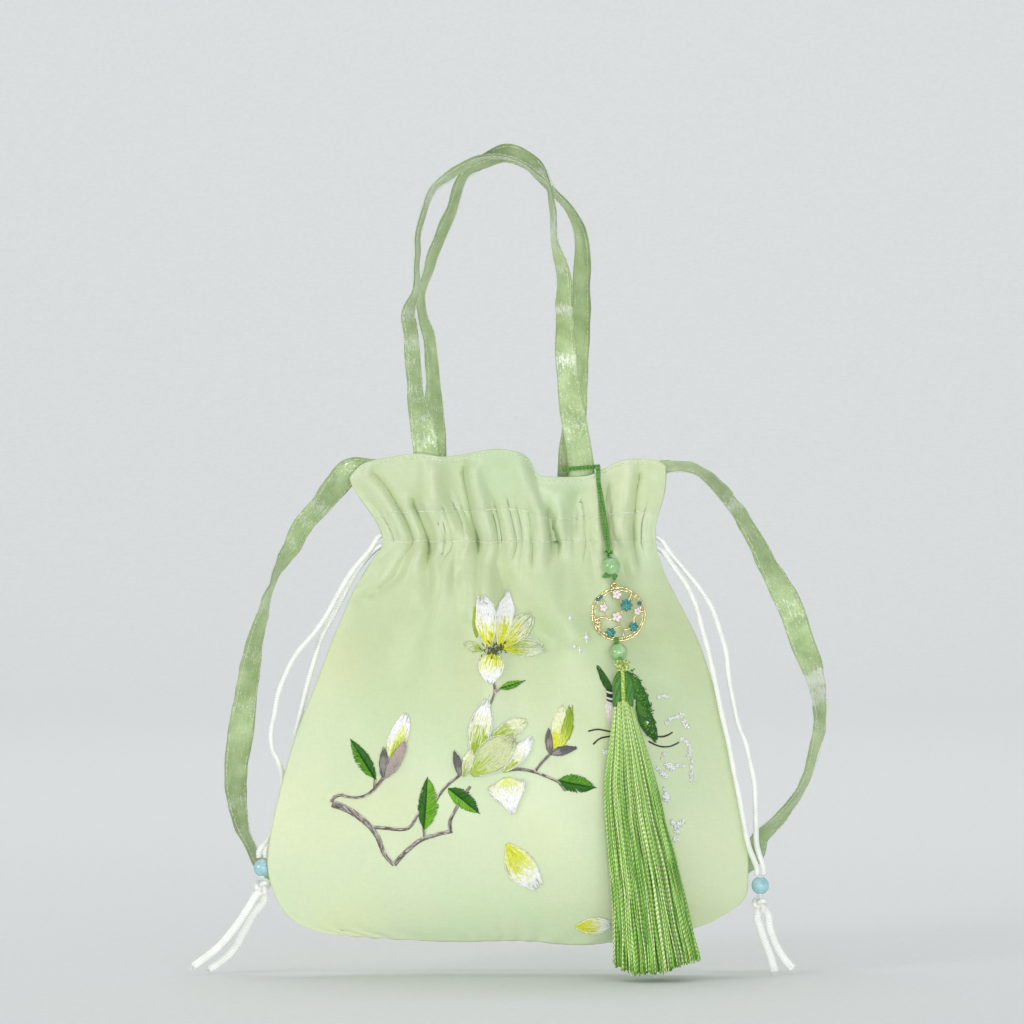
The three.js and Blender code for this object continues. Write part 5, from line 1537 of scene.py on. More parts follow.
class PURSE_OT_panels(bpy.types.Operator):
    """The two gathered cloth panels of the bag, their hems and rows of machine stitches"""

    bl_idname = "purse.panels"
    bl_label = "Cloth panels"

    def execute(self, context):
        sizes = sizes_of(context)
        bag = Bag(sizes)
        extra = soft_cloth(bag)
        material = cached("chiffon_over_satin", chiffon_material, colours_of(context))
        stitch = cached(
            "sewing_thread", floss_material, "sewing_thread", linear("#f2f8e2"), 0.8 * MM, 0.36, 0.9
        )
        for panel, name, width, tall in ((FRONT, "front", 220, 180), (BACK, "back", 140, 120)):
            verts, faces = self.panel_arrays(bag, panel, width, tall, extra)
            cloth = mesh_object(f"cloth_{name}", lowered(verts, bag), faces, materials=[material])
            settle(cloth, [f"{name}_panel"], "cloth")
            rows = self.stitch_rows(bag, panel, extra)
            stitches = mesh_object(f"stitch_rows_{name}", *rows, [stitch])
            settle(stitches, [], "cloth")
        return {"FINISHED"}

    def panel_arrays(self, bag, panel, width, tall, extra):
        """Outer and inner faces on one grid, closed by a rolled rim."""
        u = np.linspace(-1, 1, width + 1)
        body = int(tall * 0.5)
        low = np.linspace(0, 1, body + 1) ** 1.15 * bag.neck
        high = np.linspace(0, 1, tall - body + 1)[1:]
        grid_u = np.broadcast_to(u, (tall + 1, width + 1))
        wave_z = bag.height * along(BOTTOM_SEAM, "at", u, "rise")
        calm = 0.2 * bag.neck
        low_z = np.where(low[:, None] < calm, wave_z + low[:, None] * (calm - wave_z) / calm, low[:, None])
        high_z = bag.neck + high[:, None] * (bag.top_edge(panel, u)[None, :] - bag.neck)
        grid_z = np.vstack([low_z, high_z])
        outer = bag.outer(panel, grid_u, grid_z, extra=extra)
        inner = bag.inner(panel, grid_u, grid_z, extra=extra)
        wide = width + 1
        count = outer.shape[0] * wide
        j = np.arange(tall)[:, None]
        i = np.arange(width)[None, :]
        quad = np.stack(
            [j * wide + i, j * wide + i + 1, (j + 1) * wide + i + 1, (j + 1) * wide + i], -1
        ).reshape(-1, 4)
        if panel == BACK:
            quad = quad[:, ::-1]
        rim = [(0, k) for k in range(wide)]
        rim += [(k, width) for k in range(1, tall + 1)]
        rim += [(tall, k) for k in range(width - 1, -1, -1)]
        rim += [(k, 0) for k in range(tall - 1, 0, -1)]
        rim = np.array([a * wide + b for a, b in rim])
        after = np.roll(rim, -1)
        strip = np.stack([rim, rim + count, after + count, after], -1)
        if panel == BACK:
            strip = strip[:, ::-1]
        verts = np.vstack([outer.reshape(-1, 3), inner.reshape(-1, 3)])
        return verts, [np.vstack([quad, quad[:, ::-1] + count, strip])]

    def stitch_rows(self, bag, panel, extra):
        """Short machine stitches on the hem and on both edges of the casing."""
        pitch = 2.1 * MM
        paths = []
        ups = []
        for row in ("hem", "upper", "lower"):
            at = np.linspace(-0.985, 0.985, 400)
            if row == "hem":
                z = bag.top_edge(panel, at) - 1.7 * MM
            else:
                share = 0.0 if row == "lower" else bag.casing / bag.header
                z = bag.neck + share * (bag.top_edge(panel, at) - bag.neck)
            line = bag.outer(panel, at, z, extra=extra)
            length = run_along(line)
            count = int(length[-1] / pitch)
            for k in range(count):
                inside = (np.array([0.08, 0.3, 0.5, 0.7, 0.92]) + k) * pitch
                uu = np.interp(inside, length, at)
                zz = np.interp(inside, length, z)
                lift = np.array([-0.12, 0.16, 0.24, 0.16, -0.12]) * MM
                paths.append(
                    bag.outer(panel, uu, zz, extra=extra) + bag.normal(panel, uu, zz) * lift[:, None]
                )
                ups.append(bag.normal(panel, uu, zz))
        return many_threads(lowered(np.array(paths), bag), np.array(ups), 0.42 * MM, 0.34 * MM)


# Painted glints: places where the organza faces the light and is painted bright. x: millimetres from the
# middle, up: above the bottom seam.
PAINTED_GLINT_SPOTS = [
    ("handle_front", -44.1, 282.5, 4.5, 0.42),
    ("handle_front", -43.2, 270.1, 5.0, 0.45),
    ("handle_front", -42.1, 249.4, 3.0, 0.36),
    ("handle_front", -38.0, 226.7, 4.0, 0.36),
    ("handle_front", -32.9, 337.3, 12.0, 0.42),
    ("handle_front", 19.9, 320.4, 10.0, 0.5),
    ("handle_front", 24.6, 303.2, 3.2, 0.4),
    ("handle_front", 25.1, 285.1, 3.0, 0.52),
    ("handle_front", 26.6, 262.8, 3.6, 0.56),
    ("handle_front", 29.0, 232.0, 6.0, 0.28),
    ("handle_front", 9.6, 352.8, 4.0, 0.5),
    ("handle_back", 14.8, 346.6, 5.0, 0.45),
    ("handle_back", -34.0, 300.0, 5.0, 0.26),
    ("shoulder_loop", -86.0, 196.9, 4.0, 0.46),
    ("shoulder_loop", -92.1, 190.7, 3.0, 0.4),
    ("shoulder_loop", -110.7, 152.0, 4.0, 0.34),
    ("shoulder_loop", -121.5, 62.1, 4.0, 0.36),
    ("shoulder_loop", -118.4, 49.7, 3.5, 0.34),
    ("shoulder_loop", 100.4, 196.9, 5.0, 0.42),
    ("shoulder_loop", 112.0, 186.0, 4.0, 0.36),
    ("shoulder_loop", 139.2, 117.9, 5.0, 0.72),
    ("shoulder_loop", 140.0, 110.7, 4.5, 0.62),
    ("shoulder_loop", 121.4, 54.4, 4.0, 0.24),
]
# Painted shade: places where it turns away from the light or lies in a shadow, and is painted darker
PAINTED_SHADE_SPOTS = [
    ("shoulder_loop", -80.0, 203.0, 16.0, 0.2),
    ("shoulder_loop", -106.0, 172.0, 14.0, 0.1),
    ("shoulder_loop", -124.0, 70.0, 30.0, 0.1),
    ("shoulder_loop", 96.0, 204.0, 14.0, 0.16),
    ("shoulder_loop", 132.0, 62.0, 30.0, 0.1),
    ("handle_front", -44.0, 280.0, 10.0, 0.12),
    ("handle_back", 33.0, 280.0, 26.0, 0.14),
    ("handle_back", 0.0, 356.0, 30.0, 0.16),
    ("handle_front", 0.0, 352.0, 30.0, 0.08),
]


class PURSE_OT_straps(bpy.types.Operator):
    """Two hand straps and the long shoulder strap, cut from shot organza and edge stitched"""

    bl_idname = "purse.straps"
    bl_label = "Straps"

    def execute(self, context):
        sizes = sizes_of(context)
        bag = Bag(sizes)
        front = self.handle_path(bag, sizes, FRONT, FRONT_HANDLE, LEFT_LEG, RIGHT_LEG)
        back = self.handle_path(bag, sizes, BACK, BACK_HANDLE, -0.42, 0.35)
        self.strap(context, bag, "handle_front", "hand_strap_front", *front, 1)
        self.strap(context, bag, "handle_back", "hand_strap_back", *back, 2)
        z = SHOULDER_STRAP["up"] * bag.height
        side = SHOULDER_STRAP["side"]
        edge = np.where(side < 0, bag.side_edge(-1, z), bag.side_edge(1, z))
        x = side * (edge + SHOULDER_STRAP["out"] * bag.half_width)
        points = np.stack([x, SHOULDER_STRAP["deep"] * bag.half_depth, z], axis=1)
        self.strap(context, bag, "shoulder_loop", "shoulder_strap", points, side * SHOULDER_STRAP["turn"], 3)
        return {"FINISHED"}

    def handle_path(self, bag, sizes, panel, table, left, right):
        """Route of a hand strap between its two sewn ends, and how it turns."""
        middle = np.stack(
            [
                table["across"] * sizes.handle_span,
                table["deep"] * bag.half_depth,
                bag.height + table["up"] * sizes.handle_rise,
            ],
            axis=1,
        )
        legs = []
        for across in (left, right):
            x = across * sizes.handle_span
            top = float(bag.top_edge(panel, bag.across_at(x, bag.height - 6 * MM)))
            y = bag.sewn_to(panel, x, top, sizes.strap_width, 1 * MM)
            legs.append([[x, y, top - SEWN], [x, y, top + LEG_RISE]])
        points = np.vstack([legs[0], middle, legs[1][::-1]])
        turn = np.concatenate([[0, 0], table["turn"], [0, 0]])
        return points, turn

    def strap(self, context, bag, name, node, points, turn, seed):
        """A flat band with rounded folded edges, slight cupping and soft crinkles."""
        sizes = sizes_of(context)
        steps = max(120, int(path_length(points) / (1.1 * MM)))
        path = smooth_curve(points, steps)
        t = tangents(path)
        table = {"at": np.linspace(0, 1, len(turn)), "turn": np.asarray(turn, float)}
        at = np.linspace(0, 1, steps + 1)
        angle = np.radians(along(table, "at", at, "turn"))
        face0 = unit(np.array([0.0, -1.0, 0.0]) + t * t[:, 1:2])
        wide0 = np.cross(t, face0)
        cos = np.cos(angle)[:, None]
        sin = np.sin(angle)[:, None]
        face = face0 * cos + np.cross(t, face0) * sin
        wide = wide0 * cos + np.cross(t, wide0) * sin
        draw = np.random.default_rng(seed)
        length = run_along(path)
        half = sizes.strap_width / 2
        thick = sizes.strap_thickness / 2
        across = np.concatenate([np.linspace(-1, 1, 15), np.linspace(1, -1, 15)])
        side = np.concatenate([np.ones(15), -np.ones(15)])
        swell = np.sqrt(np.clip(1 - np.abs(across) ** 10, 0, 1)) * side
        ripple = np.zeros((steps + 1, 30))
        for _ in range(7):
            wave_mm = draw.uniform(9, 30)
            phase = draw.uniform(0, LOOSE_TURN)
            slant = draw.uniform(-1.4, 1.4)
            size = draw.uniform(0.05, 0.16)
            ripple += size * MM * np.sin(
                length[:, None] / MM * LOOSE_TURN / wave_mm + phase + slant * across[None, :]
            )
        narrow = 1 - 0.05 * np.abs(np.sin(length / MM * LOOSE_TURN / 61 + seed))[:, None]
        cup = 0.5 * MM * (across[None, :] ** 2) * np.sin(length / MM * LOOSE_TURN / 95 + seed)[:, None]
        seam = -0.16 * MM * np.exp(-(((np.abs(across) - 0.8) / 0.05) ** 2))[None, :] * side[None, :]
        verts = (
            path[:, None, :]
            + wide[:, None, :] * (half * across[None, :] * narrow)[..., None]
            + face[:, None, :] * (thick * swell[None, :] + ripple + cup + seam)[..., None]
        )
        uv = np.stack(
            [np.broadcast_to(across * 0.5 + 0.5, (steps + 1, 30)), np.repeat(length[:, None], 30, 1)], axis=-1
        )
        last = steps * 30
        faces = [ring_faces(steps + 1, 30), np.arange(30)[::-1][None, :], (last + np.arange(30))[None, :]]
        organza = cached("shot_organza", organza_material, colours_of(context))
        piece = mesh_object(
            name, lowered(verts.reshape(-1, 3), bag), faces, uv.reshape(-1, 2), materials=[organza]
        )
        # The painted glint and painted shade go into the strap's dye attribute
        colour_points(piece, self.sheen(name, path, length, across, draw))
        settle(piece, [node], "organza")
        stitches = self.edge_stitches(bag, name, path, wide, face, length, half, thick, narrow[:, 0])

    def sheen(self, name, path, length, across, draw):
        """How bright the organza's painted glints are and how dark its painted shade is, at each point of the
        strap.
        """
        # Painted glints: a few at random places along the strap, and the spots of the glint table
        glint = np.full(len(path), 0.05)
        for k in range(int(length[-1] / (22 * MM))):
            at = draw.uniform(0, length[-1])
            spot = draw.uniform(0.1, 0.3) * np.exp(-(((length - at) / draw.uniform(1.5 * MM, 5 * MM)) ** 2))
            glint = np.maximum(glint, spot)
        for spot in self.spots(PAINTED_GLINT_SPOTS, name, path):
            glint = np.maximum(glint, spot)
        # The green channel darkens the strap's colour: by a slow wave along it, by the painted shade spots
        # and towards its two edges
        body = 0.93 + 0.07 * np.sin(length / (31 * MM) + 2 * np.sin(length / (17 * MM)))
        for spot in self.spots(PAINTED_SHADE_SPOTS, name, path):
            body *= 1 - spot
        edge = 1 - 0.16 * np.abs(across) ** 12
        out = np.zeros((len(path), len(across), 3))
        out[..., 0] = glint[:, None]
        out[..., 1] = body[:, None] * edge[None, :]
        return out.reshape(-1, 3)

    def spots(self, table, name, path):
        """Strength along the strap of each of its places in a table."""
        for strap, x, up, reach, strength in table:
            if strap == name:
                away = np.hypot(path[:, 0] - x * MM, path[:, 2] - up * MM)
                yield strength * np.exp(-((away / (reach * MM)) ** 2))

    def edge_stitches(self, bag, name, path, wide, face, length, half, thick, narrow):
        """Two rows of small stitches, one along each edge, on both sides of the strap."""
        pitch = 2.4 * MM
        paths = []
        ups = []
        marks = np.arange(3 * MM, length[-1] - 3 * MM, pitch)
        inside = np.array([0.1, 0.35, 0.65, 0.9]) * pitch
        rise = np.array([-0.1, 0.14, 0.14, -0.1]) * MM

        def at(values, s):
            return np.stack([np.interp(s, length, values[:, k]) for k in range(3)], axis=-1)

        s = marks[:, None] + inside[None, :]
        centre = at(path, s)
        across = at(wide, s)
        front = at(face, s)
        tight = np.interp(s, length, narrow)[..., None]
        for edge in (-0.8, 0.8):
            for side in (-1, 1):
                up = front * side
                paths.append(centre + across * edge * half * tight + up * (thick + rise[None, :, None]))
                ups.append(up)
        arrays = many_threads(lowered(np.concatenate(paths), bag), np.concatenate(ups), 0.34 * MM, 0.3 * MM)
        thread = cached(
            "strap_thread", floss_material, "strap_thread", linear("#e2eecb"), 0.8 * MM, 0.36, 0.88
        )
        stitches = mesh_object(f"{name}_stitches", *arrays, [thread])
        return settle(stitches, [], "organza")


# Silk colours of the embroidery
SILK = {
    "white": "#feffff",
    "cream": "#f1f4cc",
    "lemon": "#e4ea62",
    "yellow": "#dfe112",
    "lime": "#a9c41c",
    "olive": "#8fac2c",
    "olivecream": "#d5deab",
    "sheer": "#dce7c4",
    "leaf_dark": "#205e08",
    "leaf_mid": "#3f8a0e",
    "leaf_lime": "#80c01f",
    "slate": "#62625f",
    "stone": "#a09a96",
    "rose": "#b8a5a0",
    "bark": "#9b938b",
    "bark_light": "#d0c8be",
    "bark_dark": "#6b655f",
    "pistil": "#4f5a34",
    "ink": "#26301f",
    "blush": "#f1ddd6",
}

# Petals and wings, in millimetres from the middle of the bag and above its bottom seam.
# foot and tip: ends of the petal's middle line. left, right: its half widths, seen from the foot.
# belly: share of its length where it is widest. Then its silks from the foot to the tip.
PETALS = [
    ((-13.3, 138.2), (-15.5, 151.9), 1.1, 1.3, 0.5, ("olive", "lime", "lime")),
    ((-10.8, 132.4), (-19.0, 135.4), 2.8, 2.6, 0.5, ("lime", "lime", "olivecream", "sheer")),
    ((-3.2, 133.2), (16.0, 132.6), 5.2, 3.4, 0.5, ("yellow", "lime", "olivecream", "sheer")),
    ((-3.4, 134.1), (10.6, 148.0), 5.2, 5.4, 0.56, ("yellow", "lemon", "cream", "sheer")),
    ((-4.6, 133.9), (-0.2, 157.6), 4.4, 4.3, 0.66, ("yellow", "lemon", "white", "white")),
    ((-8.8, 133.6), (-11.4, 155.4), 4.0, 4.7, 0.62, ("yellow", "lemon", "white", "white")),
    ((-7.2, 132.4), (-8.4, 118.8), 5.6, 5.2, 0.5, ("lime", "yellow", "lemon", "white", "white")),
    ((-8.1, 93.6), (7.0, 101.0), 3.4, 4.4, 0.66, ("lime", "lime", "olivecream", "cream")),
    ((-15.3, 84.2), (-9.6, 110.3), 4.7, 5.0, 0.46, ("olive", "lime", "cream", "white")),
    ((-19.8, 76.5), (-15.8, 87.8), 2.7, 2.7, 0.55, ("olive", "olivecream", "cream")),
    ((-2.2, 78.3), (9.9, 92.7), 3.1, 3.6, 0.6, ("lime", "cream", "white")),
    ((-15.8, 77.0), (1.8, 92.7), 7.7, 6.8, 0.6, ("lime", "olivecream", "olivecream")),
    ((-0.8, 76.0), (2.1, 60.8), 8.0, 9.2, 0.2, ("lemon", "white", "white")),
    ((21.2, 88.2), (24.5, 107.1), 3.8, 3.0, 0.45, ("yellow", "lemon", "cream", "cream")),
    ((22.9, 88.2), (27.4, 106.9), 1.2, 3.6, 0.5, ("lemon", "lime", "olive")),
    ((-53.1, 84.6), (-45.9, 103.0), 3.6, 2.2, 0.5, ("yellow", "white", "white")),
    ((-52.2, 84.6), (-44.6, 102.6), 1.8, 3.6, 0.5, ("lime", "lemon", "white")),
    ((-0.4, 46.4), (13.6, 27.6), 5.2, 8.2, 0.52, ("yellow", "lemon", "white")),
    ((30.2, 8.6), (45.9, 10.3), 3.6, 5.0, 0.5, ("yellow", "lemon", "white")),
    ((19.4, 86.0), (18.4, 96.8), 2.2, 1.1, 0.4, ("slate", "rose", "slate")),
    ((19.8, 86.4), (29.7, 89.1), 2.5, 1.8, 0.35, ("stone", "slate", "slate")),
    ((-55.4, 75.6), (-54.9, 88.2), 2.0, 2.2, 0.4, ("slate", "stone", "slate")),
    ((-54.5, 75.6), (-45.9, 91.8), 1.8, 3.1, 0.4, ("stone", "rose", "rose")),
    ((-21.2, 76.5), (-23.4, 86.9), 1.6, 2.0, 0.45, ("stone", "slate", "slate")),
    ((51.3, 123.8), (62.0, 107.5), 2.6, 3.6, 0.5, ("leaf_dark", "leaf_mid", "leaf_dark")),
    ((57.0, 109.8), (65.0, 92.6), 3.4, 3.0, 0.5, ("leaf_mid", "leaf_dark", "leaf_dark")),
    ((47.2, 112.0), (40.1, 124.7), 1.7, 1.5, 0.4, ("leaf_mid", "leaf_dark", "leaf_dark")),
    ((44.6, 112.4), (46.2, 98.4), 1.9, 1.9, 0.4, ("blush", "white", "blush")),
]
# Petals drawn round with a row of small white stitches, by their place in the list above
EDGED = (2, 7, 8, 10, 11)
# Petals of sheer thread, laid open over the cloth
SHEER = (1, 2, 3)
# Petals that run out to a point, with how sharply they do
POINTED = {12: 1.15, 4: 0.7, 8: 0.75}
# Sepals and wings follow in the list after this many petals
PETAL_COUNT = 19

# Leaves: foot, tip, left and right half widths, and the silks of their two halves
LEAVES = [
    ((-59.0, 74.7), (-69.8, 91.8), 3.3, 3.0, "leaf_mid", "leaf_dark"),
    ((-37.4, 52.6), (-36.0, 75.6), 3.0, 5.2, "leaf_dark", "leaf_lime"),
    ((-26.6, 71.1), (-13.1, 60.3), 4.0, 3.2, "leaf_dark", "leaf_lime"),
    ((22.1, 74.7), (38.7, 71.5), 3.8, 3.6, "leaf_mid", "leaf_dark"),
    ((-4.0, 115.7), (6.3, 118.4), 1.7, 1.7, "leaf_lime", "leaf_mid"),
]

# Twigs: width at the start and the end, then points, in millimetres
TWIGS = [
    (3.4, 2.0, [
        (-78.6, 63.4), (-73.6, 61.9), (-69.0, 59.6), (-64.6, 56.4), (-61.2, 53.2), (-59.0, 50.3),
        (-57.1, 46.8),
    ]),
    (2.2, 1.5, [(-58.4, 49.6), (-57.1, 46.2), (-55.8, 42.4), (-53.6, 39.1), (-50.9, 36.5)]),
    (2.0, 1.4, [
        (-50.9, 36.5), (-47.7, 40.4), (-44.6, 43.4), (-40.1, 47.2), (-36.9, 48.9), (-32.9, 50.0),
        (-29.7, 51.1), (-25.2, 51.9),
    ]),
    (1.5, 1.1, [(-25.4, 51.0), (-26.1, 55.8), (-24.3, 59.9), (-22.1, 63.9), (-19.8, 68.0), (-16.7, 72.0)]),
    (1.6, 0.9, [
        (-60.2, 53.2), (-57.1, 53.2), (-52.6, 52.8), (-47.7, 52.4), (-44.6, 52.9), (-42.3, 55.2),
        (-41.0, 58.1), (-38.9, 60.6),
    ]),
    (0.9, 1.1, [(-31.9, 66.0), (-29.7, 69.4), (-27.0, 72.5), (-24.3, 74.7), (-21.6, 76.7)]),
    (1.4, 0.8, [(-78.8, 63.9), (-78.3, 65.7), (-76.5, 67.0), (-73.4, 67.5)]),
    (1.3, 0.9, [
        (-54.6, 76.2), (-56.4, 74.2), (-58.4, 71.6), (-60.6, 69.2), (-63.6, 67.2), (-67.3, 66.2),
        (-71.3, 66.6), (-75.0, 67.4),
    ]),
    (0.9, 0.9, [(-59.0, 75.2), (-59.4, 71.0)]),
    (1.1, 1.1, [(-37.4, 53.4), (-37.1, 49.3)]),
    (1.0, 0.9, [(-6.8, 121.4), (-6.3, 117.5), (-5.9, 113.9), (-7.7, 109.4), (-9.0, 106.7)]),
    (0.8, 0.8, [(-6.0, 113.6), (-3.6, 116.0)]),
    (
        1.4,
        0.9,
        [(-1.4, 79.2), (3.1, 79.6), (8.1, 79.2), (13.1, 77.9), (18.0, 76.0), (22.9, 73.8), (25.7, 69.9)],
    ),
    (1.2, 1.0, [(11.7, 78.3), (15.3, 82.8), (19.4, 86.9)]),
]
FEELERS = [
    [(35.6, 96.3), (39.6, 97.2), (46.5, 95.9)],
    [(37.8, 90.5), (41.0, 93.2), (46.0, 94.1)],
    [(63.4, 94.4), (68.2, 93.4), (71.4, 94.2), (73.4, 95.4)],
    [(62.6, 91.6), (67.0, 89.4), (72.0, 89.0), (76.4, 90.9)],
]
STARS = [(27.4, 146.7, 1.6), (34.6, 138.2, 3.0), (31.9, 132.8, 2.4), (42.8, 86.9, 1.8), (29.6, 134.6, 1.5)]
# White sprigs: points of the stalk, then the size of the blossoms on it
SPRIGS = [
    ([(67.2, 111.2), (69.3, 112.0), (71.0, 111.0)], 0.7),
    ([(70.6, 99.4), (72.6, 101.4), (75.6, 102.3), (77.4, 103.0)], 0.8),
    ([(78.4, 99.8), (79.9, 98.0)], 1.2),
    ([(77.6, 92.2), (79.4, 91.0), (80.4, 89.4), (81.2, 87.0), (80.6, 84.2)], 0.8),
    ([(82.2, 82.4), (81.6, 79.6), (81.9, 76.4), (82.1, 73.6)], 0.8),
    ([(68.4, 84.0), (69.6, 86.0)], 0.6),
    ([(71.2, 81.0), (73.2, 79.8)], 1.8),
    ([(66.8, 79.4), (68.8, 77.2), (70.2, 76.2)], 1.3),
    ([(75.4, 80.7), (78.0, 80.3)], 0.7),
    ([(69.7, 70.0), (70.3, 68.4)], 0.9),
    ([(70.6, 66.8), (71.2, 65.8)], 1.7),
    ([(73.4, 55.2), (75.0, 53.6), (75.6, 51.0)], 1.4),
    ([(76.6, 54.6), (78.4, 55.8)], 1.3),
    ([(74.6, 48.0), (75.2, 47.2)], 0.9),
    ([(43.0, 87.4), (43.8, 86.6)], 0.9),
]


def silk(name):
    return np.array(linear(SILK[name]))


def swell(share, belly, tip=0.5):
    """Outline of a petal from foot to tip: 0 at both ends and 1 at its belly. A small tip value is blunt."""
    low = np.sin(np.pi / 2 * np.clip(share / belly, 0, 1)) ** 0.8
    high = np.cos(np.pi / 2 * np.clip((share - belly) / (1 - belly), 0, 1)) ** tip
    return np.where(share < belly, low, high)


def middle_line(foot, tip):
    """Foot, direction, sideways direction and length of a petal's middle line."""
    foot = np.array(foot)
    way = np.array(tip) - foot
    length = np.hypot(*way)
    way = way / length
    return foot, way, np.array([way[1], -way[0]]), length


class Embroidery:
    """Stitches in millimetres on the front panel, kept until they are made into one mesh."""

    def __init__(self, seed):
        self.draw = np.random.default_rng(seed)
        self.starts = []
        self.ends = []
        self.dyes = []
        self.lifts = []
        self.bends = []
        self.thick = []

    def lay(self, start, end, dye, level, bend=0.0, thick=1.0):
        """Adds stitches from their starts to their ends. No two keep quite the same colour and height."""
        count = len(start)
        self.starts.append(start)
        self.ends.append(end)
        shade = 1 + self.draw.normal(0, 0.045, (count, 1))
        self.dyes.append(np.clip(np.broadcast_to(dye, (count, 3)) * shade, 0, 1))
        self.lifts.append(np.full(count, level) + self.draw.uniform(0, 0.05, count))
        self.bends.append(np.broadcast_to(bend, (count,)))
        self.thick.append(np.full(count, thick))

    def petal(self, foot, tip, left, right, belly, silks, level, sheer=False, sharp=0.5, pad=False):
        """Long and short stitches from foot to tip, or the coarse padding under them."""
        foot, way, side, length = middle_line(foot, tip)
        gap = 0.62 if pad else 0.27 if sheer else 0.185
        lanes = max(3, int((left + right) / gap))
        rows = max(2, int(round(length / 3.6)))
        q = np.linspace(-0.98, 0.98, lanes)[:, None] + self.draw.uniform(-0.03, 0.03, (lanes, rows))
        middle = (np.arange(rows)[None, :] + 0.5 + self.draw.uniform(-0.3, 0.3, (lanes, rows))) / rows
        reach = self.draw.uniform(0.62, 0.95, (lanes, rows)) / rows
        keep = self.draw.uniform(0, 1, (lanes, rows)) < 0.35 + 0.65 * swell(middle, belly, sharp)
        low = np.maximum(0, middle - reach)[keep]
        high = (middle + reach)[keep]
        high = np.minimum(high, 0.88 if pad else 1 + self.draw.uniform(-0.12, 0.12, high.shape))
        low = np.minimum(low, high - 0.02)
        q = q[keep]
        middle = middle[keep]
        # The edge is ragged, because no two stitches end alike
        wide = np.where(q < 0, left, right) * q * (0.86 if pad else self.draw.uniform(0.88, 1.1, q.shape))

        def place(share):
            spread = np.maximum(swell(np.clip(share, 0, 0.97), belly, sharp), 0.1)
            return foot + np.outer(share * length, way) + (wide * spread)[:, None] * side

        tone = np.clip(middle + self.draw.normal(0, 0.13, middle.shape), 0, 1)
        colours = np.array([silk(name) for name in silks])
        stops = np.linspace(0.1, 0.82, len(silks))
        dye = np.stack([np.interp(tone, stops, colours[:, k]) for k in range(3)], axis=1)
        rim = (np.abs(q) > 0.86)[:, None]
        dye = np.where(rim, 0.5 * dye + 0.5 * colours[-1], dye)
        self.lay(place(low), place(high), dye, level, 0.0, 2.2 if pad else 1.0)

    def outline(self, foot, tip, left, right, belly, colour, level):
        """Small stitches end to end along both sides of a petal."""
        foot, way, side, length = middle_line(foot, tip)
        count = int(length / 1.0)
        share = np.linspace(0.12, 0.97, count)
        for width in (-left, right):
            edge = foot + np.outer(share * length, way) + (width * swell(share, belly))[:, None] * side
            out = unit(np.gradient(edge, axis=0))
            self.lay(edge - out * 0.42, edge + out * 0.34, silk(colour), level + 0.12, thick=1.1)

    def leaf(self, foot, tip, left, right, first, second, level):
        """Slanting stitches on each half of a leaf and a row along its vein."""
        foot, way, side, length = middle_line(foot, tip)
        count = int(length / 0.22)
        for width, name in ((-left, first), (right, second)):
            for turn in range(2):
                share = np.linspace(0.0, 0.94, count) + self.draw.uniform(-0.012, 0.012, count)
                start = foot + np.outer(np.clip(share, 0, 1) * length, way)
                ahead = np.clip(share + 0.13 + self.draw.uniform(0, 0.05, count), 0, 1.02)
                reach = (
                    0.55 if turn == 0 else self.draw.uniform(0.84, 1.16, count)
                ) * width * swell(ahead, 0.46, 0.72)
                end = foot + np.outer(ahead * length, way) + reach[:, None] * side
                other = silk("leaf_mid" if name != "leaf_mid" else "leaf_lime")
                mix = np.clip(self.draw.normal(0.22, 0.2, count), 0, 1)[:, None]
                self.lay(start, end, silk(name) * (1 - mix) + other * mix, level + 0.1 * turn, 0.25)
        vein = np.linspace(0.02, 0.9, max(3, int(length / 2.4)))
        start = foot + np.outer(vein * length, way)
        self.lay(start, start + way * length / len(vein) * 1.05, silk("leaf_dark") * 0.7, level + 0.3, 0.0)

    def twig(self, wide_start, wide_end, points, level, names=("bark", "bark_light", "bark_dark"), step=3.2):
        """Rows of running stitches side by side along a line, narrowing from its start to its end."""
        flat = np.column_stack([np.array(points), np.zeros(len(points))])
        line = even_curve(flat, max(12, int(path_length(flat) * 2)))[:, :2]
        length = run_along(line)
        out = unit(np.gradient(line, axis=0))
        out = np.stack([out[:, 1], -out[:, 0]], axis=1)
        lanes = max(2, int(round(max(wide_start, wide_end) / 0.29)))
        for lane in np.linspace(-1, 1, lanes):
            starts = np.arange(-self.draw.uniform(0, step), length[-1], step * 0.62)
            ends = np.minimum(starts + step * self.draw.uniform(0.85, 1.1, len(starts)), length[-1])
            starts = np.maximum(starts, 0)
            keep = ends - starts > 0.5
            starts, ends = starts[keep], ends[keep]

            def place(s, drift):
                wide = np.interp(
                    s, [0, length[-1]], [wide_start, wide_end]
                ) / 2 * np.clip(lane + drift, -1, 1)
                middle, across = (
                    np.stack([np.interp(s, length, v[:, k]) for k in range(2)], 1) for v in (line, out)
                )
                return middle + wide[:, None] * across

            drift = 0.24 if wide_start > 1.5 else 0.0
            pick = self.draw.uniform(0, 1, len(starts)) + 0.3 * lane
            dye = np.where(
                (pick < 0.25)[:, None],
                silk(names[1]),
                np.where((pick > 0.72)[:, None], silk(names[2]), silk(names[0])),
            )
            self.lay(place(starts, -drift), place(ends, drift), dye, level)

    def star(self, x, z, size, level):
        """Four crossed stitches, the upright one longest."""
        for angle in (0, 90, 45, 135):
            reach = size * (0.5 if angle in (0, 90) else 0.24)
            way = np.array([math.cos(math.radians(angle + 8)), math.sin(math.radians(angle + 8))])
            if angle == 90:
                reach *= 1.5
            middle = np.array([x, z])
            self.lay(
                (middle - way * reach)[None], (middle + way * reach)[None], silk("white"), level, thick=1.9
            )

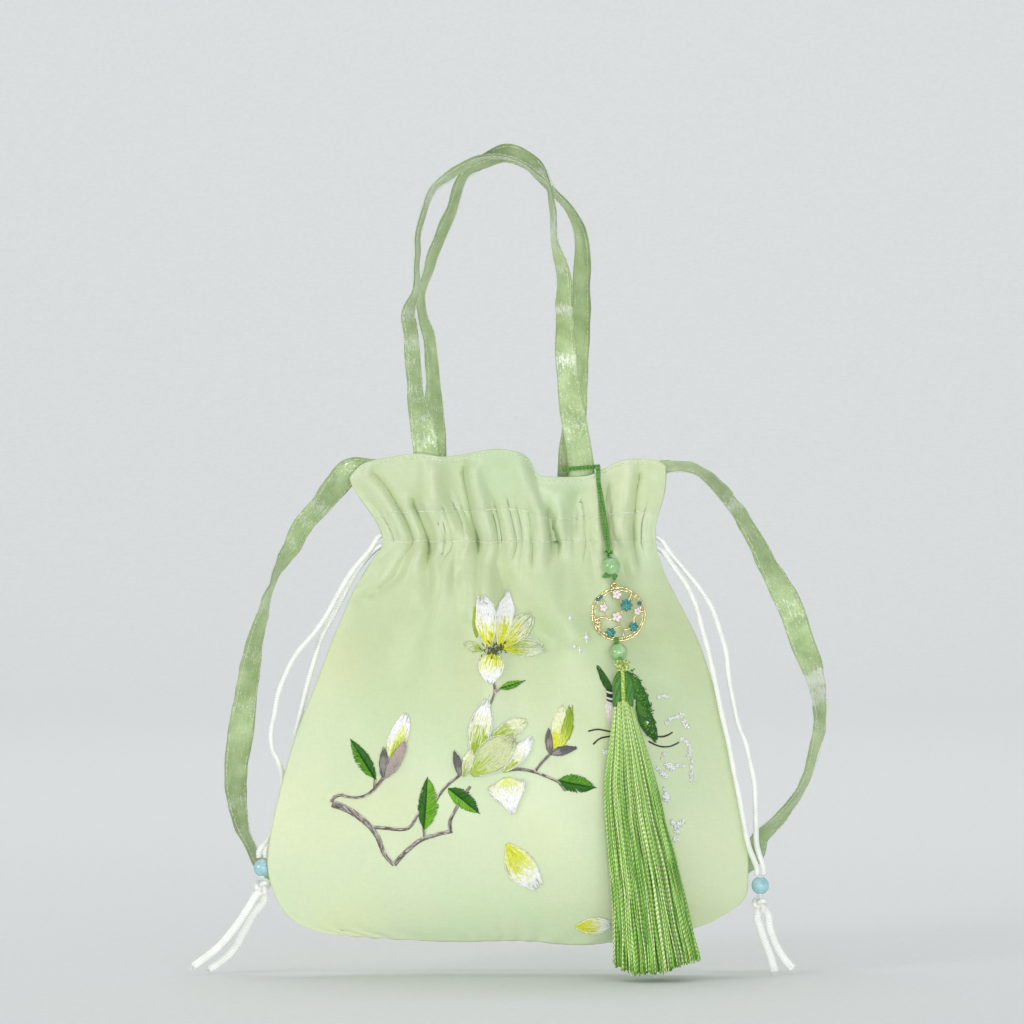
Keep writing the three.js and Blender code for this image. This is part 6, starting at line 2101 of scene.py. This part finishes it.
    def blossom(self, x, z, size, level):
        """A few stitches that spread from one place."""
        count = int(self.draw.integers(3, 6)) + int(3 * size)
        angle = self.draw.uniform(0, LOOSE_TURN) + np.arange(count) * CIRCLE / count
        way = np.stack([np.cos(angle), np.sin(angle)], axis=1)
        middle = np.array([x, z]) + self.draw.normal(0, 0.25, (count, 2))
        reach = size * self.draw.uniform(0.5, 1.1, (count, 1)) + 0.3
        self.lay(middle + way * 0.1, middle + way * reach, silk("white"), level, thick=2.1)

    def arrays(self, bag, extra, width):
        """Each stitch becomes a short thread that dives into the cloth at both ends."""
        start = np.vstack(self.starts)
        end = np.vstack(self.ends)
        share = np.array([0.0, 0.14, 0.5, 0.86, 1.0])
        arch = np.array([-0.45, 0.7, 1.0, 0.7, -0.45])
        flat = start[:, None, :] + (end - start)[:, None, :] * share[None, :, None]
        way = unit(end - start)
        side = np.stack([way[:, 1], -way[:, 0]], axis=1)
        bend = np.concatenate(self.bends)
        flat += side[:, None, :] * (bend[:, None] * np.sin(np.pi * share)[None, :])[..., None]
        x = flat[..., 0] * MM
        z = flat[..., 1] * MM
        u = np.clip(bag.across_at(x, z), -0.995, 0.995)
        normal = bag.normal(FRONT, u, z, extra)
        surface = bag.inner(FRONT, u, z, extra) + normal * bag.wall
        rise = np.concatenate(self.lifts)[:, None] + 0.17 * arch[None, :]
        paths = surface + normal * (rise * MM)[..., None]
        thick = np.concatenate(self.thick)[:, None] * np.array([0.6, 1, 1, 1, 0.55])[None, :]
        arrays = many_threads(lowered(paths, bag), normal, 1.2 * width * thick, 0.45 * width * thick)
        dye = np.repeat(np.concatenate(self.dyes), len(share) * THREAD_SIDES, axis=0)
        return arrays, dye


class PURSE_OT_embroidery(bpy.types.Operator):
    """Magnolia branch, fallen petals, a butterfly and small white blossoms in long and short stitch"""

    bl_idname = "purse.embroidery"
    bl_label = "Embroidery"

    def execute(self, context):
        sizes = sizes_of(context)
        bag = Bag(sizes)
        extra = soft_cloth(bag)
        width = sizes.stitch_width
        material = cached("silk_floss", dyed_material, "silk_floss", 1.3 * MM, 0.34, 0.12)
        twigs = Embroidery(3)
        for k, (wide_start, wide_end, points) in enumerate(TWIGS):
            thin = 0.8 if wide_start < 2 else 0.95
            twigs.twig(thin * wide_start, thin * wide_end, points, 0.05 + 0.02 * k)
        for points in FEELERS:
            twigs.twig(0.35, 0.25, points, 0.05, ("ink", "ink", "slate"), 2.4)
        self.finish(twigs, bag, extra, width, "embroidered_twigs", material)
        leaves = Embroidery(5)
        for leaf in LEAVES:
            leaves.leaf(*leaf, 0.2)
        self.finish(leaves, bag, extra, width, "embroidered_leaves", material)
        petals = Embroidery(9)
        wings = Embroidery(10)
        for k, petal in enumerate(PETALS):
            work = petals if k < PETAL_COUNT else wings
            level = 0.1 + 0.07 * (k % 13)
            sharp = POINTED.get(k, 0.5)
            if k not in SHEER:
                work.petal(*petal, level - 0.05, sharp=sharp, pad=True)
            work.petal(*petal, level, sheer=k in SHEER, sharp=sharp)
            if k in EDGED:
                petals.outline(*petal[:5], "white", level)
        self.stamens(wings)
        self.finish(petals, bag, extra, width, "embroidered_petals", material)
        self.finish(wings, bag, extra, width, "embroidered_sepals_and_wings", material)
        small = Embroidery(13)
        for x, z, size in STARS:
            small.star(x, z, size, 0.15)
        for line, size in SPRIGS:
            small.twig(0.7, 0.6, line, 0.2, ("white", "white", "white"), 2.0)
            for x, z in line:
                small.blossom(x, z, size, 0.25)
        self.finish(small, bag, extra, width, "embroidered_blossoms", material)
        return {"FINISHED"}

    def stamens(self, work):
        """Dark stitches at the heart of the open flower, and the marks on the butterfly's wings."""
        count = 90
        angle = work.draw.uniform(0, CIRCLE, count)
        middle = np.array([-6.6, 132.6]) + work.draw.normal(0, 1, (count, 2)) * np.array([2.2, 1.3])
        way = np.stack([np.cos(angle) * 0.6, np.sin(angle) + 0.3], axis=1)
        dye = np.where(work.draw.uniform(0, 1, (count, 1)) < 0.6, silk("pistil"), silk("slate"))
        work.lay(middle, middle + way * work.draw.uniform(0.8, 1.9, (count, 1)), dye, 0.95, 0.1, 1.0)
        for z, name in (
            (115.2, "ink"), (114.3, "white"), (113.4, "ink"), (112.5, "ink"), (111.6, "white"), (110.7, "ink")
        ):
            start = np.array([[43.8, z], [43.9, z - 0.3], [44.0, z - 0.5]])
            work.lay(start, start + np.array([4.0, -0.6]), silk(name), 1.0, 0.4, 1.2)

        def beside_edge(count, low, high, corners, spread):
            """Places scattered along the outer edge of the wings."""
            share = work.draw.uniform(low, high, count)
            line = np.array(corners)
            spot = np.stack([np.interp(share, [0, 0.35, 0.6, 1], line[:, k]) for k in range(2)], axis=1)
            return spot + work.draw.normal(0, spread, spot.shape)

        # Loose tufts give the wings a ragged edge
        count = 220
        spot = beside_edge(count, 0.0, 1.0, [[53.5, 122.5], [60.2, 112.0], [61.8, 104.0], [63.8, 94.0]], 1.0)
        way = np.stack([work.draw.uniform(0.2, 2.2, count), work.draw.normal(-0.5, 0.9, count)], axis=1)
        green = np.where(work.draw.uniform(0, 1, (count, 1)) < 0.5, silk("leaf_dark"), silk("leaf_mid") * 0.8)
        work.lay(spot, spot + way, green, 0.9, 0.1, 1.0)
        spot = beside_edge(70, 0.1, 0.95, [[53.0, 121.5], [59.0, 112.0], [61.0, 104.0], [63.5, 94.5]], 1.3)
        way = work.draw.normal(0, 0.45, spot.shape)
        work.lay(spot, spot + way, silk("leaf_lime"), 1.05, 0.0, 1.1)
        centre = np.array([[61.6, 99.9]] * 4)
        way = np.array([[0.9, 0.2], [-0.7, 0.5], [0.2, -0.9], [0.1, 0.8]])
        work.lay(centre, centre + way, silk("white"), 1.05, 0.0, 1.2)

    def finish(self, work, bag, extra, width, name, material):
        """Makes the stitches that were laid into one piece."""
        arrays, dye = work.arrays(bag, extra, width)
        piece = mesh_object(name, *arrays, [material])
        colour_points(piece, dye)
        settle(piece, [], "cloth")


# Charm. Places on the disc are shares of its radius, x to the right and z up.
BLOSSOMS = [
    ("white_flower_1", -0.06, 0.74, 0.36, 5),
    ("white_flower_2", -0.56, 0.24, 0.31, 5),
    ("white_flower_3", -0.06, -0.11, 0.37, 5),
    ("white_flower_4", 0.72, 0.1, 0.28, 5),
    ("teal_flower_1", 0.3, 0.34, 0.44, 8),
    ("teal_flower_2", 0.57, -0.48, 0.35, 6),
    ("teal_flower_3", -0.3, -0.7, 0.35, 6),
]
BRANCHES = [
    [[-0.94, -0.24], [-0.6, -0.12], [-0.3, -0.2], [-0.06, -0.11]],
    [[0.22, -0.92], [0.16, -0.6], [0.02, -0.35], [-0.06, -0.11]],
    [[-0.7, 0.62], [-0.52, 0.45], [-0.56, 0.24], [-0.5, -0.02], [-0.42, -0.18]],
    [[0.5, 0.8], [0.4, 0.58], [0.3, 0.34], [0.12, 0.1], [-0.06, -0.11]],
    [[0.94, 0.1], [0.72, 0.1], [0.6, -0.14], [0.57, -0.48], [0.16, -0.6]],
    [[-0.06, 0.92], [-0.06, 0.74], [0.1, 0.5], [0.3, 0.34]],
    [[-0.5, -0.8], [-0.3, -0.7], [-0.1, -0.5], [0.08, -0.46]],
    [[-0.96, 0.0], [-0.86, -0.28], [-0.78, -0.5], [-0.7, -0.66]],
    [[-0.93, -0.1], [-0.8, -0.22], [-0.72, -0.4], [-0.74, -0.6]],
    [[-0.9, -0.3], [-0.76, -0.32], [-0.66, -0.22]],
    [[-0.84, -0.44], [-0.74, -0.46], [-0.64, -0.36]],
    [[-0.78, 0.55], [-0.66, 0.68], [-0.5, 0.72], [-0.34, 0.86]],
    [[0.5, 0.8], [0.46, 0.66], [0.54, 0.52]],
    [[0.62, 0.7], [0.76, 0.5], [0.84, 0.3], [0.82, 0.1]],
]


class PURSE_OT_charm(bpy.types.Operator):
    """Green cord round the strap, two jade beads, the jump ring and the openwork disc with enamel blossoms"""

    bl_idname = "purse.charm"
    bl_label = "Charm"

    def execute(self, context):
        sizes = sizes_of(context)
        colours = colours_of(context)
        bag = Bag(sizes)
        jade = cached("pressed_jade", glass_bead_material, "pressed_jade", tuple(colours.bead_jade), 0.3, 0.2)
        upper = centre_of("charm_bead_upper")
        lower = centre_of("charm_bead_lower")
        ring = centre_of("jump_ring")
        cap = centre_of("tassel_cap")
        radius = sizes.bead_diameter / 2
        knot = upper + unit(upper - ring) * (radius + 0.3 * MM + 1.15 * sizes.charm_cord)
        for name, node, middle, axis in (
            ("jade_bead_upper", "charm_bead_upper", upper, upper - ring),
            ("jade_bead_lower", "charm_bead_lower", lower, lower - cap),
        ):
            settle(bead_object(name, radius, TIE_HOLE, middle, jade, axis), [node], "jade_glass")
        self.cord(context, bag, sizes, knot)
        self.ties(context, sizes, upper, ring, lower, cap)
        self.disc(context, sizes)
        return {"FINISHED"}

    def cord(self, context, bag, sizes, knot):
        """Loop round the front strap's right leg, then two strands down to the knot."""
        leg_x = RIGHT_LEG * sizes.handle_span
        leg_top = float(bag.top_edge(FRONT, bag.across_at(leg_x, bag.height - 6 * MM)))
        leg_y = bag.sewn_to(FRONT, leg_x, leg_top, sizes.strap_width, 1 * MM)
        loop_z = leg_top + LEG_RISE
        half = sizes.charm_cord / 2
        wide = sizes.strap_width / 2 + half + 0.5 * MM
        deep = 0.5 * MM + half + 0.5 * MM
        parts = []
        corners = [[1, -1], [0, -1.2], [-1, -1], [-1.12, 0], [-1, 1], [0, 1.2], [1, 1], [1.12, 0], [1, -1]]
        for rise in (-0.45, 0.45):
            loop = [[leg_x + a * wide, leg_y + b * deep, loop_z + (0.6 * a + rise) * MM] for a, b in corners]
            parts.append(rope_arrays(even_curve(loop, 160), half * 0.8, 1.5 * MM))
        start = np.array([leg_x + 0.95 * wide, leg_y - deep, loop_z + 0.6 * MM])
        end = knot + np.array([0, 0, bag.hang])
        for offset in (-1, 1):
            way = [start]
            over = start + np.array([(0.6 + offset * 0.5) * MM, 0, 0])
            over[1] = bag.front_of(FRONT, over[0], loop_z - 4 * MM, half) - 0.3 * MM
            way.append(over)
            last = end + np.array([offset * 0.4, 0, 1]) * MM
            for share in (0.16, 0.36, 0.58, 0.8):
                point = start + (last - start) * share
                point[0] += offset * 0.55 * math.sin(math.pi * share) * MM
                front = bag.front_of(FRONT, point[0], point[2], 2 * MM) + 1 * MM
                point[1] = min(front, start[1] - 4 * share * MM)
                way.append(point)
            way.append(last)
            parts.append(rope_arrays(even_curve(way, 300), half, 1.7 * MM))
        verts, faces, uv = merge_arrays(parts)
        tied = moved(knot_arrays(half * 0.8, 1.25 * MM), knot)
        arrays = merge_arrays([(lowered(verts, bag), faces, uv), tied])
        piece = mesh_object("green_cord", *arrays, [green_floss(colours_of(context))])
        settle(piece, ["charm_cord"], "green_cord")

    def ties(self, context, sizes, upper, ring, lower, cap):
        """Threads through the beads, the loose loop under the upper one and the bow above the cap."""
        floss = green_floss(colours_of(context))
        half = sizes.charm_cord / 2
        low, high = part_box("charm_tie_upper")
        tie = np.array([ring[0] + 0.05 * MM, ring[1], low[2] + 1.2 * MM])
        parts = [tube_arrays(np.linspace(tie, upper + unit(upper - tie) * 3.6 * MM, 10), 0.6 * MM, 10)]
        parts.append(moved(knot_arrays(half * 0.62, 0.95 * MM), tie))
        loose = np.array([
            [0.3, -0.4, 0.6], [-2.2, -1.0, 1.3], [-4.3, -1.3, 0.9], [-5.0, -1.4, -0.1], [-3.9, -1.5, -0.2],
            [-1.6, -1.2, 0.4], [0.4, -0.6, -0.2],
        ])
        parts.append(rope_arrays(even_curve(tie + loose * MM, 90), half * 0.8, 1.5 * MM))
        piece = mesh_object("upper_tie", *merge_arrays(parts), [floss])
        settle(piece, ["charm_tie_upper"], "green_cord")
        ring_low, ring_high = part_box("jump_ring")
        a = np.linspace(0, CIRCLE, 41)[:-1]
        reach = (ring_high[2] - ring_low[2]) / 2 - 0.3 * MM
        lean = math.radians(78)
        circle = np.stack([np.cos(a) * math.cos(lean), np.cos(a) * math.sin(lean), np.sin(a)], axis=1)
        arrays = tube_arrays(ring + circle * reach, 0.3 * MM, 12, closed=True)
        made = mesh_object("gold_jump_ring", *arrays, [gold_plate(colours_of(context))])
        settle(made, ["jump_ring"], "gold")
        # The lower tie runs round the rim, through the bead and ends in a bow on the cap
        low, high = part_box("charm_tie_lower")
        top = np.array(
            [lower[0] + (lower[0] - cap[0]) * 0.3 - 0.3 * MM, high[1] - 2.2 * MM, high[2] - 2.1 * MM]
        )
        foot = np.array([cap[0] - 0.8 * MM, cap[1], low[2] + 1.9 * MM])
        parts = [tube_arrays(np.linspace(top, foot, 14), 0.6 * MM, 10)]
        a = np.linspace(0, CIRCLE, 60)
        for shift in (-0.7, 0.0, 0.7):
            circle = np.stack([
                np.full_like(a, shift * MM) + 0.1 * MM * np.sin(a),
                np.cos(a) * 1.75 * MM,
                np.sin(a) * 1.75 * MM,
            ], 1)
            parts.append(rope_arrays(top + circle, half * 0.62, 1.2 * MM))
        piece = mesh_object("lower_tie", *merge_arrays(parts), [floss])
        settle(piece, ["charm_tie_lower"], "green_cord")
        bow = []
        a = np.linspace(0, CIRCLE, 70)
        for side, lift, size in ((-1, 0.3, 1.0), (1, 0.1, 1.0), (-1, -1.2, 0.75), (1, -1.3, 0.8)):
            out = np.stack(
                [
                    side * (1 - np.cos(a)) * 1.4 * size * MM + 0.1 * MM,
                    -1.6 * MM - 0.5 * MM * np.sin(a / 2),
                    (lift + 1.35 * size * np.sin(a) + 0.35 * (1 - np.cos(a))) * MM,
                ],
                axis=1,
            )
            bow.append(rope_arrays(foot + out, half * 1.15, 1.9 * MM))
        tied = moved(knot_arrays(half * 0.8, 1.1 * MM), foot)
        bow.append(moved(tied, np.array([0, -1.9 * MM, 0])))
        lame = cached("lime_lame", floss_material, "lime_lame", linear("#c9de74"), 1.1 * MM, 0.26, 0.45)
        piece = mesh_object("cap_bow", *merge_arrays(bow), [lame])
        settle(piece, [], "green_cord")

    def disc(self, context, sizes):
        """Beaten rims, eye, branches and bezels in gold, then the enamel in its cells."""
        colours = colours_of(context)
        low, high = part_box("charm_disc")
        radius = sizes.disc_diameter / 2
        tilt = math.radians(9)
        across = np.array([1.0, 0, 0])
        upward = np.array([0, math.sin(tilt), math.cos(tilt)])
        front = np.array([0, -math.cos(tilt), math.sin(tilt)])
        centre = np.array(
            [(low[0] + high[0]) / 2, (low[1] + high[1]) / 2 + 0.2 * MM, low[2] + radius * math.cos(tilt)]
        )
        wire = 0.65 * MM

        def onto(flat):
            return centre + flat[..., 0:1] * across + flat[..., 1:2] * upward + flat[..., 2:3] * front

        parts = []
        a = np.linspace(0, CIRCLE, 161)[:-1]
        rim = radius - wire
        for share, thick, seed in ((1.0, 0.42, 1.0), (0.91, 0.28, 2.0)):
            wobble = 1 + 0.012 * np.sin(5 * a + seed) + 0.009 * np.sin(9 * a + 2 * seed)
            ring = np.stack([np.cos(a) * rim * share * wobble, np.sin(a) * rim * share * wobble, 0 * a], 1)
            beat = thick * MM * (1 + 0.14 * np.sin(23 * a) * np.sin(7 * a + seed))
            parts.append(tube_arrays(onto(ring), beat, 10, closed=True))
        eye_lean = math.radians(8)
        eye = np.array([-math.sin(eye_lean), math.cos(eye_lean)]) * (radius + 0.55 * MM)
        ring = np.stack(
            [eye[0] + np.cos(a[::4]) * 1.15 * MM, eye[1] + np.sin(a[::4]) * 1.15 * MM, 0 * a[::4]], 1
        )
        parts.append(tube_arrays(onto(ring), 0.38 * MM, 10, closed=True))
        for way in BRANCHES:
            points = np.column_stack([np.array(way) * rim, np.zeros(len(way))])
            line = even_curve(points, 26)
            taper = np.linspace(0.42, 0.3, len(line)) * MM
            parts.append(tube_arrays(onto(line), taper, 8))
        for name, x, z, size, petals in BLOSSOMS:
            middle = np.array([x * rim, z * rim, 0.1 * MM])
            for bezel in (
                self.blossom(size * radius / 2 * 1.08, petals, 0.75 * MM, 0.35),
                self.blossom(0.5 * MM, 3, 1.9 * MM, 0.0),
            ):
                parts.append((onto(bezel[0] + middle), bezel[1], bezel[2]))
        piece = mesh_object("openwork_disc", *merge_arrays(parts), [gold_plate(colours)])
        settle(piece, ["charm_disc"], "gold")
        white = cached("stove_white", enamel_material, "stove_white", tuple(colours.enamel_white), 0.86)
        teal = cached("stove_teal", enamel_material, "stove_teal", tuple(colours.enamel_teal), 0.45)
        for name, x, z, size, petals in BLOSSOMS:
            flower = self.blossom(size * radius / 2, petals, 0.85 * MM, 1.0)
            middle = np.array([x * rim, z * rim, 0.88 * MM])
            kind, slot = (teal, "teal_enamel") if name.startswith("teal") else (white, "white_enamel")
            made = mesh_object(f"enamel_{name}", onto(flower[0] + middle), *flower[1:], [kind])
            settle(made, [name], slot)
        parts = []
        for x, z, size, petals in (
            (0.79, 0.4, 1.15 * MM, 6), (-0.78, 0.56, 1.1 * MM, 2), (-0.66, 0.66, 0.9 * MM, 2)
        ):
            leaf = self.blossom(size, petals, 0.6 * MM, 1.0)
            parts.append((onto(leaf[0] + np.array([x * rim, z * rim, 0.5 * MM])), leaf[1], leaf[2]))
        slate = cached("stove_slate", enamel_material, "stove_slate", linear("#2f7f80"), 0.5)
        settle(mesh_object("enamel_leaves", *merge_arrays(parts), [slate]), [], "teal_enamel")

    def blossom(self, radius, petals, height, dome):
        """A closed flower shape, domed over each petal; local axes are x, up and outwards."""
        rings = 7
        around = 72
        a = CIRCLE * np.arange(around) / around
        lobes = np.abs(np.cos(petals * a / 2))
        edge = radius * (0.58 + 0.42 * lobes**0.6)
        share = np.linspace(0.06, 1, rings)
        rows = []
        for k, s in enumerate(share):
            top = height * (0.45 + 0.55 * np.sqrt(max(0, 1 - s**2))) * (
                1 - dome * 0.5 * (1 - lobes) * min(1, s * 1.6)
            )
            rows.append(
                np.stack([np.cos(a) * edge * s, np.sin(a) * edge * s, top if k < rings - 1 else top * 0.7], 1)
            )
        rows.append(np.stack([np.cos(a) * edge, np.sin(a) * edge, np.zeros(around)], 1))
        rows.append(np.stack([np.cos(a) * edge * 0.06, np.sin(a) * edge * 0.06, np.zeros(around)], 1))
        verts = np.vstack(rows)
        return verts, [ring_faces(len(rows), around, closed=True)], np.zeros((len(verts), 2))


# Skirt of the tassel, in millimetres from the middle of the bag and above its bottom seam
SKIRT = columns(
    ["up", "left", "right"],
    [-14.0, 47.8, 86.4],
    [-4.0, 47.6, 85.2],
    [8.0, 47.4, 82.2],
    [20.0, 46.7, 79.4],
    [26.0, 46.2, 78.1],
    [37.0, 45.0, 75.7],
    [48.0, 44.0, 72.9],
    [58.0, 43.1, 70.3],
    [70.0, 42.6, 67.6],
    [77.0, 43.0, 65.6],
    [85.0, 44.1, 63.4],
    [96.0, 45.4, 59.9],
    [106.0, 46.7, 56.6],
    [110.0, 47.2, 55.4],
)


class PURSE_OT_tassel(bpy.types.Operator):
    """Cap of wound thread and the skirt of hanging twisted threads"""

    bl_idname = "purse.tassel"
    bl_label = "Tassel"

    def execute(self, context):
        sizes = sizes_of(context)
        bag = Bag(sizes)
        self.skirt(context, sizes, bag)
        self.cap(context)
        return {"FINISHED"}

    def skirt(self, context, sizes, bag):
        """Separate threads that hang from the cap and lie against the cloth."""
        colours = colours_of(context)
        low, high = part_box("tassel_skirt")
        draw = np.random.default_rng(21)
        count = sizes.tassel_threads
        stations = 20
        share = np.linspace(0, 1, stations) ** 0.9
        top = high[2] + bag.hang + 1.4 * MM
        angle = draw.uniform(0, CIRCLE, count)
        ring = 1 - 0.62 * draw.uniform(0, 1, count) ** 1.6
        across = ring * np.cos(angle)
        deep = ring * np.sin(angle)
        # The hem is cut by hand, so it runs a little unevenly and rises to the right
        cut = np.interp(
            across, [-1, -0.5, 0.1, 1], [-7.4, -10.8, -9.6, -4.6]
        ) * MM + draw.normal(0, 0.7 * MM, count)
        length = (top - cut) * sizes.tassel_length / (121 * MM)
        z = top - share[None, :] * length[:, None]
        left = along(SKIRT, "up", z / MM, "left") * MM
        right = along(SKIRT, "up", z / MM, "right") * MM
        half = (right - left) / 2 - 0.35 * MM
        locks = 1 + 0.05 * np.sin(5 * angle)[:, None] * share[None, :]
        x = (left + right) / 2 + half * across[:, None] * locks
        middle = (low[1] + high[1]) / 2
        thick = (3.4 + 5.2 * share[None, :]) * MM
        y = middle + thick * deep[:, None]
        for size, reach in ((0.5, 9.0), (0.3, 3.6)):
            pace = draw.uniform(1, 1.6, (count, 1))
            phase = draw.uniform(0, LOOSE_TURN, (count, 1))
            bend = np.sin(share[None, :] * pace * reach + phase)
            x += size * MM * share[None, :] * bend
            y += 0.7 * size * MM * share[None, :] * bend[::-1]
        u = np.clip(bag.across_at(x, np.maximum(z, 1 * MM)), -0.99, 0.99)
        cloth = bag.outer(FRONT, u, np.maximum(z, 1 * MM))[..., 1]
        cloth = np.where(z > 0, cloth, cloth[:, -1:].min())
        y = np.minimum(y, cloth - 0.9 * MM)
        y = np.maximum(y, low[1] - 1.5 * MM)
        paths = np.stack([x, y, z], axis=-1)
        ups = np.stack([across[:, None] * 0.6 + 0 * z, -1.0 + 0.2 * deep[:, None] + 0 * z, 0 * z], axis=-1)
        width = (0.36 + 0.24 * share[None, :]) * MM + 0 * z
        arrays = many_threads(lowered(paths, bag), ups, width, width)
        # Painted highlight and painted shade: random threads take the painted highlight colour, or mostly the
        # painted shade colour; threads deeper inside the skirt turn to the painted shade colour, and near the
        # cap all are mixed toward the painted highlight colour
        tone = draw.uniform(0, 1, count)[:, None]
        mid = np.array(colours.tassel)
        light = np.array(colours.tassel_painted_highlight)
        painted_shade_green = np.array(colours.tassel_painted_shade)
        dye = np.where(tone < 0.3, mid * 0.3 + painted_shade_green * 0.7, np.where(tone > 0.66, light, mid))
        inner = np.clip((1 - ring) * 1.2, 0, 0.6)[:, None]
        dye = dye * (1 - inner) + painted_shade_green * inner
        fade = np.interp(share, [0, 0.08, 0.3, 1], [0.75, 0.5, 0.12, 0.0])[None, :, None]
        full = dye[:, None, :] * (1 - fade) + light * fade
        full = np.repeat(full.reshape(-1, 3), THREAD_SIDES, axis=0)
        rayon = cached("rayon_tassel", dyed_material, "rayon_tassel", 1.0 * MM, 0.28, 0.45)
        piece = mesh_object("tassel_threads", *arrays, [rayon])
        colour_points(piece, full)
        settle(piece, ["tassel_skirt"], "tassel_thread")

    def cap(self, context):
        """Two bundles of wound thread round their cores, and one bright strand in front."""
        colours = colours_of(context)
        low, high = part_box("tassel_cap")
        top = np.array([(low[0] + high[0]) / 2 - 0.8 * MM, (low[1] + high[1]) / 2, high[2] - 0.6 * MM])
        foot = np.array([(low[0] + high[0]) / 2 - 0.2 * MM, top[1], low[2] - 0.4 * MM])
        share = np.linspace(0, 1, 14)
        full = np.interp(share, [0, 0.1, 0.35, 0.8, 1], [0.3, 0.72, 1.0, 1.0, 0.94])
        paths = []
        ups = []
        for side in (-1, 1):
            for k in range(26):
                a = CIRCLE * k / 26
                out = np.array([math.cos(a), math.sin(a), 0.0])
                centre = side * 2.15 * MM * np.interp(share, [0, 0.3, 1], [0.35, 0.95, 1.05])
                reach = (2.25 * MM * full)[:, None] * out[None, :] * np.array([1.0, 1.35, 1.0])
                line = top + (foot - top) * share[:, None] + reach
                line[:, 0] += centre
                paths.append(line)
                ups.append(np.broadcast_to(out, line.shape))
        parts = [many_threads(np.array(paths), np.array(ups), 0.62 * MM, 0.5 * MM)]
        for side in (-1, 1):
            core = top + (foot - top) * share[:, None]
            core[:, 0] += side * 2.15 * MM * np.interp(share, [0, 0.3, 1], [0.35, 0.95, 1.05])
            parts.append(tube_arrays(core, 2.1 * MM * full, 18, flat=1.35))
        wound = cached("cap_floss", floss_material, "cap_floss", tuple(colours.cap), 3 * MM, 0.32, 0.82)
        piece = mesh_object("wound_cap", *merge_arrays(parts), [wound])
        settle(piece, ["tassel_cap"], "cap_thread")
        line = top + (foot - top) * share[:, None] + np.array([0.2 * MM, -3.0 * MM, 0])
        line[:, 1] += np.interp(share, [0, 0.2, 1], [1.4, 0.2, 0.0]) * MM
        strand = rope_arrays(even_curve(line, 120), 0.95 * MM, 2.6 * MM)
        lime = cached(
            "lime_floss", floss_material, "lime_floss", tuple(colours.charm_lime), 1.2 * MM, 0.3, 0.7
        )
        settle(mesh_object("cap_strand", *strand, [lime]), [], "green_cord")


class PURSE_PT_panel(bpy.types.Panel):
    """Buttons that build the purse piece by piece"""

    bl_idname = "PURSE_PT_panel"
    bl_label = "Embroidered purse"
    bl_space_type = "VIEW_3D"
    bl_region_type = "UI"
    bl_category = "Purse"

    def draw(self, context):
        for operator in OPERATORS:
            self.layout.operator(operator.bl_idname)
        for group in (sizes_of(context), colours_of(context)):
            box = self.layout.box()
            for name in group.__annotations__:
                box.prop(group, name)


OPERATORS = (
    PURSE_OT_stage,
    PURSE_OT_stoppers,
    PURSE_OT_drawcords,
    PURSE_OT_panels,
    PURSE_OT_straps,
    PURSE_OT_embroidery,
    PURSE_OT_charm,
    PURSE_OT_tassel,
)
CLASSES = (PurseSizes, PurseColours, *OPERATORS, PURSE_PT_panel)


def register():
    for cls in CLASSES:
        bpy.utils.register_class(cls)
    bpy.types.Scene.purse_sizes = bpy.props.PointerProperty(type=PurseSizes)
    bpy.types.Scene.purse_colours = bpy.props.PointerProperty(type=PurseColours)


def unregister():
    del bpy.types.Scene.purse_sizes
    del bpy.types.Scene.purse_colours
    for cls in reversed(CLASSES):
        bpy.utils.unregister_class(cls)


def main():
    register()
    for operator in OPERATORS:
        group, name = operator.bl_idname.split(".")
        getattr(getattr(bpy.ops, group), name)()


if __name__ == "__main__":
    main()
